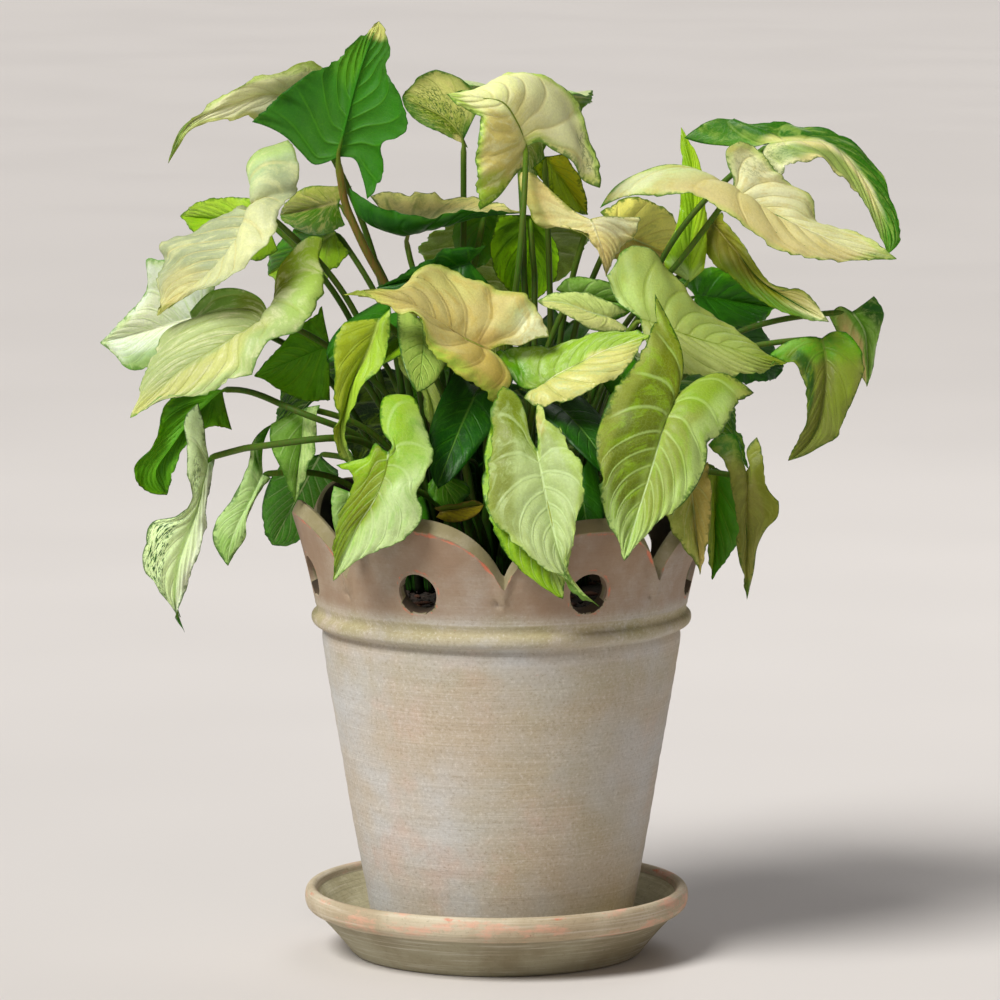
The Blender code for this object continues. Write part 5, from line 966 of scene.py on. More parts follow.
# --------------------------------------------------------- node shorthand
class Nodes:
    """Short names for building a material's nodes."""

    def __init__(self, name):
        self.mat = bpy.data.materials.new(name)
        self.mat.use_nodes = True
        self.tree = self.mat.node_tree
        self.shader = self.tree.nodes["Principled BSDF"]
        self.out = self.tree.nodes["Material Output"]

    def _in(self, socket, value):
        if isinstance(value, bpy.types.NodeSocket):
            self.tree.links.new(value, socket)
        else:
            if socket.type == "RGBA" and len(value) == 3:
                value = (*value, 1.0)
            socket.default_value = value

    def set(self, **values):
        for k, v in values.items():
            self._in(self.shader.inputs[k.replace("_", " ")], v)

    def att(self, name):
        n = self.tree.nodes.new("ShaderNodeAttribute")
        n.attribute_name = name
        return n

    def math(self, op, a, b=0.0, c=0.0, clamp=False):
        n = self.tree.nodes.new("ShaderNodeMath")
        n.operation = op
        n.use_clamp = clamp
        for s, v in zip(n.inputs, (a, b, c)):
            self._in(s, v)
        return n.outputs[0]

    def ramp(self, x, a, b, lo=0.0, hi=1.0):
        """Smooth step of x from a to b, giving lo to hi."""
        n = self.tree.nodes.new("ShaderNodeMapRange")
        n.interpolation_type = "SMOOTHSTEP"
        for s, v in zip(n.inputs, (x, a, b, lo, hi)):
            self._in(s, v)
        return n.outputs[0]

    def mix(self, f, a, b, kind="MIX"):
        n = self.tree.nodes.new("ShaderNodeMix")
        n.data_type = "RGBA"
        n.blend_type = kind
        n.clamp_factor = True
        self._in(n.inputs[0], f)
        self._in(n.inputs[6], a)
        self._in(n.inputs[7], b)
        return n.outputs[2]

    def vec(self, x, y, z):
        n = self.tree.nodes.new("ShaderNodeCombineXYZ")
        for s, v in zip(n.inputs, (x, y, z)):
            self._in(s, v)
        return n.outputs[0]

    def split(self, v):
        n = self.tree.nodes.new("ShaderNodeSeparateXYZ")
        self._in(n.inputs[0], v)
        return n.outputs

    def place(self, v, scale=(1, 1, 1), at=(0, 0, 0)):
        n = self.tree.nodes.new("ShaderNodeMapping")
        self._in(n.inputs["Vector"], v)
        n.inputs["Location"].default_value = at
        n.inputs["Scale"].default_value = scale
        return n.outputs[0]

    def noise(self, v, scale, detail=3.0, rough=0.5, warp=0.0):
        n = self.tree.nodes.new("ShaderNodeTexNoise")
        self._in(n.inputs["Vector"], v)
        n.inputs["Scale"].default_value = scale
        n.inputs["Detail"].default_value = detail
        n.inputs["Roughness"].default_value = rough
        n.inputs["Distortion"].default_value = warp
        return n.outputs[0]

    def cells(self, v, scale, feature="F1", random=1.0):
        n = self.tree.nodes.new("ShaderNodeTexVoronoi")
        n.feature = feature
        self._in(n.inputs["Vector"], v)
        n.inputs["Scale"].default_value = scale
        n.inputs["Randomness"].default_value = random
        return n.outputs[0]

    def bump(self, height, strength, distance, normal=None):
        n = self.tree.nodes.new("ShaderNodeBump")
        n.inputs["Strength"].default_value = strength
        n.inputs["Distance"].default_value = distance
        self._in(n.inputs["Height"], height)
        if normal is not None:
            self._in(n.inputs["Normal"], normal)
        return n.outputs[0]

    def where(self):
        return self.tree.nodes.new("ShaderNodeTexCoord").outputs["Object"]


# --------------------------------------------------------------- leaf looks
TONES = {k: lin(v) for k, v in dict(
    ivory=(234, 234, 186), cream=(228, 231, 166), straw=(222, 220, 128), butter=(220, 214, 104),
    gold=(205, 180, 88), beige=(214, 200, 126), peach=(222, 194, 128), tan=(190, 154, 84),
    bronze=(122, 94, 38), mint=(186, 216, 128), frost=(204, 228, 160), celery=(176, 204, 94),
    lime=(164, 202, 52), sap=(142, 186, 22), bright=(116, 186, 6), grass=(84, 154, 6),
    green=(56, 128, 4), leaf=(38, 104, 2), dark=(14, 74, 2), deep=(7, 48, 2),
    khaki=(158, 168, 72), moss=(122, 144, 26), olive=(118, 126, 10), drab=(112, 118, 46),
    # foot is painted shade: the darkness where the stalks meet the soil
    rust=(160, 96, 36), straw_dry=(170, 128, 56), sheen=(126, 176, 66), foot=(34, 38, 12), stem=(88, 108, 26), wine=(104, 76, 34),
).items()}


def tone(c):
    return TONES[c] if isinstance(c, str) else lin(c)


class Look:
    """Colouring of one leaf's upper face. base, then the halves L and R, the
    lobes A and B, the tip T, the rib zone M (not used), a band along the margin E of
    ew mm; spots are (u, v, ru, rv, tone, strength). U is the underside. splash
    is the tone of the streaks between the veins, with its amount; vein and rib
    the tones of the side veins and the midrib; rim the margin line."""

    def __init__(self, base, L=None, R=None, A=None, B=None, T=None, M=None, E=None, ew=5.0,
                 spots=(), U=None, UE=None, uspots=(), splash=("celery", 0.35), vein=("frost", 0.35),
                 rib=("frost", 0.6), rim=("leaf", 0.8), rim_w=0.9, fleck=(), gloss=0.42,
                 quilt=1.0, count=7, stalk="stem", soft=0.06):
        self.__dict__.update(locals())


LOOKS = {
    "young": Look("leaf", splash=("green", 0.4), vein=("grass", 0.2), rib=("sheen", 0.35), rim=("dark", 0.9), U="leaf", gloss=0.4),
    "front_centre": Look((182, 202, 132), A="moss", B=(150, 164, 78), E="celery", splash=("frost", 0.4),
        spots=((-0.85, 0.25, 0.28, 0.35, "olive", 0.75), (-0.5, 0.05, 0.4, 0.12, "moss", 0.6), (0.7, 0.03, 0.3, 0.06, "peach", 0.6), (0.9, 0.2, 0.25, 0.2, "celery", 0.7), (0.1, 0.97, 0.9, 0.1, "sheen", 0.7)),
        vein=("frost", 0.55), rib=("frost", 0.6), rim=("leaf", 0.8), U="khaki", quilt=1.35, count=8),
    "front_left": Look("lime", L="moss", R="mint", A="sap", B="lime", splash=("bright", 0.35),
        spots=((-0.15, 0.45, 0.35, 0.4, "olive", 0.6), (0.35, 0.2, 0.5, 0.2, "sap", 0.7), (0.6, 0.65, 0.4, 0.25, "frost", 0.8), (0.05, 0.9, 0.3, 0.1, "frost", 0.6)),
        vein=("frost", 0.4), rib=("frost", 0.75), rim=("leaf", 0.85), U="moss"),
    "front_right": Look("celery", L=(98, 112, 18), R=(148, 164, 70), A="moss", B="khaki", T="mint",
        splash=("sap", 0.45), spots=((0.5, 0.12, 0.35, 0.12, "sap", 0.6), (-0.5, 0.1, 0.4, 0.1, "olive", 0.6), (0.85, 0.5, 0.22, 0.4, "mint", 0.7), (-0.9, 0.35, 0.16, 0.4, "khaki", 0.6)),
        vein=("mint", 0.6), rib=("frost", 0.8), rim=("dark", 0.9), rim_w=1.3, U="khaki", quilt=1.4, count=8),
    "front_lime": Look("celery", L="sap", R="celery", splash=("grass", 0.5), rib=("mint", 0.5), rim=("dark", 0.9), U="moss"),
    "front_small": Look((144, 180, 96), L=(144, 180, 96), splash=("sheen", 0.4), rim=("green", 0.7), U="khaki"),
    "centre_gold": Look("beige", A="frost", B="gold", T="butter", E=(190, 208, 100), ew=7.0, splash=("gold", 0.55),
        spots=((-0.75, 0.03, 0.4, 0.10, "ivory", 0.8), (-0.3, 0.3, 0.35, 0.25, "beige", 0.7), (0.9, 0.25, 0.18, 0.25, "lime", 0.75), (0.45, 0.15, 0.4, 0.2, "gold", 0.6), (-0.1, 0.12, 0.2, 0.1, "tan", 0.5), (-0.7, 0.55, 0.25, 0.2, "straw", 0.7)),
        vein=("bronze", 0.40), rib=("bronze", 0.6), rim=("moss", 0.8), U="khaki", quilt=1.5),
    "left_folded": Look("khaki", L=(158, 176, 32), R="lime", T="celery", splash=("celery", 0.3), vein=("moss", 0.3), rib=("celery", 0.4), rim=("leaf", 0.8), U="moss"),
    "low_inner": Look("grass", splash=("dark", 0.6), vein=("celery", 0.3), rib=("celery", 0.4), rim=("dark", 0.9), U="leaf"),
    "low_khaki": Look((196, 176, 92), L="khaki", splash=("beige", 0.4), rim=("dark", 0.7), U="moss"),
    "centre_point": Look("lime", L=(160, 198, 76), R="straw", A="grass", T="lime", splash=("frost", 0.5),
        spots=((-0.8, 0.6, 0.3, 0.5, "sap", 0.6), (0.5, 0.5, 0.4, 0.4, "straw", 0.6)),
        vein=("moss", 0.3), rib=("ivory", 0.6), rim=("leaf", 0.8), gloss=0.27, U="moss", quilt=1.2),
    # both halves are lightened past the leaf's own colour to make up for the shade it sits in: painted light
    "middle_small": Look("celery", L=(214, 246, 100), R=(226, 250, 120), T="mint", splash=("frost", 0.3), rim=("green", 0.7), U="khaki"),
    "low_left_light": Look("sheen", L="sheen", R="mint", splash=("grass", 0.5), rib=("frost", 0.6), rim=("leaf", 0.8), U="grass"),
    "low_left_small": Look((172, 206, 126), A="green", splash=("sheen", 0.3),
        spots=((-0.6, 0.06, 0.5, 0.09, "leaf", 0.9), (-0.2, 0.9, 0.8, 0.12, "sheen", 0.6)), rim=("dark", 0.9), rim_w=1.2, U="leaf"),
    "right_khaki": Look((156, 176, 88), A="frost", T="moss", splash=("khaki", 0.4),
        spots=((-0.85, 0.10, 0.3, 0.12, "moss", 0.7), (-0.45, 0.12, 0.25, 0.12, "celery", 0.6), (0.5, 0.35, 0.5, 0.4, (176, 184, 112), 0.6), (-0.9, 0.55, 0.2, 0.3, "khaki", 0.6)),
        vein=("moss", 0.45), rib=("moss", 0.5), rim=("leaf", 0.85), U="moss", quilt=1.4, count=8),
    "centre_band": Look((190, 204, 100), L=(212, 232, 136), R=(222, 228, 140), splash=("celery", 0.4), vein=("moss", 0.3), rim=("leaf", 0.8), U="moss"),
    "centre_green": Look("grass", L="sheen", splash=("mint", 0.35), rib=("mint", 0.4), rim=("dark", 0.8), U="leaf"),
    "left_upper": Look((168, 178, 138), A=(176, 200, 144), B=(186, 198, 152), T=(204, 196, 118), splash=("cream", 0.5),
        spots=((-0.8, 0.02, 0.3, 0.06, "mint", 0.8), (-0.25, 0.85, 0.4, 0.12, "gold", 0.55), (0.3, 0.8, 0.4, 0.15, "beige", 0.5), (0.0, 0.98, 1.0, 0.05, "olive", 0.8), (-0.5, 0.5, 0.4, 0.3, "cream", 0.6)),
        vein=("beige", 0.55), rib=("beige", 0.6), rim=("moss", 0.5), rim_w=0.7, U="khaki", UE="grass", quilt=1.2, count=8),
    "left_lower": Look((172, 188, 122), A="moss", B=(140, 164, 96), T=(200, 204, 118), splash=("ivory", 0.5),
        spots=((-0.35, 0.04, 0.45, 0.13, "olive", 0.7), (-0.85, 0.12, 0.25, 0.2, "lime", 0.7), (0.6, 0.08, 0.5, 0.16, "sheen", 0.7), (0.2, 0.1, 0.2, 0.12, "olive", 0.6), (-0.8, 0.6, 0.25, 0.5, "mint", 0.4), (-0.4, 0.65, 0.3, 0.3, "straw", 0.6)),
        vein=("khaki", 0.5), rib=("khaki", 0.5), rim=("green", 0.7), U="green", UE="leaf", quilt=1.2, count=8),
    "left_far": Look((232, 244, 218), E="frost", splash=("mint", 0.5), spots=((0.8, 0.4, 0.3, 0.4, "sheen", 0.7), (-0.3, 0.6, 0.5, 0.3, "straw", 0.3)), vein=("mint", 0.5), rib=("ivory", 0.5), rim=("green", 0.8), rim_w=1.2, U="sheen"),
    # the base and right half are lightened to make up for the shade the leaf sits in: painted light
    "left_hanging": Look((226, 252, 182), R=(232, 244, 206), splash=("celery", 0.3), spots=((0.2, 0.4, 0.4, 0.4, "frost", 0.6), (0.0, 0.97, 1.0, 0.09, "dark", 0.95), (0.6, 0.03, 0.5, 0.06, "leaf", 0.7)),
        fleck=((-0.75, 0.62, 0.34, 0.22, 1.0), (-0.5, 0.28, 0.3, 0.12, 0.7), (-0.9, 0.45, 0.2, 0.2, 0.8)), vein=("ivory", 0.3), rim=("dark", 0.9), U="green"),
    "left_low_dark": Look("leaf", U="grass", uspots=((0.3, 0.5, 0.3, 0.5, "leaf", 0.7), (-0.6, 0.2, 0.3, 0.2, "dark", 0.7)), splash=("leaf", 0.4), vein=("grass", 0.45), rib=("grass", 0.5), rim=("deep", 0.8)),
    "left_under": Look("leaf", U=(96, 172, 14), uspots=((0.0, 0.4, 0.6, 0.5, "grass", 0.6), (0.6, 0.5, 0.4, 0.4, "bright", 0.4)), splash=("leaf", 0.4), vein=("sap", 0.4), rib=("moss", 0.5), rim=("dark", 0.8)),
    # the base and lobes are lightened to make up for the shade the leaf sits in: painted light
    "centre_peach": Look((246, 234, 156), A=(246, 228, 150), B=(250, 250, 184), T=(236, 222, 146), splash=("gold", 0.35),
        spots=((0.4, 0.25, 0.4, 0.2, "ivory", 0.8), (-0.35, 0.25, 0.25, 0.2, "cream", 0.6), (-0.9, 0.2, 0.15, 0.3, "moss", 0.5), (0.0, 0.8, 0.4, 0.2, "tan", 0.4)),
        vein=("tan", 0.4), rib=("ivory", 0.5), rim=("moss", 0.8), U="khaki", quilt=1.3),
    "upper_dark": Look("dark", E="leaf", ew=3.0, splash=("leaf", 0.4), vein=("grass", 0.3), rib=("leaf", 0.5), rim=("deep", 0.7), U="deep"),
    "top_left_green": Look("leaf", T="straw", U=(40, 116, 0), UE="leaf",
        uspots=((-0.35, 0.35, 0.3, 0.35, "leaf", 0.85), (-0.75, 0.3, 0.2, 0.3, "dark", 0.5), (0.55, 0.25, 0.3, 0.4, "leaf", 0.35), (0.0, 0.97, 1.0, 0.07, "straw", 0.95), (-0.5, 0.72, 0.4, 0.15, "grass", 0.6)),
        splash=("leaf", 0.3), vein=("grass", 0.3), rib=("grass", 0.4), rim=("dark", 0.8), stalk=(126, 100, 40)),
    # the base is lightened to near white to stand in for light shining through the leaf: painted light
    "top_left_cream": Look((248, 250, 190), E=(176, 206, 90), R=(246, 248, 196), T="green", splash=("cream", 0.5), spots=((0.0, 0.97, 1.0, 0.10, "leaf", 0.95), (-0.4, 0.4, 0.4, 0.4, "cream", 0.6), (0.9, 0.5, 0.15, 0.4, "beige", 0.5), (-0.9, 0.3, 0.15, 0.4, "celery", 0.6)),
        fleck=((-0.8, 0.3, 0.2, 0.3, 0.25),), vein=("beige", 0.3), rib=("beige", 0.3), rim=("moss", 0.7), U="moss", UE="leaf"),
    "top_centre": Look((244, 250, 170), A=(226, 222, 104), E=(180, 220, 80), ew=6.0, splash=("ivory", 0.5),
        spots=((-0.5, 0.35, 0.35, 0.3, "gold", 0.75), (-0.25, 0.12, 0.25, 0.15, "beige", 0.7), (-0.8, 0.1, 0.25, 0.12, "sap", 0.6), (0.2, 0.35, 0.2, 0.25, "beige", 0.6), (0.5, 0.3, 0.3, 0.3, "ivory", 0.6), (0.6, 0.02, 0.4, 0.05, "beige", 0.5)),
        fleck=((0.9, 0.12, 0.2, 0.12, 0.5),), vein=("beige", 0.45), rib=("moss", 0.4), rim=("leaf", 0.85), rim_w=1.2, U="moss", UE="leaf", count=6),
    "upper_edge": Look("dark", E="leaf", splash=("leaf", 0.4), spots=((0.0, 0.3, 0.5, 0.4, "leaf", 0.5),), U="beige", UE="straw", uspots=((0.3, 0.4, 0.3, 0.4, "cream", 0.5),), vein=("leaf", 0.4), rib=("leaf", 0.5), rim=("dark", 0.9)),
    "top_back": Look("cream", splash=("beige", 0.4), U="khaki", UE="leaf", uspots=((0.3, 0.4, 0.3, 0.3, "moss", 0.8), (-0.6, 0.5, 0.3, 0.4, "straw", 0.7), (0.5, 0.1, 0.3, 0.1, "beige", 0.8)),
        fleck=((0.1, 0.5, 0.7, 0.5, 0.8),), vein=("moss", 0.4), rib=("moss", 0.5), rim=("dark", 0.9)),
    "top_olive": Look((190, 206, 24), L=(170, 200, 20), R=(214, 212, 34), splash=("lime", 0.35), vein=("leaf", 0.35), rib=("moss", 0.4), rim=("dark", 0.95), rim_w=1.4, U="moss"),
    # the bright lime underside and its two brightest patches are painted light: the glow of light through the leaf from
    # behind
    "backlit": Look("leaf", U=(168, 238, 8), uspots=((0.45, 0.65, 0.32, 0.22, (150, 220, 20), 0.95), (-0.35, 0.72, 0.26, 0.16, (140, 214, 24), 0.85), (0.0, 0.2, 0.8, 0.2, "dark", 0.6)), splash=("dark", 0.4), vein=("leaf", 0.5), rib=("grass", 0.5), rim=("deep", 0.9)),
    "upper_olive": Look("moss", U="grass", uspots=((-0.4, 0.6, 0.4, 0.3, "green", 0.6),), splash=("moss", 0.4), vein=("leaf", 0.3), rib=("moss", 0.4), rim=("leaf", 0.7)),
    "left_behind": Look("sap", L="lime", splash=("grass", 0.4), vein=("sap", 0.3), rib=("sap", 0.4), rim=("dark", 0.8), U="leaf"),
    "back_olive": Look((172, 168, 92), R=(70, 118, 4), L="khaki", splash=("beige", 0.4), vein=("moss", 0.4), rib=("beige", 0.4), rim=("leaf", 0.8), U="moss"),
    "mid_olive": Look("moss", L="green", R="sap", splash=("olive", 0.5), vein=("leaf", 0.3), rib=("lime", 0.3), rim=("dark", 0.8), U="leaf"),
    "right_cream": Look("cream", E=(196, 214, 120), R=(222, 214, 150), B="frost", A="cream", splash=("gold", 0.4),
        spots=((0.75, 0.45, 0.3, 0.3, "tan", 0.25), (0.35, 0.35, 0.25, 0.25, "beige", 0.4), (-0.5, 0.25, 0.4, 0.2, "ivory", 0.7), (-0.2, 0.4, 0.15, 0.4, "ivory", 0.5), (0.9, 0.01, 0.12, 0.03, "dark", 0.9), (0.8, 0.08, 0.2, 0.05, "ivory", 0.6), (0.0, 0.97, 0.6, 0.06, "green", 0.4)),
        fleck=((-0.7, 0.15, 0.3, 0.12, 0.25), (-0.85, 0.7, 0.2, 0.3, 0.15)), vein=("beige", 0.5), rib=("ivory", 0.8), rim=("leaf", 0.85), U="green", UE="dark", quilt=1.3),
    "right_arch": Look("ivory", R=(236, 224, 150), L="leaf", T="green", B=(250, 250, 200),
        spots=((0.3, 0.08, 0.6, 0.16, "cream", 0.9), (-0.5, 0.05, 0.5, 0.08, "grass", 0.8), (-0.7, 0.4, 0.4, 0.5, "leaf", 0.8), (0.6, 0.6, 0.35, 0.5, "green", 0.7), (-0.15, 0.2, 0.2, 0.15, "straw", 0.7)), splash=("celery", 0.4), fleck=((0.5, 0.1, 0.4, 0.1, 0.35),), vein=("celery", 0.3), rib=("celery", 0.4), rim=("dark", 0.8), U="green"),
    "right_spear": Look("sap", R=(166, 206, 30), L=(132, 180, 20), T="sap", splash=("lime", 0.4), spots=((-0.3, 0.06, 0.5, 0.08, "frost", 0.55), (0.4, 0.05, 0.4, 0.06, "mint", 0.4)), vein=("bright", 0.2), rib=("lime", 0.4), rim=("moss", 0.5), gloss=0.28, U="grass"),
    "right_gold": Look((255, 246, 120), L=(255, 248, 124), R=(196, 176, 84), splash=("khaki", 0.3), vein=("tan", 0.3), rim=("leaf", 0.9), rim_w=1.4, U="moss"),
    "right_wavy": Look((152, 166, 34), T="cream", splash=("olive", 0.4), spots=((0.7, 0.6, 0.35, 0.4, "green", 0.8), (-0.4, 0.75, 0.4, 0.2, "beige", 0.7), (0.0, 0.3, 0.8, 0.3, (144, 130, 50), 0.7)), vein=("tan", 0.2), rib=("beige", 0.3), rim=("dark", 0.8), U="leaf"),
    "right_droop": Look((112, 120, 52), L="drab", A="grass", B="green", splash=("moss", 0.5), spots=((0.0, 0.1, 0.9, 0.16, "grass", 0.7), (-0.75, 0.35, 0.22, 0.25, "dark", 0.9), (0.6, 0.3, 0.3, 0.3, "moss", 0.5), (-0.6, 0.05, 0.3, 0.06, "sheen", 0.7)),
        vein=("drab", 0.3), rib=("drab", 0.4), rim=("dark", 0.8), U="leaf"),
    "right_far": Look("sheen", A="dark", spots=((-0.8, 0.1, 0.4, 0.2, "dark", 0.9), (0.6, 0.5, 0.35, 0.4, "peach", 0.9), (0.0, 0.2, 0.3, 0.2, "grass", 0.6)), splash=("mint", 0.3), vein=("grass", 0.3), rim=("dark", 0.8), U="leaf"),
    "right_dark_upper": Look("leaf", splash=("dark", 0.6), spots=((-0.8, 0.4, 0.2, 0.4, "grass", 0.5),), vein=("green", 0.3), rib=("green", 0.5), rim=("grass", 0.4), U="dark", gloss=0.34),
    "right_dark_lower": Look("dark", splash=("leaf", 0.4), spots=((-0.3, 0.15, 0.3, 0.15, "bronze", 0.4),), vein=("green", 0.3), rib=("green", 0.4), rim=("deep", 0.8), U="deep"),
    "low_right_olive": Look((142, 140, 66), A="leaf", B="khaki", splash=("khaki", 0.4), spots=((0.85, 0.35, 0.25, 0.3, "olive", 0.7), (-0.6, 0.5, 0.3, 0.4, "drab", 0.6), (0.1, 0.95, 0.9, 0.08, "leaf", 0.85), (-0.7, 0.05, 0.4, 0.08, "leaf", 0.6)), vein=("khaki", 0.3), rib=("khaki", 0.4), rim=("dark", 0.8), U="leaf"),
    "low_right_green": Look("green", L="moss", splash=("leaf", 0.5), rib=("moss", 0.4), vein=("moss", 0.3), rim=("dark", 0.9), U="dark"),
    "low_left_back": Look("green", splash=("green", 0.4), rim=("deep", 0.9), U="dark"),
    "dry": Look((176, 146, 50), L=(96, 122, 6), R=(196, 178, 24), splash=("bronze", 0.5), vein=("bronze", 0.4), rib=("straw", 0.4), rim=("bronze", 0.8), U="bronze", gloss=0.6, stalk="bronze"),
    "back_high": Look("ivory", A="mint", B="frost", E="mint", splash=("cream", 0.5), spots=((0.4, 0.4, 0.4, 0.4, "cream", 0.6), (0.0, 0.96, 1.0, 0.08, "moss", 0.7)), vein=("beige", 0.4), rim=("green", 0.8), U="moss", UE="leaf", count=7),
    "back_left": Look("lime", L="sap", R="mint", splash=("bright", 0.5), vein=("frost", 0.5), rim=("leaf", 0.85), U="dark"),
    "back_right": Look("celery", L="moss", R="mint", splash=("sap", 0.5), vein=("frost", 0.5), rim=("dark", 0.85), U="leaf"),
    "back_mid": Look("mint", A="sheen", B="moss", R="frost", splash=("celery", 0.5), vein=("ivory", 0.5), rim=("green", 0.85), U="moss"),
    "back_low_left": Look("grass", R="green", splash=("sap", 0.5), vein=("mint", 0.4), rim=("dark", 0.85), U="deep"),
    "back_low_right": Look("khaki", L="moss", splash=("celery", 0.5), vein=("frost", 0.4), rim=("leaf", 0.85), U="dark"),
}


def tint_of(look, u, v, edge, under, wob):
    """Tones at points of a leaf: u, v, distance to the margin in mm, wob = a
    noise that breaks up the borders between tones."""
    s = np.abs(u)
    shape = u.shape + (1,)
    c = np.zeros(u.shape + (3,)) + tone(look.U or "moss" if under else look.base)

    def over(c, colour, m):
        return c + (tone(colour) - c) * np.clip(m, 0, 1).reshape(shape)

    if not under:
        if look.L:
            c = over(c, look.L, step(0.10, -0.22, u + 0.18 * wob))
        if look.R:
            c = over(c, look.R, step(-0.10, 0.22, u + 0.18 * wob))
        reach = step(0.26, 0.08, v + 0.05 * wob)
        if look.A:
            c = over(c, look.A, step(-0.12, -0.42, u + 0.1 * wob) * reach)
        if look.B:
            c = over(c, look.B, step(0.12, 0.42, u - 0.1 * wob) * reach)
        if look.T:
            c = over(c, look.T, step(0.72, 0.97, v + 0.06 * wob))
        if look.E:
            c = over(c, look.E, 0.85 * step(look.ew, look.ew * 0.3, edge + 2.4 * wob))
        spots = look.spots
    else:
        if look.UE:
            c = over(c, look.UE, 0.8 * step(9.0, 1.5, edge + 2.5 * wob))
        spots = look.uspots
    for u0, v0, ru, rv, colour, k in spots:
        d = ((u - u0) / ru) ** 2 + ((v - v0) / rv) ** 2
        c = over(c, colour, k * step(1.9, 0.25, d + 0.45 * wob))
    return c


def fine_grid(leaf):
    size = float(np.linalg.norm(np.ptp(leaf.surface(*leaf.grid(3, 6)).reshape(-1, 3), axis=0)))
    big = size > 100
    across = 25 if size > 75 else (20 if size > 45 else 14)
    along = 78 if big else (58 if size > 60 else 40)
    t = np.linspace(0, 1, across + 1)
    s = t - 0.11 * np.sin(2 * math.pi * t) / (2 * math.pi) * 2
    u = np.concatenate((-s[::-1], s[1:]))
    t = np.linspace(0, 1, along + 1)
    v = t - 0.045 * np.sin(2 * math.pi * t)
    return u, v, size


def grow(leaf):
    """The leaf as a thin closed skin with its veins, and its stalk."""
    look = LOOKS[leaf.name[5:]]
    u1, v1, size = fine_grid(leaf)
    uu, vv = np.meshgrid(u1, v1)
    p, n = leaf.surface(uu, vv, normals=True)
    n[-1] = n[-2]
    cols, rows = len(u1), len(v1)
    mid = (cols - 1) // 2
    across = np.linalg.norm(np.diff(p, axis=1), axis=-1)
    run = np.concatenate((np.zeros((rows, 1)), np.cumsum(across, axis=1)), axis=1)
    rib_mm = np.abs(run - run[:, mid:mid + 1])
    left = run
    right = run[:, -1:] - run
    side = np.minimum(left, right)
    along = np.linalg.norm(np.diff(p, axis=0), axis=-1)
    back = np.concatenate((np.zeros((1, cols)), np.cumsum(along, axis=0)), axis=0)
    edge = np.minimum(side, back * 0.95)
    length = float(back[-1, mid])

    s = np.abs(uu)
    bend = 0.24 * s + 0.10 * s * s
    low = (vv - 0.03 * s) / (1 + 1.0 * bend * 3.0)
    f = np.where(low < 1 / 3, low, vv - 0.03 * s - bend)
    count = look.count * (1.0 if size < 70 else 1.3)
    phase = np.maximum(f, 0.0) * count + 0.5 + 0.25 * np.where(uu < 0, 0.0, 1.0)
    pitch = length / count * 0.56

    wob = noise(np.stack((uu * 2.2, vv * 6.5, 0 * uu + leaf.seed), -1), 3)
    wob = wob + 0.5 * noise(np.stack((uu * 5.5, vv * 15, 0 * uu + leaf.seed), -1), 4)

    k = min(size / 110.0, 1.15)
    inside = step(0.0, 5.0, edge)
    near = np.abs((phase % 1.0) - 0.5) * 2  # 1 on a side vein
    reach = step(0.02, 0.2, s) * inside
    quilt = look.quilt * 0.92 * k * (0.5 - near ** 2.2) * reach
    groove = -0.55 * k * np.exp(-(rib_mm / 1.5) ** 2) * step(0.98, 0.8, vv)
    coarse = np.stack((uu * 1.4, vv * 4.2, 0 * uu + 9.0 * leaf.seed), -1)
    swell = 0.9 * leaf.wave * k * noise(coarse, 11) * inside
    frill = leaf.wave * k * step(0.55, 1.0, s) * (
        1.8 * noise(np.stack((vv * 11.0, np.sign(uu) * 3.0, 0 * uu + 5.0 * leaf.seed), -1), 12)
        + 1.0 * noise(np.stack((vv * 26.0, np.sign(uu) * 3.0, 0 * uu + 5.0 * leaf.seed), -1), 13))
    fine = step(0.0, 0.06, vv) * step(1.0, 0.93, vv)
    p = p + n * (quilt + groove + swell + frill * fine)[..., None]

    # the margin: small teeth, nicks and slow waves, in the plane of the blade
    over_u = np.gradient(p, axis=1)
    over_u /= np.maximum(np.linalg.norm(over_u, axis=-1, keepdims=True), 1e-9)
    half = 0.5 * float(run[rows // 3, -1])

    def ragged(wide, number):
        where = np.stack((vv * length / wide, np.sign(uu) * 4.0 + 0 * vv, 0 * uu + 3.0 * leaf.seed), -1)
        return noise(where, number)

    nick = np.maximum(ragged(7.0, 19), 0.0) ** 1.5
    saw = (vv * length / 3.9 + 0.9 * ragged(13.0, 16)) % 1.0
    saw = np.where(saw < 0.72, saw / 0.72, (1.0 - saw) / 0.28) * (0.55 + 0.9 * np.abs(ragged(8.0, 15)))
    tooth = k * min(1.0, half / 24.0) * np.maximum(0.25 + 0.95 * saw + 0.5 * ragged(2.9, 17) + 3.4 * nick + 1.9 * ragged(15.0, 18), 0.0)
    tooth = tooth * step(0.03, 0.08, vv) * step(0.985, 0.93, vv) * s ** 7
    p = p - over_u * (np.sign(uu) * tooth)[..., None]

    thick = 0.2 * (0.35 + 0.65 * step(0.0, 3.0, edge)) + 0.18 * np.exp(-(rib_mm / 2.0) ** 2) * (1 - vv)
    ridge = 0.28 * k * near ** 10 * reach
    top = p + n * thick[..., None]
    low_side = p - n * (thick + ridge)[..., None]
    top[-1], low_side[-1] = p[-1], p[-1]

    flecks = np.zeros_like(uu)
    for u0, v0, ru, rv, amount in look.fleck:
        d = ((uu - u0) / ru) ** 2 + ((vv - v0) / rv) ** 2
        flecks = np.maximum(flecks, amount * step(1.6, 0.3, d + 0.4 * wob))

    skin = Skin()
    sheets = []
    for under, q in ((0, top), (1, low_side)):
        c = tint_of(look, uu, vv, edge, bool(under), wob)
        c = np.concatenate((c, np.ones(c.shape[:2] + (1,))), -1)
        first = skin.points(
            q, leafco=np.stack((uu, vv, phase), -1), edge_mm=edge, rib_mm=rib_mm,
            under=np.full(uu.shape, float(under)), tint=c, fleck=flecks,
            stalk=np.zeros(uu.shape), pitch=np.full(uu.shape, pitch))
        sheets.append(first)
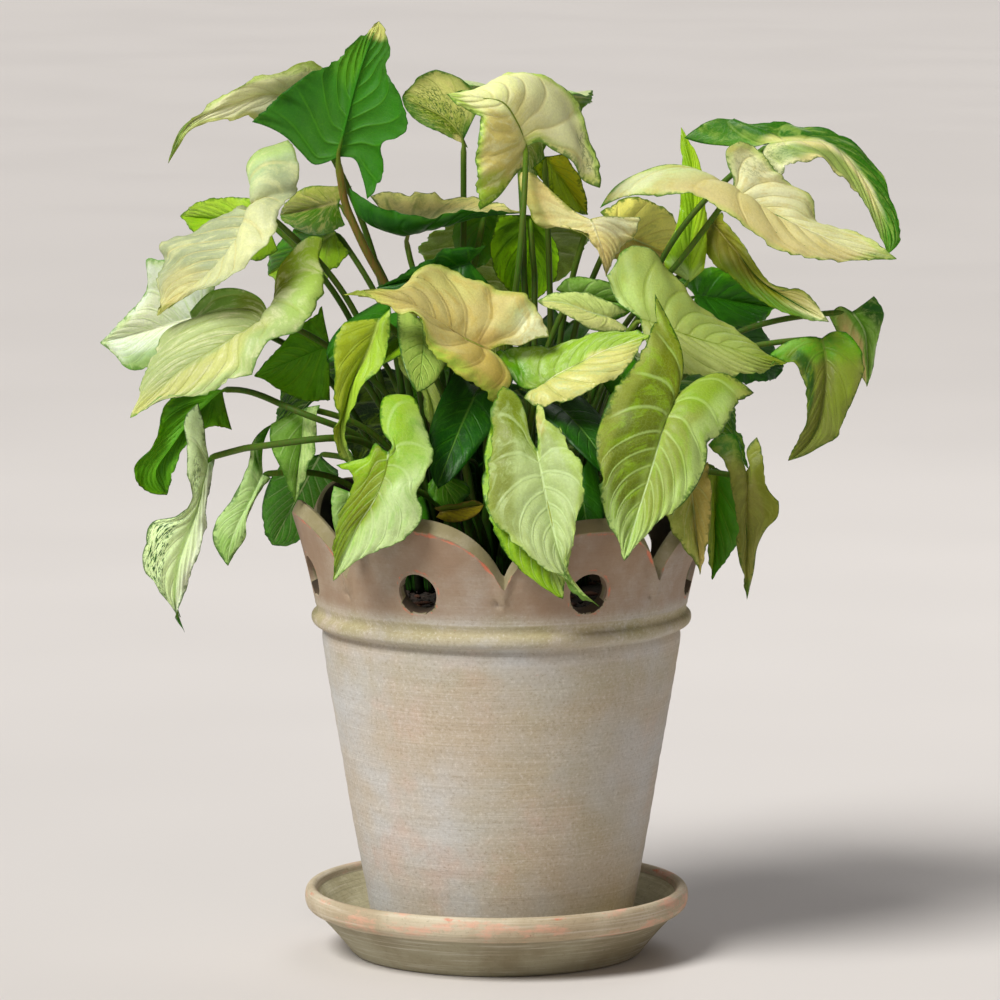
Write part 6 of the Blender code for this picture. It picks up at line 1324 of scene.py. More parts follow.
        # the map: across to the right, along upward, one block for each face
        x = 0.008 + 0.5 * under + 0.476 * (uu + 1) / 2
        y = 0.075 + 0.915 * vv
        xy = np.stack((x, y), -1).reshape(-1, 2)
        idx = sheet_quads(rows, cols, 0, flip=bool(under))
        skin.quads(idx + first, xy[idx])
        if not under:
            upper_xy = xy
    # the margin that closes the two faces, at A and B's sides and the cleft
    ring = ([r * cols for r in range(rows)], [r * cols + cols - 1 for r in range(rows)],
            list(range(cols)))
    for which, line in enumerate(ring):
        a = np.array(line[:-1])
        b = np.array(line[1:])
        t, w = sheets
        out = {0: (-0.004, 0), 1: (0.004, 0), 2: (0, -0.004)}[which]
        ua, ub = upper_xy[a], upper_xy[b]
        shift = np.array(out)
        q = np.stack((t + a, t + b, w + b, w + a), -1)
        uv = np.stack((ua, ub, ub + shift, ua + shift), 1)
        if which != 0:
            q, uv = q[:, ::-1], uv[:, ::-1]
        skin.quads(q, uv)

    # keel under the midrib and, unless bare, the stalk down to the soil
    vk = np.linspace(0.0, 0.93, 26)
    kp, kn = leaf.surface(np.zeros(26), vk, normals=True)
    keel_r = (0.86 * (1 - vk) ** 0.8 + 0.14) * k * leaf.stalk_k
    keel = kp - kn * (keel_r + 0.66 * k)[:, None]
    if leaf.bare:
        path, radii, tags = keel, keel_r, np.zeros(26)
    else:
        stem = Curve(leaf.path[1:])(np.linspace(0, 1, 70))[::-1]
        r = STALK_R * leaf.stalk_k * (1.06 + 0.10 * np.linspace(1, 0, 70) ** 1.2)
        if leaf.name == "leaf_top_left_green":
            r = r * 1.35
        low_down = np.linspace(0, 1, 70)
        r = r * (1 + 0.42 * np.exp(-(low_down / 0.34) ** 2) + 0.22 * np.exp(-(low_down / 0.06) ** 2))
        join = np.concatenate((stem[:-1], keel[2:]))
        radii = np.concatenate((r[:-1], keel_r[2:]))
        radii[68] = 0.5 * (radii[66] + radii[70])
        path = join
        tags = np.concatenate((np.linspace(0.0, 1.0, 69), np.full(24, 2.0)))
    m = len(path)
    on_blade = np.ones(m) if leaf.bare else np.concatenate((np.zeros(66), np.linspace(0.1, 1.0, 9), np.ones(m - 75)))
    # deep blends each stalk into the dark foot tone toward the soil: painted shade
    deep = np.zeros(m) if leaf.bare else np.clip(1 - np.arange(m) / 66.0, 0, 1) ** 0.6
    shoot = tone(look.stalk) * (1 - 0.86 * deep)[:, None] + tone("foot") * (0.86 * deep)[:, None]
    shoot = shoot * (1 - on_blade)[:, None] + tone(look.U or "moss") * on_blade[:, None]
    if not leaf.bare:
        # inside the pot the stalks are painted darker the lower they go: painted shade
        pit = np.hypot(path[:, 0] - POT_X, path[:, 1]) < 86.0
        shoot = shoot * np.where(pit, np.clip((path[:, 2] - 188.0) / 44.0, 0.14, 1.0), 1.0)[:, None]
    wing = np.zeros(m)
    if not leaf.bare:
        wing[:69] = 0.85 * np.exp(-((np.linspace(0, 1, 69) - 0.08) / 0.26) ** 2)
    tube(skin, path, radii, 10, (0.008, 0.066), flat=0.10, wing=wing,
         leafco=np.stack((np.zeros(m), np.linspace(0, 1, m), np.full(m, 0.25)), -1),
         edge_mm=np.full(m, 20.0), rib_mm=np.full(m, 20.0), under=np.ones(m),
         tint=np.concatenate((shoot, np.ones((m, 1))), 1), fleck=np.zeros(m),
         stalk=1.0 - 0.5 * on_blade, pitch=np.full(m, pitch))
    name = leaf.name[5:] + "_leaf"
    obj = skin.build(name, merge=2e-6)
    obj.data.materials.append(leaf_skin(name, look, leaf.seed))
    return obj


def leaf_skin(name, look, seed):
    """Leaf tissue: tone by zone, streaks that follow the side veins, veins,
    flecks, a thin margin line, and a softer, duller underside."""
    m = Nodes(name + "_skin")
    co = m.att("leafco").outputs["Vector"]
    u, v, f = m.split(co)
    tint = m.att("tint").outputs["Color"]
    edge = m.att("edge_mm").outputs["Fac"]
    rib = m.att("rib_mm").outputs["Fac"]
    under = m.att("under").outputs["Fac"]
    stalk = m.att("stalk").outputs["Fac"]
    fleck = m.att("fleck").outputs["Fac"]
    pitch = m.att("pitch").outputs["Fac"]
    here = m.where()
    blade = m.math("SUBTRACT", 1.0, stalk, clamp=True)
    s = m.math("ABSOLUTE", u)

    # streaks between the veins
    lane = m.vec(m.math("MULTIPLY", u, 2.6), m.math("MULTIPLY", f, 1.7), float(seed) * 3.1)
    streak = m.noise(lane, 1.6, 5.0, 0.62, 0.6)
    colour = m.mix(
        m.math("MULTIPLY", m.ramp(streak, 0.46, 0.66), look.splash[1]),
        tint, tuple(tone(look.splash[0])))
    # broad light and dark, and a fine grain of cells
    broad = m.noise(here, 26.0, 2.0)
    colour = m.mix(m.ramp(broad, 0.3, 0.72, 0.0, 0.20), colour, (0.05, 0.09, 0.02))
    grain = m.noise(here, 900.0, 2.0)
    colour = m.mix(m.ramp(grain, 0.3, 0.7, 0.0, 0.10), colour, (0.02, 0.05, 0.01))
    colour = m.mix(stalk, colour, tint)

    # side veins: 0 on the vein, in mm
    frac = m.math("FRACT", f)
    away = m.math("MULTIPLY", m.math("ABSOLUTE", m.math("SUBTRACT", frac, 0.0)), pitch)
    away2 = m.math("MULTIPLY", m.math("ABSOLUTE", m.math("SUBTRACT", 1.0, frac)), pitch)
    d = m.math("MINIMUM", away, away2)
    width = m.ramp(s, 0.1, 1.0, 0.60, 0.26)
    lateral = m.ramp(d, width, 0.05)
    fade = m.math("MULTIPLY", m.ramp(s, 0.98, 0.75), m.ramp(edge, 1.0, 4.0))
    lateral = m.math("MULTIPLY", lateral, fade)
    rib_w = m.ramp(v, 0.0, 1.0, 1.05, 0.35)
    midrib = m.math("MULTIPLY", m.ramp(rib, rib_w, 0.15), m.ramp(v, 1.0, 0.9))
    net = m.math("MULTIPLY", m.ramp(m.cells(here, 460.0, "DISTANCE_TO_EDGE"), 0.12, 0.02), m.ramp(edge, 0.6, 2.0))
    net = m.math("MULTIPLY", net, blade)
    lateral = m.math("MULTIPLY", lateral, blade)
    midrib = m.math("MULTIPLY", midrib, blade)
    colour = m.mix(m.math("MULTIPLY", net, 0.05 * (0.5 + look.vein[1])), colour, tuple(tone(look.vein[0])))
    colour = m.mix(m.math("MULTIPLY", lateral, 0.62 * look.vein[1]), colour, tuple(tone(look.vein[0])))
    colour = m.mix(m.math("MULTIPLY", midrib, look.rib[1]), colour, tuple(tone(look.rib[0])))

    # dark flecks, long along the veins
    lane2 = m.vec(m.math("MULTIPLY", u, 11.0), m.math("MULTIPLY", f, 3.4), float(seed))
    spots = m.ramp(m.noise(lane2, 1.7, 4.0, 0.7, 0.4), 0.50, 0.56)
    colour = m.mix(m.math("MULTIPLY", spots, fleck), colour, tuple(tone("dark")))

    # the margin, uneven in width
    ragged = m.math("ADD", m.math("MULTIPLY", m.noise(here, 480.0, 2.0), 0.5), m.math("MULTIPLY", m.noise(here, 95.0, 3.0, 0.6), 0.5))
    reach = m.math("MULTIPLY", m.ramp(ragged, 0.42, 0.66, 0.6, 4.2), look.rim_w)
    rim = m.math("MULTIPLY", m.ramp(edge, reach, 0.0), look.rim[1])
    rim = m.math("MULTIPLY", rim, blade)
    colour = m.mix(rim, colour, tuple(tone(look.rim[0])))

    # ribs and shade along the stalk
    lane3 = m.vec(m.math("MULTIPLY", v, 1.2), 0.0, 0.0)
    colour = m.mix(m.math("MULTIPLY", stalk, m.ramp(m.noise(m.place(here, (900, 900, 30)), 1.0, 2.0), 0.35, 0.7, 0.0, 0.55)), colour, tuple(tone("leaf")))
    m.set(Base_Color=colour)

    height = m.math("ADD", m.math("MULTIPLY", lateral, -0.9), m.math("MULTIPLY", net, -0.14))
    height = m.math("ADD", height, m.math("MULTIPLY", midrib, -1.0))
    height = m.math("ADD", height, m.math("MULTIPLY", m.noise(here, 700.0, 3.0), 0.35))
    height = m.math("ADD", height, m.math("MULTIPLY", m.noise(here, 160.0, 2.0), 0.8))
    m.set(Normal=m.bump(height, 0.55, 0.0005))
    rough = m.ramp(m.noise(here, 60.0, 3.0), 0.3, 0.7, look.gloss - 0.06, look.gloss + 0.10)
    rough = m.math("ADD", rough, m.math("MULTIPLY", under, 0.16))
    m.set(Roughness=rough)
    m.shader.inputs["IOR"].default_value = 1.42
    m.shader.inputs["Specular IOR Level"].default_value = 0.25
    m.shader.inputs["Subsurface Weight"].default_value = 0.13
    m.shader.inputs["Subsurface Radius"].default_value = (0.9, 1.0, 0.3)
    m.shader.inputs["Subsurface Scale"].default_value = 0.0026
    return m.mat


# ------------------------------------------------------------------- clay
def ring_skin(rows, steps, at_x=0.0, closed=True, rows_att=None):
    """A turned skin from rows of (radius, height) arrays over the angle, each
    (steps,), in mm. Row k runs down the outer side and up the inner one."""
    skin = Skin()
    a = np.linspace(0, 2 * math.pi, steps + 1)[:-1] - math.pi / 2
    pts, n = [], len(rows)
    for r, z in rows:
        r, z = np.broadcast_to(r, (steps,)), np.broadcast_to(z, (steps,))
        pts.append(np.stack((at_x + r * np.cos(a), r * np.sin(a), z), -1))
    p = np.stack(pts)
    att = {k: np.stack([np.broadcast_to(x, (steps,)) for x in v]) for k, v in (rows_att or {}).items()}
    skin.points(p, **att)
    k = np.arange(n if closed else n - 1)
    kk, cc = np.meshgrid(k, np.arange(steps), indexing="ij")
    kk, cc = kk.ravel(), cc.ravel()
    nn = (kk + 1) % n
    dd = (cc + 1) % steps
    q = np.stack((kk * steps + cc, nn * steps + cc, nn * steps + dd, kk * steps + dd), -1)
    # the map: around to the right, the profile's own length upward
    mean = p.mean(1)
    prof = np.stack((np.hypot(mean[:, 0] - at_x, 0) * 0 + np.array([np.mean(np.broadcast_to(r, (steps,))) for r, _ in rows]), mean[:, 2]), -1)
    length = np.concatenate(([0.0], np.cumsum(np.linalg.norm(np.diff(np.vstack([prof, prof[:1]]), axis=0), axis=1) + 0.05)))
    y = 0.004 + 0.992 * length / length[-1]
    x = 0.003 + 0.994 * np.arange(steps + 1) / steps
    uv = np.stack((
        np.stack((x[cc], y[kk]), -1), np.stack((x[cc], y[kk + 1]), -1),
        np.stack((x[cc + 1], y[kk + 1]), -1), np.stack((x[cc + 1], y[kk]), -1)), 1)
    skin.quads(q, uv)
    return skin, p


def round_rows(points, steps_mm=2.0):
    """A profile of points (r, z[, tag]) read densely along a smooth curve."""
    c = Curve(np.array([(r, 0.0, z) for r, z in points]))
    n = max(int(np.linalg.norm(np.diff(np.array(points, float), axis=0), axis=1).sum() / steps_mm), 3)
    q = c(np.linspace(0, 1, n + 1))
    return [(x[0], x[2]) for x in q]


STEPS = SCALLOPS * 56
TURN = np.linspace(0, 360, STEPS + 1)[:-1] - 90.0  # degrees, as ring_skin's angle
EDGE = np.array([scallop(a) for a in TURN])
PITCH = 360.0 / SCALLOPS
OFF_NOTCH = ((TURN + 90.0 - NOTCH_TURN + PITCH / 2) % PITCH) - PITCH / 2  # degrees


def collar_v(z):
    f = np.clip((z - BAND_TOP_Z) / (SCALLOP_TOP_Z - BAND_TOP_Z), 0, 1)
    return 92.5 + (COLLAR_R - 92.5) * (0.78 * f + 0.22 * f * f)


def make_pot():
    # the lobe's height follows the scallop, eased where lobes meet in a notch
    edge = EDGE + 0.7 * noise(np.stack((TURN / 17.0, 0 * TURN, 0 * TURN + 2.0), -1), 5)
    rows, wear, green, where = [], [], [], []

    def row(r, z, w=0.0, g=0.0, kind=0.0):
        rows.append((r, z))
        wear.append(np.broadcast_to(w, (STEPS,)))
        green.append(np.broadcast_to(g, (STEPS,)))
        where.append(np.broadcast_to(kind, (STEPS,)))

    inner_edge_r = collar_v(edge) - POT_WALL + 0.4
    # down the outer side: chamfer, collar, band, body, foot
    cut = RIM_CHAMFER + 1.1
    for t in np.linspace(0, 1, 6):
        r = (collar_v(edge) - RIM_CHAMFER) * (1 - t) + (collar_v(edge - cut)) * t
        z = edge * (1 - t) + (edge - cut) * t + 0.5 * math.sin(math.pi * t)
        row(r, z, w=(0.10 + 0.50 * step(0.6, 1.0, np.array(t))), g=0.7, kind=1.0)
    foot = 178.5
    for t in np.linspace(0, 1, 34)[1:]:
        z = (edge - cut) * (1 - t) + foot * t
        below = (edge - cut) - z
        r = collar_v(z)
        pinch = 1.5 * np.exp(-(OFF_NOTCH / 2.2) ** 2) * step(13.0, 3.0, below)
        hollow = -0.9 * np.exp(-((np.abs(OFF_NOTCH) - 4.4) / 2.2) ** 2) * step(14.0, 4.0, below)
        pit = -1.9 * np.exp(-((OFF_NOTCH + 1.9) / 0.75) ** 2 - ((z - 188.6) / 1.5) ** 2)
        r = r + pinch + hollow + pit
        w = (0.80 + 0.30 * np.sin(np.radians((TURN + 90.0) * SCALLOPS + 200.0))) * np.exp(-(below / 2.9) ** 2) + 0.30 * np.exp(-((np.abs(OFF_NOTCH) - 5.0) / 1.6) ** 2) * step(12.0, 5.0, below)
        row(r, z, w=w, g=0.15 + 0.3 * np.exp(-(OFF_NOTCH / 4.0) ** 2))
    for r, z in round_rows([(collar_v(178.5) - 0.1, 177.6), (92.6, 175.8), (92.5, 174.3), (92.9, 173.4), (93.9, 172.8), (94.8, 171.8), (95.1, 170.4), (95.0, 169.0), (94.3, 167.6), (92.8, 166.6), (90.6, 166.1), (89.3, 165.7), (88.9, 164.9), (89.2, 163.8), (89.6, 162.4), (89.6, 158.5)], 0.7):
        row(r, z, w=0.16 * math.exp(-((z - 170.5) / 2.0) ** 2), g=0.95 * math.exp(-((z - 173.5) / 6.5) ** 2))
    body_top, body_low = (89.6, 158.5), (POT_FOOT_R + 1.3, POT_Z + 4.2)
    for t in np.linspace(0, 1, 62)[1:]:
        r = body_top[0] * (1 - t) + body_low[0] * t
        z = body_top[1] * (1 - t) + body_low[1] * t
        belly = 0.5 * math.sin(math.pi * t)
        ripple = 0.07 * math.sin(z * 0.5) + 0.05 * math.sin(z * 1.7 + 1.0)
        row(r + belly + ripple, z, g=0.25 * math.exp(-((z - 150.0) / 12.0) ** 2))
    for r, z in round_rows([body_low, (POT_FOOT_R + 0.5, POT_Z + 1.6), (POT_FOOT_R - 0.8, POT_Z + 0.35), (POT_FOOT_R - 3.0, POT_Z)], 0.9)[1:]:
        row(r, z, w=0.25)
    # underside, drain hole, floor, inner wall, collar inside
    for r, z in [(50.0, POT_Z), (30.0, POT_Z), (DRAIN_R + 2.0, POT_Z), (DRAIN_R + 0.4, POT_Z + 0.6), (DRAIN_R, POT_Z + 2.0),
                 (DRAIN_R, POT_Z + POT_FLOOR - 1.5), (DRAIN_R + 1.5, POT_Z + POT_FLOOR), (30.0, POT_Z + POT_FLOOR), (48.0, POT_Z + POT_FLOOR)]:
        row(r, z, kind=2.0)
    inner = [(POT_FOOT_R - POT_WALL - 3.0, POT_Z + POT_FLOOR + 0.3), (POT_FOOT_R - POT_WALL - 1.0, POT_Z + POT_FLOOR + 3.0), (POT_NECK_R - POT_WALL, NECK_Z), (collar_v(176.0) - POT_WALL, 176.0)]
    for a, b in zip(inner[:-1], inner[1:]):
        for t in np.linspace(0, 1, 2 + int((b[1] - a[1]) / 9.0))[:-1]:
            row(a[0] + (b[0] - a[0]) * t, a[1] + (b[1] - a[1]) * t, kind=2.0)
    for t in np.linspace(0, 1, 22)[1:]:
        z = 176.0 * (1 - t) + (edge - 1.0) * t
        row(collar_v(z) - POT_WALL, z, kind=2.0, w=0.3 * step(0.9, 1.0, np.array(t)))
    row(inner_edge_r, edge - 0.25, w=0.35, g=0.4, kind=1.0)
    # the hand that made it: a little out of round, everywhere the same way
    out = []
    for r, z in rows:
        r, z = np.broadcast_to(r, (STEPS,)).astype(float), np.broadcast_to(z, (STEPS,)).astype(float)
        a = np.radians(TURN)
        q = np.stack((np.cos(a) * 2.1, np.sin(a) * 2.1, z / 34.0), -1)
        big = 0.30 * noise(q, 21) + 0.14 * noise(q * 3.1, 22)
        out.append((r + big * step(12.0, 30.0, r), z))
    skin, p = ring_skin(out, STEPS, POT_X, rows_att={"wear": wear, "green": green, "zone": where})
    obj = skin.build("pot_clay")
    # one round hole under each lobe, with a worn cone around it
    cutters = []
    for k in range(SCALLOPS):
        a = math.radians(-90.0 + NOTCH_TURN + (k + 0.5) * PITCH)
        face = collar_r(HOLE_Z)
        for r1, r2, depth, mid in ((HOLE_R + 0.5, HOLE_R + 0.5, 30.0, face - POT_WALL / 2), (HOLE_R - 0.9, HOLE_R + 2.6, 4.6, face + 0.6)):
            mesh = bpy.data.meshes.new("cut")
            bm = bmesh.new()
            bmesh.ops.create_cone(bm, cap_ends=True, segments=48, radius1=r1 * 0.001, radius2=r2 * 0.001, depth=depth * 0.001)
            bm.to_mesh(mesh)
            bm.free()
            cut = bpy.data.objects.new("cut", mesh)
            bpy.context.scene.collection.objects.link(cut)
            out_way = Vector((math.cos(a), math.sin(a), -0.28)).normalized()
            cut.rotation_mode = "QUATERNION"
            cut.rotation_quaternion = out_way.to_track_quat("Z", "Y")
            cut.location = Vector((POT_X + mid * math.cos(a), mid * math.sin(a), HOLE_Z - 0.28 * (mid - face))) * 0.001
            cutters.append(cut)
    for cut in cutters:
        mod = obj.modifiers.new("hole", "BOOLEAN")
        mod.operation, mod.solver, mod.object = "DIFFERENCE", "MANIFOLD", cut
    bpy.context.view_layer.update()
    deps = bpy.context.evaluated_depsgraph_get()
    mesh = bpy.data.meshes.new_from_object(obj.evaluated_get(deps))
    obj.modifiers.clear()
    obj.data = mesh
    for cut in cutters:
        bpy.data.objects.remove(cut)
    mesh.materials.clear()
    mesh.shade_smooth()
    mesh.set_sharp_from_angle(angle=math.radians(38))
    # wear on the edge of each hole
    co = np.zeros(len(mesh.vertices) * 3)
    mesh.vertices.foreach_get("co", co)
    co = co.reshape(-1, 3) * 1000
    w = np.zeros(len(co), np.float32)
    mesh.attributes["wear"].data.foreach_get("value", w)
    kind = np.zeros(len(co), np.float32)
    mesh.attributes["zone"].data.foreach_get("value", kind)
    for k in range(SCALLOPS):
        a = math.radians(-90.0 + NOTCH_TURN + (k + 0.5) * PITCH)
        d = co - np.array((POT_X, 0.0, HOLE_Z))
        out_way = np.array((math.cos(a), math.sin(a), 0.0))
        ahead = d @ out_way
        side = d @ np.array((-math.sin(a), math.cos(a), 0.0))
        far = np.hypot(side, d[:, 2])
        face = collar_r(HOLE_Z)
        on = (ahead > 60)
        ring = np.exp(-((far - HOLE_R - 1.9) / 1.2) ** 2) * (ahead > face - 3.5)
        w = np.maximum(w, np.where(on, 0.80 * ring, 0.0)).astype(np.float32)
        # the bore of each hole takes the very dark inside colour: painted shade in the hole
        bore = on & (far < HOLE_R + 1.0) & (ahead < face - 0.9) & (ahead > face - POT_WALL - 3.0)
        kind[bore] = 2.0
    mesh.attributes["wear"].data.foreach_set("value", w)
    mesh.attributes["zone"].data.foreach_set("value", kind)
    mesh.materials.append(clay("pot_wash"))
    return obj


def clay(name, saucer=False):
    """Fired clay under a thin wash, brushed on around the turning axis, rubbed
    through to orange on edges and tinted green where it stays damp."""
    m = Nodes(name)
    here = m.where()
    wear = m.att("wear").outputs["Fac"]
    green = m.att("green").outputs["Fac"]
    zone = m.att("zone").outputs["Fac"]
    pale = tuple(lin((189, 190, 189)))
    warm = tuple(lin((182, 166, 142)))
    ochre = tuple(lin((166, 154, 112)))
    damp = tuple(lin((140, 136, 84)))
    pink = tuple(lin((198, 168, 150)))
    rust = tuple(lin((204, 116, 86)))
    brushed = m.place(here, (16, 16, 1500))
    cloud = m.noise(here, 16.0, 4.0, 0.6, 0.3)
    strokes = m.noise(brushed, 1.0, 5.0, 0.65)
    colour = m.mix(m.ramp(cloud, 0.24, 0.76), pale, warm)
    colour = m.mix(m.ramp(m.noise(m.place(here, (1, 1, 1), (3, 1, 2)), 9.0, 3.0), 0.48, 0.74, 0.0, 0.55), colour, ochre)
    colour = m.mix(m.ramp(m.noise(m.place(here, (1, 1, 1), (7, 4, 1)), 24.0, 4.0, 0.6), 0.54, 0.74, 0.0, 0.5), colour, pink)
    colour = m.mix(m.ramp(strokes, 0.46, 0.70, 0.0, 0.16), colour, tuple(lin((144, 130, 106))))
    colour = m.mix(m.ramp(strokes, 0.50, 0.28, 0.0, 0.16), colour, tuple(lin((236, 231, 222))))
    mossy = m.math("MULTIPLY", green, m.ramp(m.noise(here, 55.0, 4.0, 0.6), 0.22, 0.55))
    colour = m.mix(m.math("MULTIPLY", mossy, 0.85), colour, ochre)
    colour = m.mix(m.math("MULTIPLY", mossy, m.ramp(m.noise(m.place(here, (1, 1, 1), (1, 9, 4)), 40.0, 3.0), 0.45, 0.7, 0.0, 0.6)), colour, damp)
    speck = m.noise(here, 620.0, 4.0, 0.75)
    colour = m.mix(m.ramp(speck, 0.52, 0.72, 0.0, 0.45), colour, tuple(lin((128, 112, 84))))
    colour = m.mix(m.ramp(speck, 0.48, 0.30, 0.0, 0.35), colour, tuple(lin((226, 222, 214))))
    # the cut band along the scallops is greener
    band = m.math("MULTIPLY", m.ramp(zone, 0.4, 0.8), m.ramp(zone, 1.7, 1.4))
    colour = m.mix(m.math("MULTIPLY", band, m.ramp(m.noise(here, 60.0, 4.0), 0.3, 0.6, 0.5, 0.95)), colour, tuple(lin((130, 120, 82))))
    # the collar is painted darker and browner in patches: painted shade under the foliage and under the collar's
    # downward flare
    tall = m.split(here)[2]
    flush = m.math("MULTIPLY", m.ramp(tall, 0.176, 0.186), m.ramp(m.noise(here, 30.0, 4.0, 0.6), 0.25, 0.65, 0.45, 0.9))
    colour = m.mix(m.math("MULTIPLY", flush, m.ramp(zone, 0.8, 0.4)), colour, tuple(lin((142, 115, 90))))
    # dark pinholes and small scuffs
    pits = m.ramp(m.cells(here, 95.0), 0.055, 0.02)
    some = m.ramp(m.noise(here, 38.0, 2.0), 0.55, 0.64)
    pits = m.math("MULTIPLY", pits, some)
    colour = m.mix(m.math("MULTIPLY", pits, 0.7), colour, tuple(lin((96, 84, 62))))
    # rubbed edges, and a few stray touches of the same clay
    broken = m.noise(here, 130.0, 4.0, 0.7)
    rubbed = m.ramp(m.math("ADD", wear, m.math("MULTIPLY", m.math("SUBTRACT", broken, 0.5), 1.5)), 0.62, 0.95)
    colour = m.mix(m.math("MULTIPLY", rubbed, 0.88), colour, rust)
    stray = m.math("MULTIPLY", m.ramp(m.noise(m.place(here, (60, 60, 200)), 1.0, 4.0, 0.75), 0.69, 0.78), 0.5)
    colour = m.mix(stray, colour, rust)
    # inside, underneath and in the bores of the holes: bare, damp clay, painted very dark, which also stands for the
    # shade inside the pot
    inside = m.ramp(zone, 1.4, 1.6)
    bare = m.mix(m.ramp(m.noise(here, 45.0, 4.0), 0.35, 0.65), tuple(lin((78, 62, 44))), tuple(lin((48, 38, 27))))
    colour = m.mix(inside, colour, bare)
    m.set(Base_Color=colour)
    h = m.math("ADD", m.math("MULTIPLY", strokes, 0.45), m.math("MULTIPLY", m.noise(here, 420.0, 5.0, 0.7), 0.8))
    h = m.math("ADD", h, m.math("MULTIPLY", m.noise(m.place(here, (30, 30, 90)), 1.0, 3.0), 0.9))
    h = m.math("ADD", h, m.math("MULTIPLY", pits, -1.6))
    h = m.math("ADD", h, m.math("MULTIPLY", rubbed, -0.5))
    m.set(Normal=m.bump(h, 0.5, 0.0006))
    m.set(Roughness=m.ramp(m.noise(here, 70.0, 3.0), 0.3, 0.7, 0.74, 0.90))
    return m.mat


def make_saucer():
    steps = 300
    outer = [
        (90.4, 30.6), (91.0, 32.4), (92.6, 33.6), (94.4, 33.5), (95.8, 32.0), (96.5, 29.4), (96.4, 26.6), (95.4, 23.6), (93.4, 21.8), (91.2, 21.0),
        (87.0, 17.0), (80.5, 9.8), (75.2, 3.4), (73.4, 1.1), (72.2, 0.15), (70.5, 0.0),
    ]
    rows, wear, green, zone = [], [], [], []
    turn = np.linspace(0, 2 * math.pi, steps + 1)[:-1]
    lump = noise(np.stack((np.cos(turn) * 2.5, np.sin(turn) * 2.5, 0 * turn), -1), 31)

    def row(r, z, w=0.0, g=0.0, kind=0.0, k=1.0):
        rows.append((r + 0.28 * lump * k, z + 0.0 * lump))
        wear.append(np.full(steps, w))
        green.append(np.full(steps, g))
        zone.append(np.full(steps, kind))

    for i, (r, z) in enumerate(round_rows(outer, 0.95)):
        high = z > 20.5
        w = (0.50 * math.exp(-((z - 32.6) / 1.6) ** 2) + 0.38 * math.exp(-((z - 22.0) / 1.5) ** 2)) if high else 0.10
        row(r, z, w=w, g=0.10 if high else 0.75, k=min(1.0, z / 10.0))
    for r, z in [(55.0, 0.0), (35.0, 0.0), (15.0, 0.0), (1.0, 0.0)]:
        row(r, z, kind=2.0, k=0)
    for r, z in [(1.0, SAUCER_FLOOR - 0.1), (12.0, SAUCER_FLOOR - 0.1), (30.0, SAUCER_FLOOR - 0.1), (45.0, SAUCER_FLOOR - 0.1), (58.0, SAUCER_FLOOR - 0.1)]:
        row(r, z, g=1.0, kind=1.0, k=0)
    inner = [(62.0, SAUCER_FLOOR - 0.1), (68.0, SAUCER_FLOOR + 0.1), (73.0, SAUCER_FLOOR + 2.6), (79.0, SAUCER_FLOOR + 9.5), (84.6, SAUCER_FLOOR + 16.4), (87.3, SAUCER_FLOOR + 19.8), (89.2, 29.0)]
    for r, z in round_rows(inner, 1.6):
        row(r, z, w=0.2 * (z > 27), g=0.9, kind=1.0, k=0.4)
    skin, p = ring_skin(rows, steps, 0.0, rows_att={"wear": wear, "green": green, "zone": zone})
    obj = skin.build("saucer_dish")
    obj.data.materials.append(saucer_clay())
    obj.data.set_sharp_from_angle(angle=math.radians(50))
    return obj


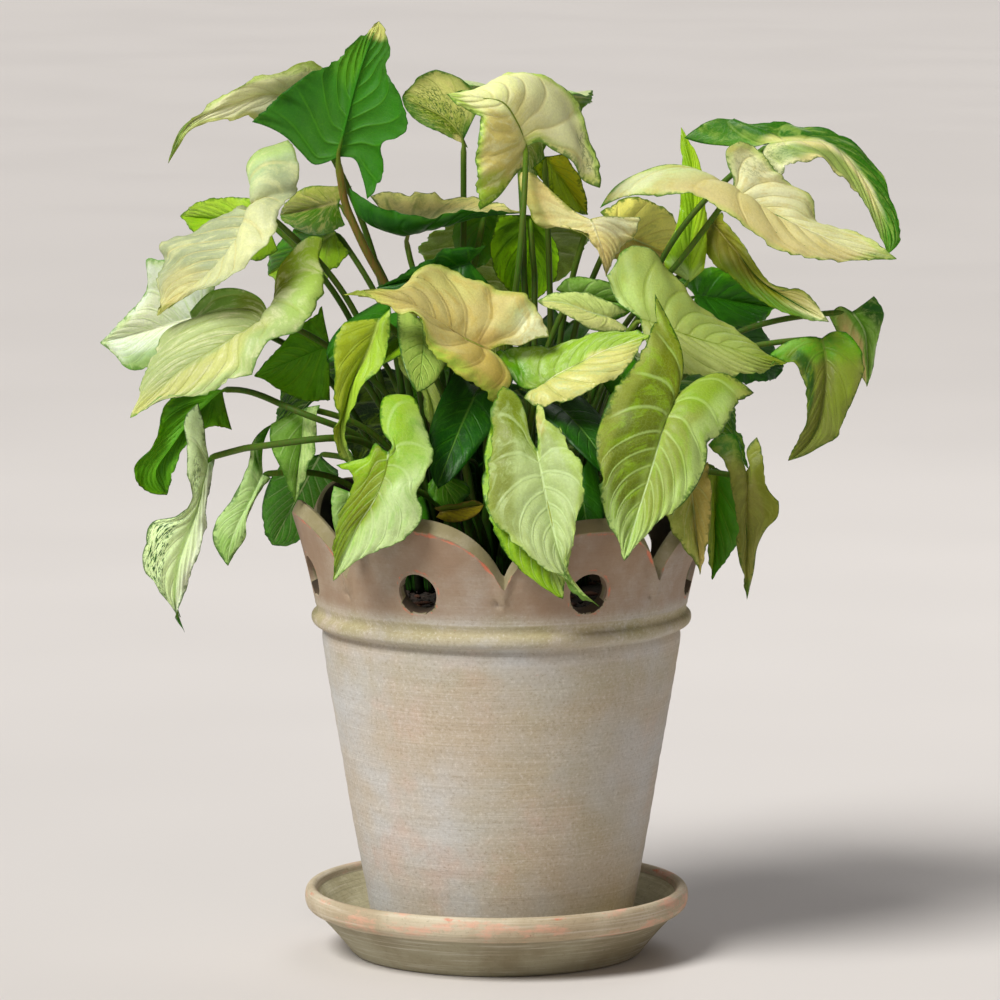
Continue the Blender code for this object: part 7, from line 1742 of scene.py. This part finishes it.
def saucer_clay():
    m = Nodes("saucer_wash")
    here = m.where()
    wear = m.att("wear").outputs["Fac"]
    green = m.att("green").outputs["Fac"]
    zone = m.att("zone").outputs["Fac"]
    cloud = m.noise(here, 22.0, 4.0, 0.6, 0.3)
    rimc = m.mix(m.ramp(cloud, 0.35, 0.65), tuple(lin((196, 184, 158))), tuple(lin((174, 157, 128))))
    side = m.mix(m.ramp(cloud, 0.35, 0.65), tuple(lin((158, 152, 126))), tuple(lin((134, 124, 96))))
    colour = m.mix(m.ramp(green, 0.2, 0.6), rimc, side)
    inside = m.math("MULTIPLY", m.ramp(zone, 0.4, 0.7), m.ramp(zone, 1.7, 1.4))
    film = m.mix(m.ramp(m.noise(here, 34.0, 5.0, 0.62), 0.36, 0.62), tuple(lin((206, 200, 166))), tuple(lin((178, 169, 132))))
    colour = m.mix(inside, colour, film)
    strokes = m.noise(m.place(here, (20, 20, 900)), 1.0, 5.0, 0.65)
    speck = m.noise(here, 620.0, 4.0, 0.75)
    colour = m.mix(m.ramp(speck, 0.52, 0.72, 0.0, 0.4), colour, tuple(lin((112, 100, 72))))
    colour = m.mix(m.ramp(strokes, 0.45, 0.7, 0.0, 0.25), colour, tuple(lin((140, 134, 108))))
    colour = m.mix(m.ramp(strokes, 0.5, 0.28, 0.0, 0.35), colour, tuple(lin((234, 228, 214))))
    pinkish = m.ramp(m.noise(m.place(here, (40, 40, 120)), 1.0, 4.0, 0.7), 0.50, 0.66)
    onrim = m.math("MULTIPLY", m.ramp(green, 0.6, 0.2), m.ramp(zone, 0.6, 0.3))
    colour = m.mix(m.math("MULTIPLY", m.math("MULTIPLY", pinkish, onrim), 0.6), colour, tuple(lin((224, 164, 140))))
    pits = m.math("MULTIPLY", m.ramp(m.cells(here, 120.0), 0.07, 0.02), m.ramp(m.noise(here, 40.0, 2.0), 0.54, 0.62))
    colour = m.mix(m.math("MULTIPLY", pits, 0.6), colour, tuple(lin((92, 82, 62))))
    broken = m.noise(m.place(here, (90, 90, 200)), 1.0, 4.0, 0.7)
    rubbed = m.ramp(m.math("ADD", wear, m.math("MULTIPLY", m.math("SUBTRACT", broken, 0.5), 1.6)), 0.55, 0.85)
    colour = m.mix(m.math("MULTIPLY", rubbed, 0.75), colour, tuple(lin((208, 104, 72))))
    bottom = m.ramp(zone, 1.6, 1.8)
    colour = m.mix(bottom, colour, tuple(lin((176, 128, 98))))
    m.set(Base_Color=colour)
    h = m.math("ADD", m.math("MULTIPLY", strokes, 0.8), m.math("MULTIPLY", m.noise(here, 340.0, 4.0, 0.6), 0.6))
    h = m.math("ADD", h, m.math("MULTIPLY", pits, -1.6))
    m.set(Normal=m.bump(h, 0.5, 0.0006))
    m.set(Roughness=m.ramp(m.noise(here, 60.0, 3.0), 0.3, 0.7, 0.66, 0.88))
    return m.mat


# ------------------------------------------------------------ soil, stems
def make_soil():
    steps, rings = 150, 46
    skin = Skin()
    top_r = collar_r(BAND_TOP_Z + 4.0) - POT_WALL - 1.2
    a = np.linspace(0, 2 * math.pi, steps + 1)[:-1]
    rr = np.linspace(0.0, 1.0, rings) ** 0.8 * top_r
    ra, aa = np.meshgrid(rr, a, indexing="ij")
    x, y = POT_X + ra * np.cos(aa), ra * np.sin(aa)
    z = SOIL_Z + SOIL_RISE * (1 - np.minimum(ra / 80.0, 1.0) ** 2)
    q = np.stack((x, y, 0 * x), -1)
    z = z - 0.6 + 2.0 * noise(q / 21.0, 41) + 1.3 * noise(q / 8.0, 42) + 0.8 * np.abs(noise(q / 3.4, 43)) + 0.4 * noise(q / 1.7, 44)
    z = z - 2.0 * step(top_r - 5.0, top_r, ra)
    z[0] = z[0].mean()
    p = np.stack((x, y, z), -1)
    first = skin.points(p, crumb=np.zeros(x.shape))
    k, c = np.meshgrid(np.arange(rings - 1), np.arange(steps), indexing="ij")
    k, c = k.ravel(), c.ravel()
    d = (c + 1) % steps
    quad = first + np.stack((k * steps + c, (k + 1) * steps + c, (k + 1) * steps + d, k * steps + d), -1)
    flat = lambda r, t: np.stack((0.5 + 0.44 * r / top_r * np.cos(t), 0.5 + 0.44 * r / top_r * np.sin(t)), -1)
    uv = np.stack((flat(rr[k], a[c]), flat(rr[k + 1], a[c]), flat(rr[k + 1], a[d]), flat(rr[k], a[d])), 1)
    skin.quads(quad, uv)
    # the sides and underside, inside the pot
    slope = [(top_r - 0.4, NECK_Z + 8.0), (POT_NECK_R - POT_WALL - 0.8, NECK_Z), (POT_FOOT_R - POT_WALL - 2.0, POT_Z + POT_FLOOR + 3.0), (POT_FOOT_R - POT_WALL - 4.0, POT_Z + POT_FLOOR + 0.6), (0.01, POT_Z + POT_FLOOR + 0.6)]
    last = first + (rings - 1) * steps
    for i, (r, zz) in enumerate(slope):
        ring = skin.points(np.stack((POT_X + r * np.cos(a), r * np.sin(a), np.full(steps, zz)), -1), crumb=np.zeros(steps))
        c = np.arange(steps)
        d = (c + 1) % steps
        quad = np.stack((last + c, ring + c, ring + d, last + d), -1)
        r0, r1 = 0.445 + 0.01 * i, 0.455 + 0.01 * i
        uv = np.stack([np.stack((0.5 + r * np.cos(a[w]), 0.5 + r * np.sin(a[w])), -1) for r, w in ((r0, c), (r1, c), (r1, d), (r0, d))], 1)
        skin.quads(quad, uv)
        last = ring
    # crumbs, bark and grit lying on the mix
    ball = bmesh.new()
    bmesh.ops.create_icosphere(ball, subdivisions=1, radius=1.0)
    bv = np.array([v.co[:] for v in ball.verts])
    bf = np.array([[v.index for v in f.verts] for f in ball.faces])
    ball.free()
    draw = np.random.default_rng(7)
    for i in range(520):
        r = top_r * math.sqrt(draw.uniform(0.0, 0.97))
        t = draw.uniform(0, 2 * math.pi)
        cx, cy = POT_X + r * math.cos(t), r * math.sin(t)
        if min(math.hypot(cx - sx, cy - sy) for sx, sy, _ in STEM_TOPS) < 15.5:
            continue
        chip = draw.uniform() < 0.28
        size = draw.uniform(0.7, 2.0) if not chip else draw.uniform(1.6, 3.4)
        shape = np.array((1.0, draw.uniform(0.6, 1.0), draw.uniform(0.5, 0.9))) * size
        if chip:
            shape = np.array((1.5, draw.uniform(0.6, 1.0), 0.35)) * size
        q = bv * shape * (1 + 0.28 * noise(bv * 1.7 + i, 50)[:, None])
        t2 = draw.uniform(0, 2 * math.pi)
        q = np.stack((q[:, 0] * math.cos(t2) - q[:, 1] * math.sin(t2), q[:, 0] * math.sin(t2) + q[:, 1] * math.cos(t2), q[:, 2]), -1)
        zz = SOIL_Z + SOIL_RISE * (1 - min(r / 80.0, 1.0) ** 2) + 0.3 * size
        kind = (2.0 if draw.uniform() < 0.25 else 1.0) if chip else 0.3
        at = skin.points(q + np.array((cx, cy, zz)), crumb=np.full(len(q), kind))
        f = bf + at
        quad = np.stack((f[:, 0], f[:, 1], f[:, 2], f[:, 2]), -1)
        j, g = i % 40, i // 40
        ux, uy = 0.004 + 0.0248 * j, (0.004 if g < 7 else 0.944) + 0.0075 * (g % 7)
        tri = np.array(((ux, uy), (ux + 0.02, uy), (ux + 0.01, uy + 0.006), (ux + 0.01, uy + 0.006)))
        skin.quads(quad, np.broadcast_to(tri, (len(quad), 4, 2)))
    obj = skin.build("soil_mix", merge=2e-6)
    m = Nodes("soil_crumbs")
    here = m.where()
    crumb = m.att("crumb").outputs["Fac"]
    c = m.mix(m.ramp(m.noise(here, 120.0, 4.0, 0.7), 0.35, 0.65), tuple(lin((24, 18, 13))), tuple(lin((48, 36, 26))))
    c = m.mix(m.ramp(m.noise(here, 420.0, 2.0), 0.58, 0.72, 0.0, 0.5), c, tuple(lin((84, 64, 46))))
    c = m.mix(m.ramp(crumb, 0.6, 0.9, 0.0, 0.85), c, tuple(lin((84, 50, 32))))
    c = m.mix(m.ramp(crumb, 1.6, 1.9, 0.0, 0.85), c, tuple(lin((122, 84, 54))))
    m.set(Base_Color=c)
    m.set(Normal=m.bump(m.math("ADD", m.noise(here, 500.0, 5.0, 0.7), m.noise(here, 180.0, 4.0, 0.7)), 0.9, 0.0012))
    m.set(Roughness=m.ramp(m.noise(here, 200.0, 2.0), 0.3, 0.7, 0.82, 0.98))
    obj.data.materials.append(m.mat)
    return obj


def make_stem(k, x, y, top):
    """A leafy stem: rings where old leaves stood, a dry collar at the foot and
    a rounded growing tip."""
    foot = soil_z(x, y) - 12.0
    n = 64
    t = np.linspace(0, 1, n)
    z = foot + (top - 0.4 - foot) * t
    r = STEM_R * (1.0 - 0.24 * t)
    ringed = np.zeros(n)
    for i, at in enumerate(np.linspace(0.34, 0.92, 5)):
        ringed += np.exp(-((t - at) / 0.018) ** 2)
    r = r + 0.34 * ringed - 0.15
    r = r * np.sqrt(np.clip((1.0 - t) / 0.045, 0.02, 1.0))
    sway = 0.35 * np.sin(t * 7.0 + k)
    path = np.stack((x + sway * step(0.25, 0.5, t), y + 0.6 * sway * step(0.25, 0.5, t), z), -1)
    skin = Skin()
    tube(skin, path, r, 18, (0.01, 0.99), ring=ringed, high=t)
    obj = skin.build(f"stem_{k}_bark")
    m = Nodes(f"stem_{k}_skin")
    here = m.where()
    ring = m.att("ring").outputs["Fac"]
    high = m.att("high").outputs["Fac"]
    streak = m.noise(m.place(here, (700, 700, 60)), 1.0, 4.0, 0.6)
    c = m.mix(m.ramp(streak, 0.35, 0.65), tuple(lin((38, 48, 16))), tuple(lin((62, 70, 28))))
    c = m.mix(m.ramp(high, 0.55, 0.2, 0.0, 0.8), c, tuple(lin((74, 58, 34))))
    c = m.mix(m.math("MULTIPLY", ring, m.ramp(m.noise(here, 500.0, 3.0), 0.35, 0.6, 0.4, 0.9)), c, tuple(lin((104, 82, 50))))
    m.set(Base_Color=c)
    m.set(Normal=m.bump(m.math("ADD", streak, m.noise(here, 600.0, 3.0)), 0.6, 0.0004))
    m.set(Roughness=m.ramp(streak, 0.3, 0.7, 0.5, 0.7))
    obj.data.materials.append(m.mat)
    return obj


# ------------------------------------------------------------ young leaves
# base x, y, z, heading, pitch, roll, length, width, stem, tone
YOUNG = (
    (-7, 37, 264, 96, -36, -12, 54, 33, 0, "dark"),
    (-10, -45, 287, 248, -33, 15, 58, 37, 1, "dark"),
    (-52, -22, 324, 223, -15, 16, 44, 31, 0, "leaf"),
    (-36, -42, 321, 273, -23, 24, 50, 35, 1, "celery"),
    (37, 51, 312, 111, -26, 3, 64, 41, 2, "green"),
    (-10, 39, 240, 91, -49, 4, 47, 31, 0, "dark"),
    (60, -19, 295, 324, -47, -20, 55, 32, 2, "green"),
    (-31, -15, 319, 223, -16, 8, 42, 25, 0, "sap"),
    (-25, 40, 258, 94, -52, -19, 64, 37, 0, "green"),
    (40, -46, 246, 285, -48, -8, 42, 25, 1, "leaf"),
    (-20, 47, 293, 126, -24, -23, 49, 33, 0, "grass"),
    (-45, -34, 230, 278, -24, 19, 42, 29, 0, "green"),
    (31, -40, 280, 307, -24, -5, 54, 38, 1, "dark"),
)


def young_leaf(skin, k, count, x, y, z, heading, pitch, roll, length, width, stem, colour):
    """One small leaf deep in the crown, on a short stalk from its stem."""
    cols, rows = 13, 22
    h, up, turn = (math.radians(a) for a in (heading, pitch, roll))
    ahead = np.array((math.cos(h) * math.cos(up), math.sin(h) * math.cos(up), math.sin(up)))
    flat = np.array((math.sin(h), -math.cos(h), 0.0))
    tall = np.cross(flat, ahead)
    side = flat * math.cos(turn) + tall * math.sin(turn)
    face = np.cross(side, ahead)
    base = np.array((x, y, z), float)

    def blade(uu, vv):
        w = 0.5 * width * np.maximum(1 - vv, 0) ** 0.75 * (0.75 + 1.1 * vv)
        s = np.abs(uu)
        along = length * (vv - 0.32 * s ** 1.4 * np.maximum(1 - vv, 0) ** 2.2)
        wave = 0.030 * length * noise(np.stack((uu * 1.3, vv * 3.0, 0 * uu + 7.0 * k + 40.0), -1), 61) * step(0.0, 0.5, s)
        lift = 0.30 * s * w - 0.20 * s * s * w - 0.22 * length * vv * vv + wave
        p = base + along[..., None] * ahead + (uu * w)[..., None] * side + lift[..., None] * face
        return p, w

    uu, vv = np.meshgrid(np.linspace(-1, 1, cols), np.linspace(0, 1, rows) ** 0.9)
    p, w = blade(uu, vv)
    du, dv = np.gradient(p, axis=1), np.gradient(p, axis=0)
    n = np.cross(du, dv)
    n /= np.maximum(np.linalg.norm(n, axis=-1, keepdims=True), 1e-9)
    n[-1] = n[-2]
    s = np.abs(uu)
    edge = np.minimum((1 - s) * w, length * np.minimum(vv * 0.9 + 0.35 * (1 - s), 1.05 - vv))
    phase = np.maximum(vv - 0.34 * s, 0.0) * 7.0 + 0.5
    near = np.abs((phase % 1.0) - 0.5) * 2
    p = p + n * (0.5 * (0.5 - near ** 2.2) * step(0.02, 0.2, s) * step(0.0, 4.0, edge) - 0.3 * np.exp(-(s * w / 1.5) ** 2))[..., None]
    thick = 0.2 * (0.4 + 0.6 * step(0.0, 3.0, edge))
    skin_tone = tone(colour) * (1 + 0.28 * noise(np.stack((uu * 1.6, vv * 3.4, 0 * uu + 3.0 * k), -1), 62))[..., None]
    skin_tone = skin_tone * (1 - 0.45 * step(4.0, 0.0, edge))[..., None]
    sheets = []
    for under, sign in ((0, 1), (1, -1)):
        q = p + sign * n * thick[..., None]
        q[-1] = p[-1]
        first = skin.points(
            q, leafco=np.stack((uu, vv, phase), -1), edge_mm=edge, rib_mm=s * w,
            under=np.full(uu.shape, float(under)), tint=np.concatenate((skin_tone, np.ones(uu.shape + (1,))), -1),
            fleck=0 * uu, stalk=0 * uu, pitch=np.full(uu.shape, length / 7.0 * 0.56))
        xy = np.stack(((k + 0.06 + 0.88 * (uu + 1) / 2) / count, (0.09 if not under else 0.55) + 0.43 * vv), -1).reshape(-1, 2)
        idx = sheet_quads(rows, cols, 0, flip=bool(under))
        skin.quads(idx + first, xy[idx])
        sheets.append(first)
        if not under:
            upper = xy
    for which, line in enumerate(([r * cols for r in range(rows)], [r * cols + cols - 1 for r in range(rows)], list(range(cols)))):
        a, b = np.array(line[:-1]), np.array(line[1:])
        t, u = sheets
        shift = np.array({0: (-0.002, 0), 1: (0.002, 0), 2: (0, -0.002)}[which])
        q = np.stack((t + a, t + b, u + b, u + a), -1)
        uv = np.stack((upper[a], upper[b], upper[b] + shift, upper[a] + shift), 1)
        if which != 0:
            q, uv = q[:, ::-1], uv[:, ::-1]
        skin.quads(q, uv)
    # the stalk from the stem, running on as a rib under the blade
    sx, sy, top = STEM_TOPS[stem]
    foot = np.array((sx, sy, min(top - 7.0, z - 16.0)))
    reach = float(np.linalg.norm(base - foot))
    knots = (foot, foot + np.array((0.0, 0.0, 0.45 * reach)), base - ahead * 0.35 * reach - face * 0.8, base - face * 0.8)
    t = np.linspace(0, 1, 13)[:, None]
    path = (1 - t) ** 3 * knots[0] + 3 * (1 - t) ** 2 * t * knots[1] + 3 * (1 - t) * t * t * knots[2] + t ** 3 * knots[3]
    rv = np.linspace(0.12, 0.8, 6)
    rib = blade(np.zeros((1, 6)), rv[None])[0][0] - face * (0.55 + 0.35 * (1 - rv))[:, None]
    path = np.concatenate((path, rib))
    m = len(path)
    radii = np.concatenate((np.linspace(1.35, 0.95, 13), 0.7 - 0.55 * rv))
    on_blade = np.concatenate((np.zeros(12), np.ones(m - 12)))
    # the stalk is painted darker toward the stem: painted shade deep in the crown
    shoot = tone("stem") * (1 - on_blade)[:, None] * np.linspace(0.12, 0.9, m)[:, None] + tone(colour) * 0.8 * on_blade[:, None]
    y0 = 0.003 + 0.005 * k
    tube(skin, path, radii, 7, (y0, y0 + 0.004),
         leafco=np.stack((np.zeros(m), np.linspace(0, 1, m), np.full(m, 0.25)), -1),
         edge_mm=np.full(m, 20.0), rib_mm=np.full(m, 20.0), under=np.ones(m),
         tint=np.concatenate((shoot, np.ones((m, 1))), 1), fleck=np.zeros(m),
         stalk=1.0 - 0.5 * on_blade, pitch=np.full(m, 4.0))


def make_young():
    skin = Skin()
    for k, place in enumerate(YOUNG):
        young_leaf(skin, k, len(YOUNG), *place)
    obj = skin.build("young_leaves", merge=2e-6)
    obj.data.materials.append(leaf_skin("young_leaves", LOOKS["young"], 5))
    return obj


# ------------------------------------------------------------- everything
SLOTS = {"pot": "pot_whitewash", "saucer": "saucer_clay", "soil": "potting_soil"}


def stand_for(obj, node, slot):
    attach(obj, "root")
    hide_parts(node)


lay(LEAVES)
settle(BACK, LEAVES)
everything = LEAVES + [DRY] + BACK
for leaf in everything:
    leaf.measure()
route(everything)
for leaf in everything:
    stand_for(grow(leaf), leaf.name, "leaf_" + leaf.look)
stand_for(make_pot(), "pot", SLOTS["pot"])
stand_for(make_saucer(), "saucer", SLOTS["saucer"])
stand_for(make_soil(), "soil", SLOTS["soil"])
for k, (x, y, top) in enumerate(STEM_TOPS):
    stand_for(make_stem(k + 1, x, y, top), f"stem_{k + 1}", "stem_bark")

young = make_young()
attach(young, "root")

# ------------------------------------------------------ stage, light, view
scene = bpy.context.scene
bpy.ops.mesh.primitive_circle_add(vertices=96, radius=40.0, fill_type="NGON", location=(0, 0, -0.0002))
floor = bpy.context.object
floor.name = "floor"
m = Nodes("floor_plain")
m.set(Base_Color=tuple(lin((214, 209, 205))))
m.set(Roughness=m.ramp(m.noise(m.where(), 3.0, 2.0), 0.3, 0.7, 0.62, 0.75))
floor.data.materials.append(m.mat)

world = bpy.data.worlds.new("studio")
scene.world = world
world.use_nodes = True
world.node_tree.nodes["Background"].inputs["Color"].default_value = (*lin((226, 222, 224)), 1.0)
# paler near the horizon, as a studio sweep is
net = world.node_tree
where = net.nodes.new("ShaderNodeTexCoord")
apart = net.nodes.new("ShaderNodeSeparateXYZ")
fall = net.nodes.new("ShaderNodeMapRange")
fall.interpolation_type = "SMOOTHSTEP"
for key, value in (("From Min", 0.02), ("From Max", 0.17), ("To Min", 0.86), ("To Max", 0.22)):
    fall.inputs[key].default_value = value
net.links.new(where.outputs["Generated"], apart.inputs["Vector"])
net.links.new(apart.outputs["Z"], fall.inputs["Value"])
net.links.new(fall.outputs["Result"], net.nodes["Background"].inputs["Strength"])


def lamp(name, at, aim, size, power, colour):
    data = bpy.data.lights.new(name, "AREA")
    data.shape, data.size, data.energy, data.color = "DISK", size, power, colour
    obj = bpy.data.objects.new(name, data)
    obj.location = at
    obj.rotation_euler = (Vector(aim) - Vector(at)).to_track_quat("-Z", "Y").to_euler()
    scene.collection.objects.link(obj)


sun = bpy.data.lights.new("key", "SUN")
sun.energy, sun.angle, sun.color = 3.7, math.radians(26), (1.0, 0.99, 0.965)
key = bpy.data.objects.new("key", sun)
key.rotation_euler = Vector((0.74, 0.74, -1.18)).to_track_quat("-Z", "Y").to_euler()
scene.collection.objects.link(key)
lamp("fill", (1.7, -1.5, 0.8), (0, 0, 0.25), 1.6, 2.4, (1.0, 0.74, 0.5))
lamp("back", (0.5, 1.6, 1.7), (0, 0, 0.3), 1.2, 7.0, (0.97, 0.99, 1.0))

spot = bpy.data.lights.new("crown", "SPOT")
spot.energy, spot.spot_size, spot.spot_blend, spot.shadow_soft_size = 17.0, math.radians(17), 1.0, 0.25
crown = bpy.data.objects.new("crown", spot)
crown.location = (-0.75, -1.45, 0.70)
crown.rotation_euler = (Vector((0.0, 0.0, 0.39)) - crown.location).to_track_quat("-Z", "Y").to_euler()
scene.collection.objects.link(crown)

data = bpy.data.cameras.new("camera")
data.sensor_width = 36.0
data.lens = 36.0 * FOCAL / 1000.0
data.clip_end = 100.0
camera = bpy.data.objects.new("camera", data)
turn = Matrix((RIGHT, UP, -FWD)).transposed().to_4x4()
camera.matrix_world = Matrix.Translation(Vector(EYE) * 0.001) @ turn
scene.collection.objects.link(camera)
scene.camera = camera
scene.view_settings.view_transform = "Standard"
scene.view_settings.look = "None"
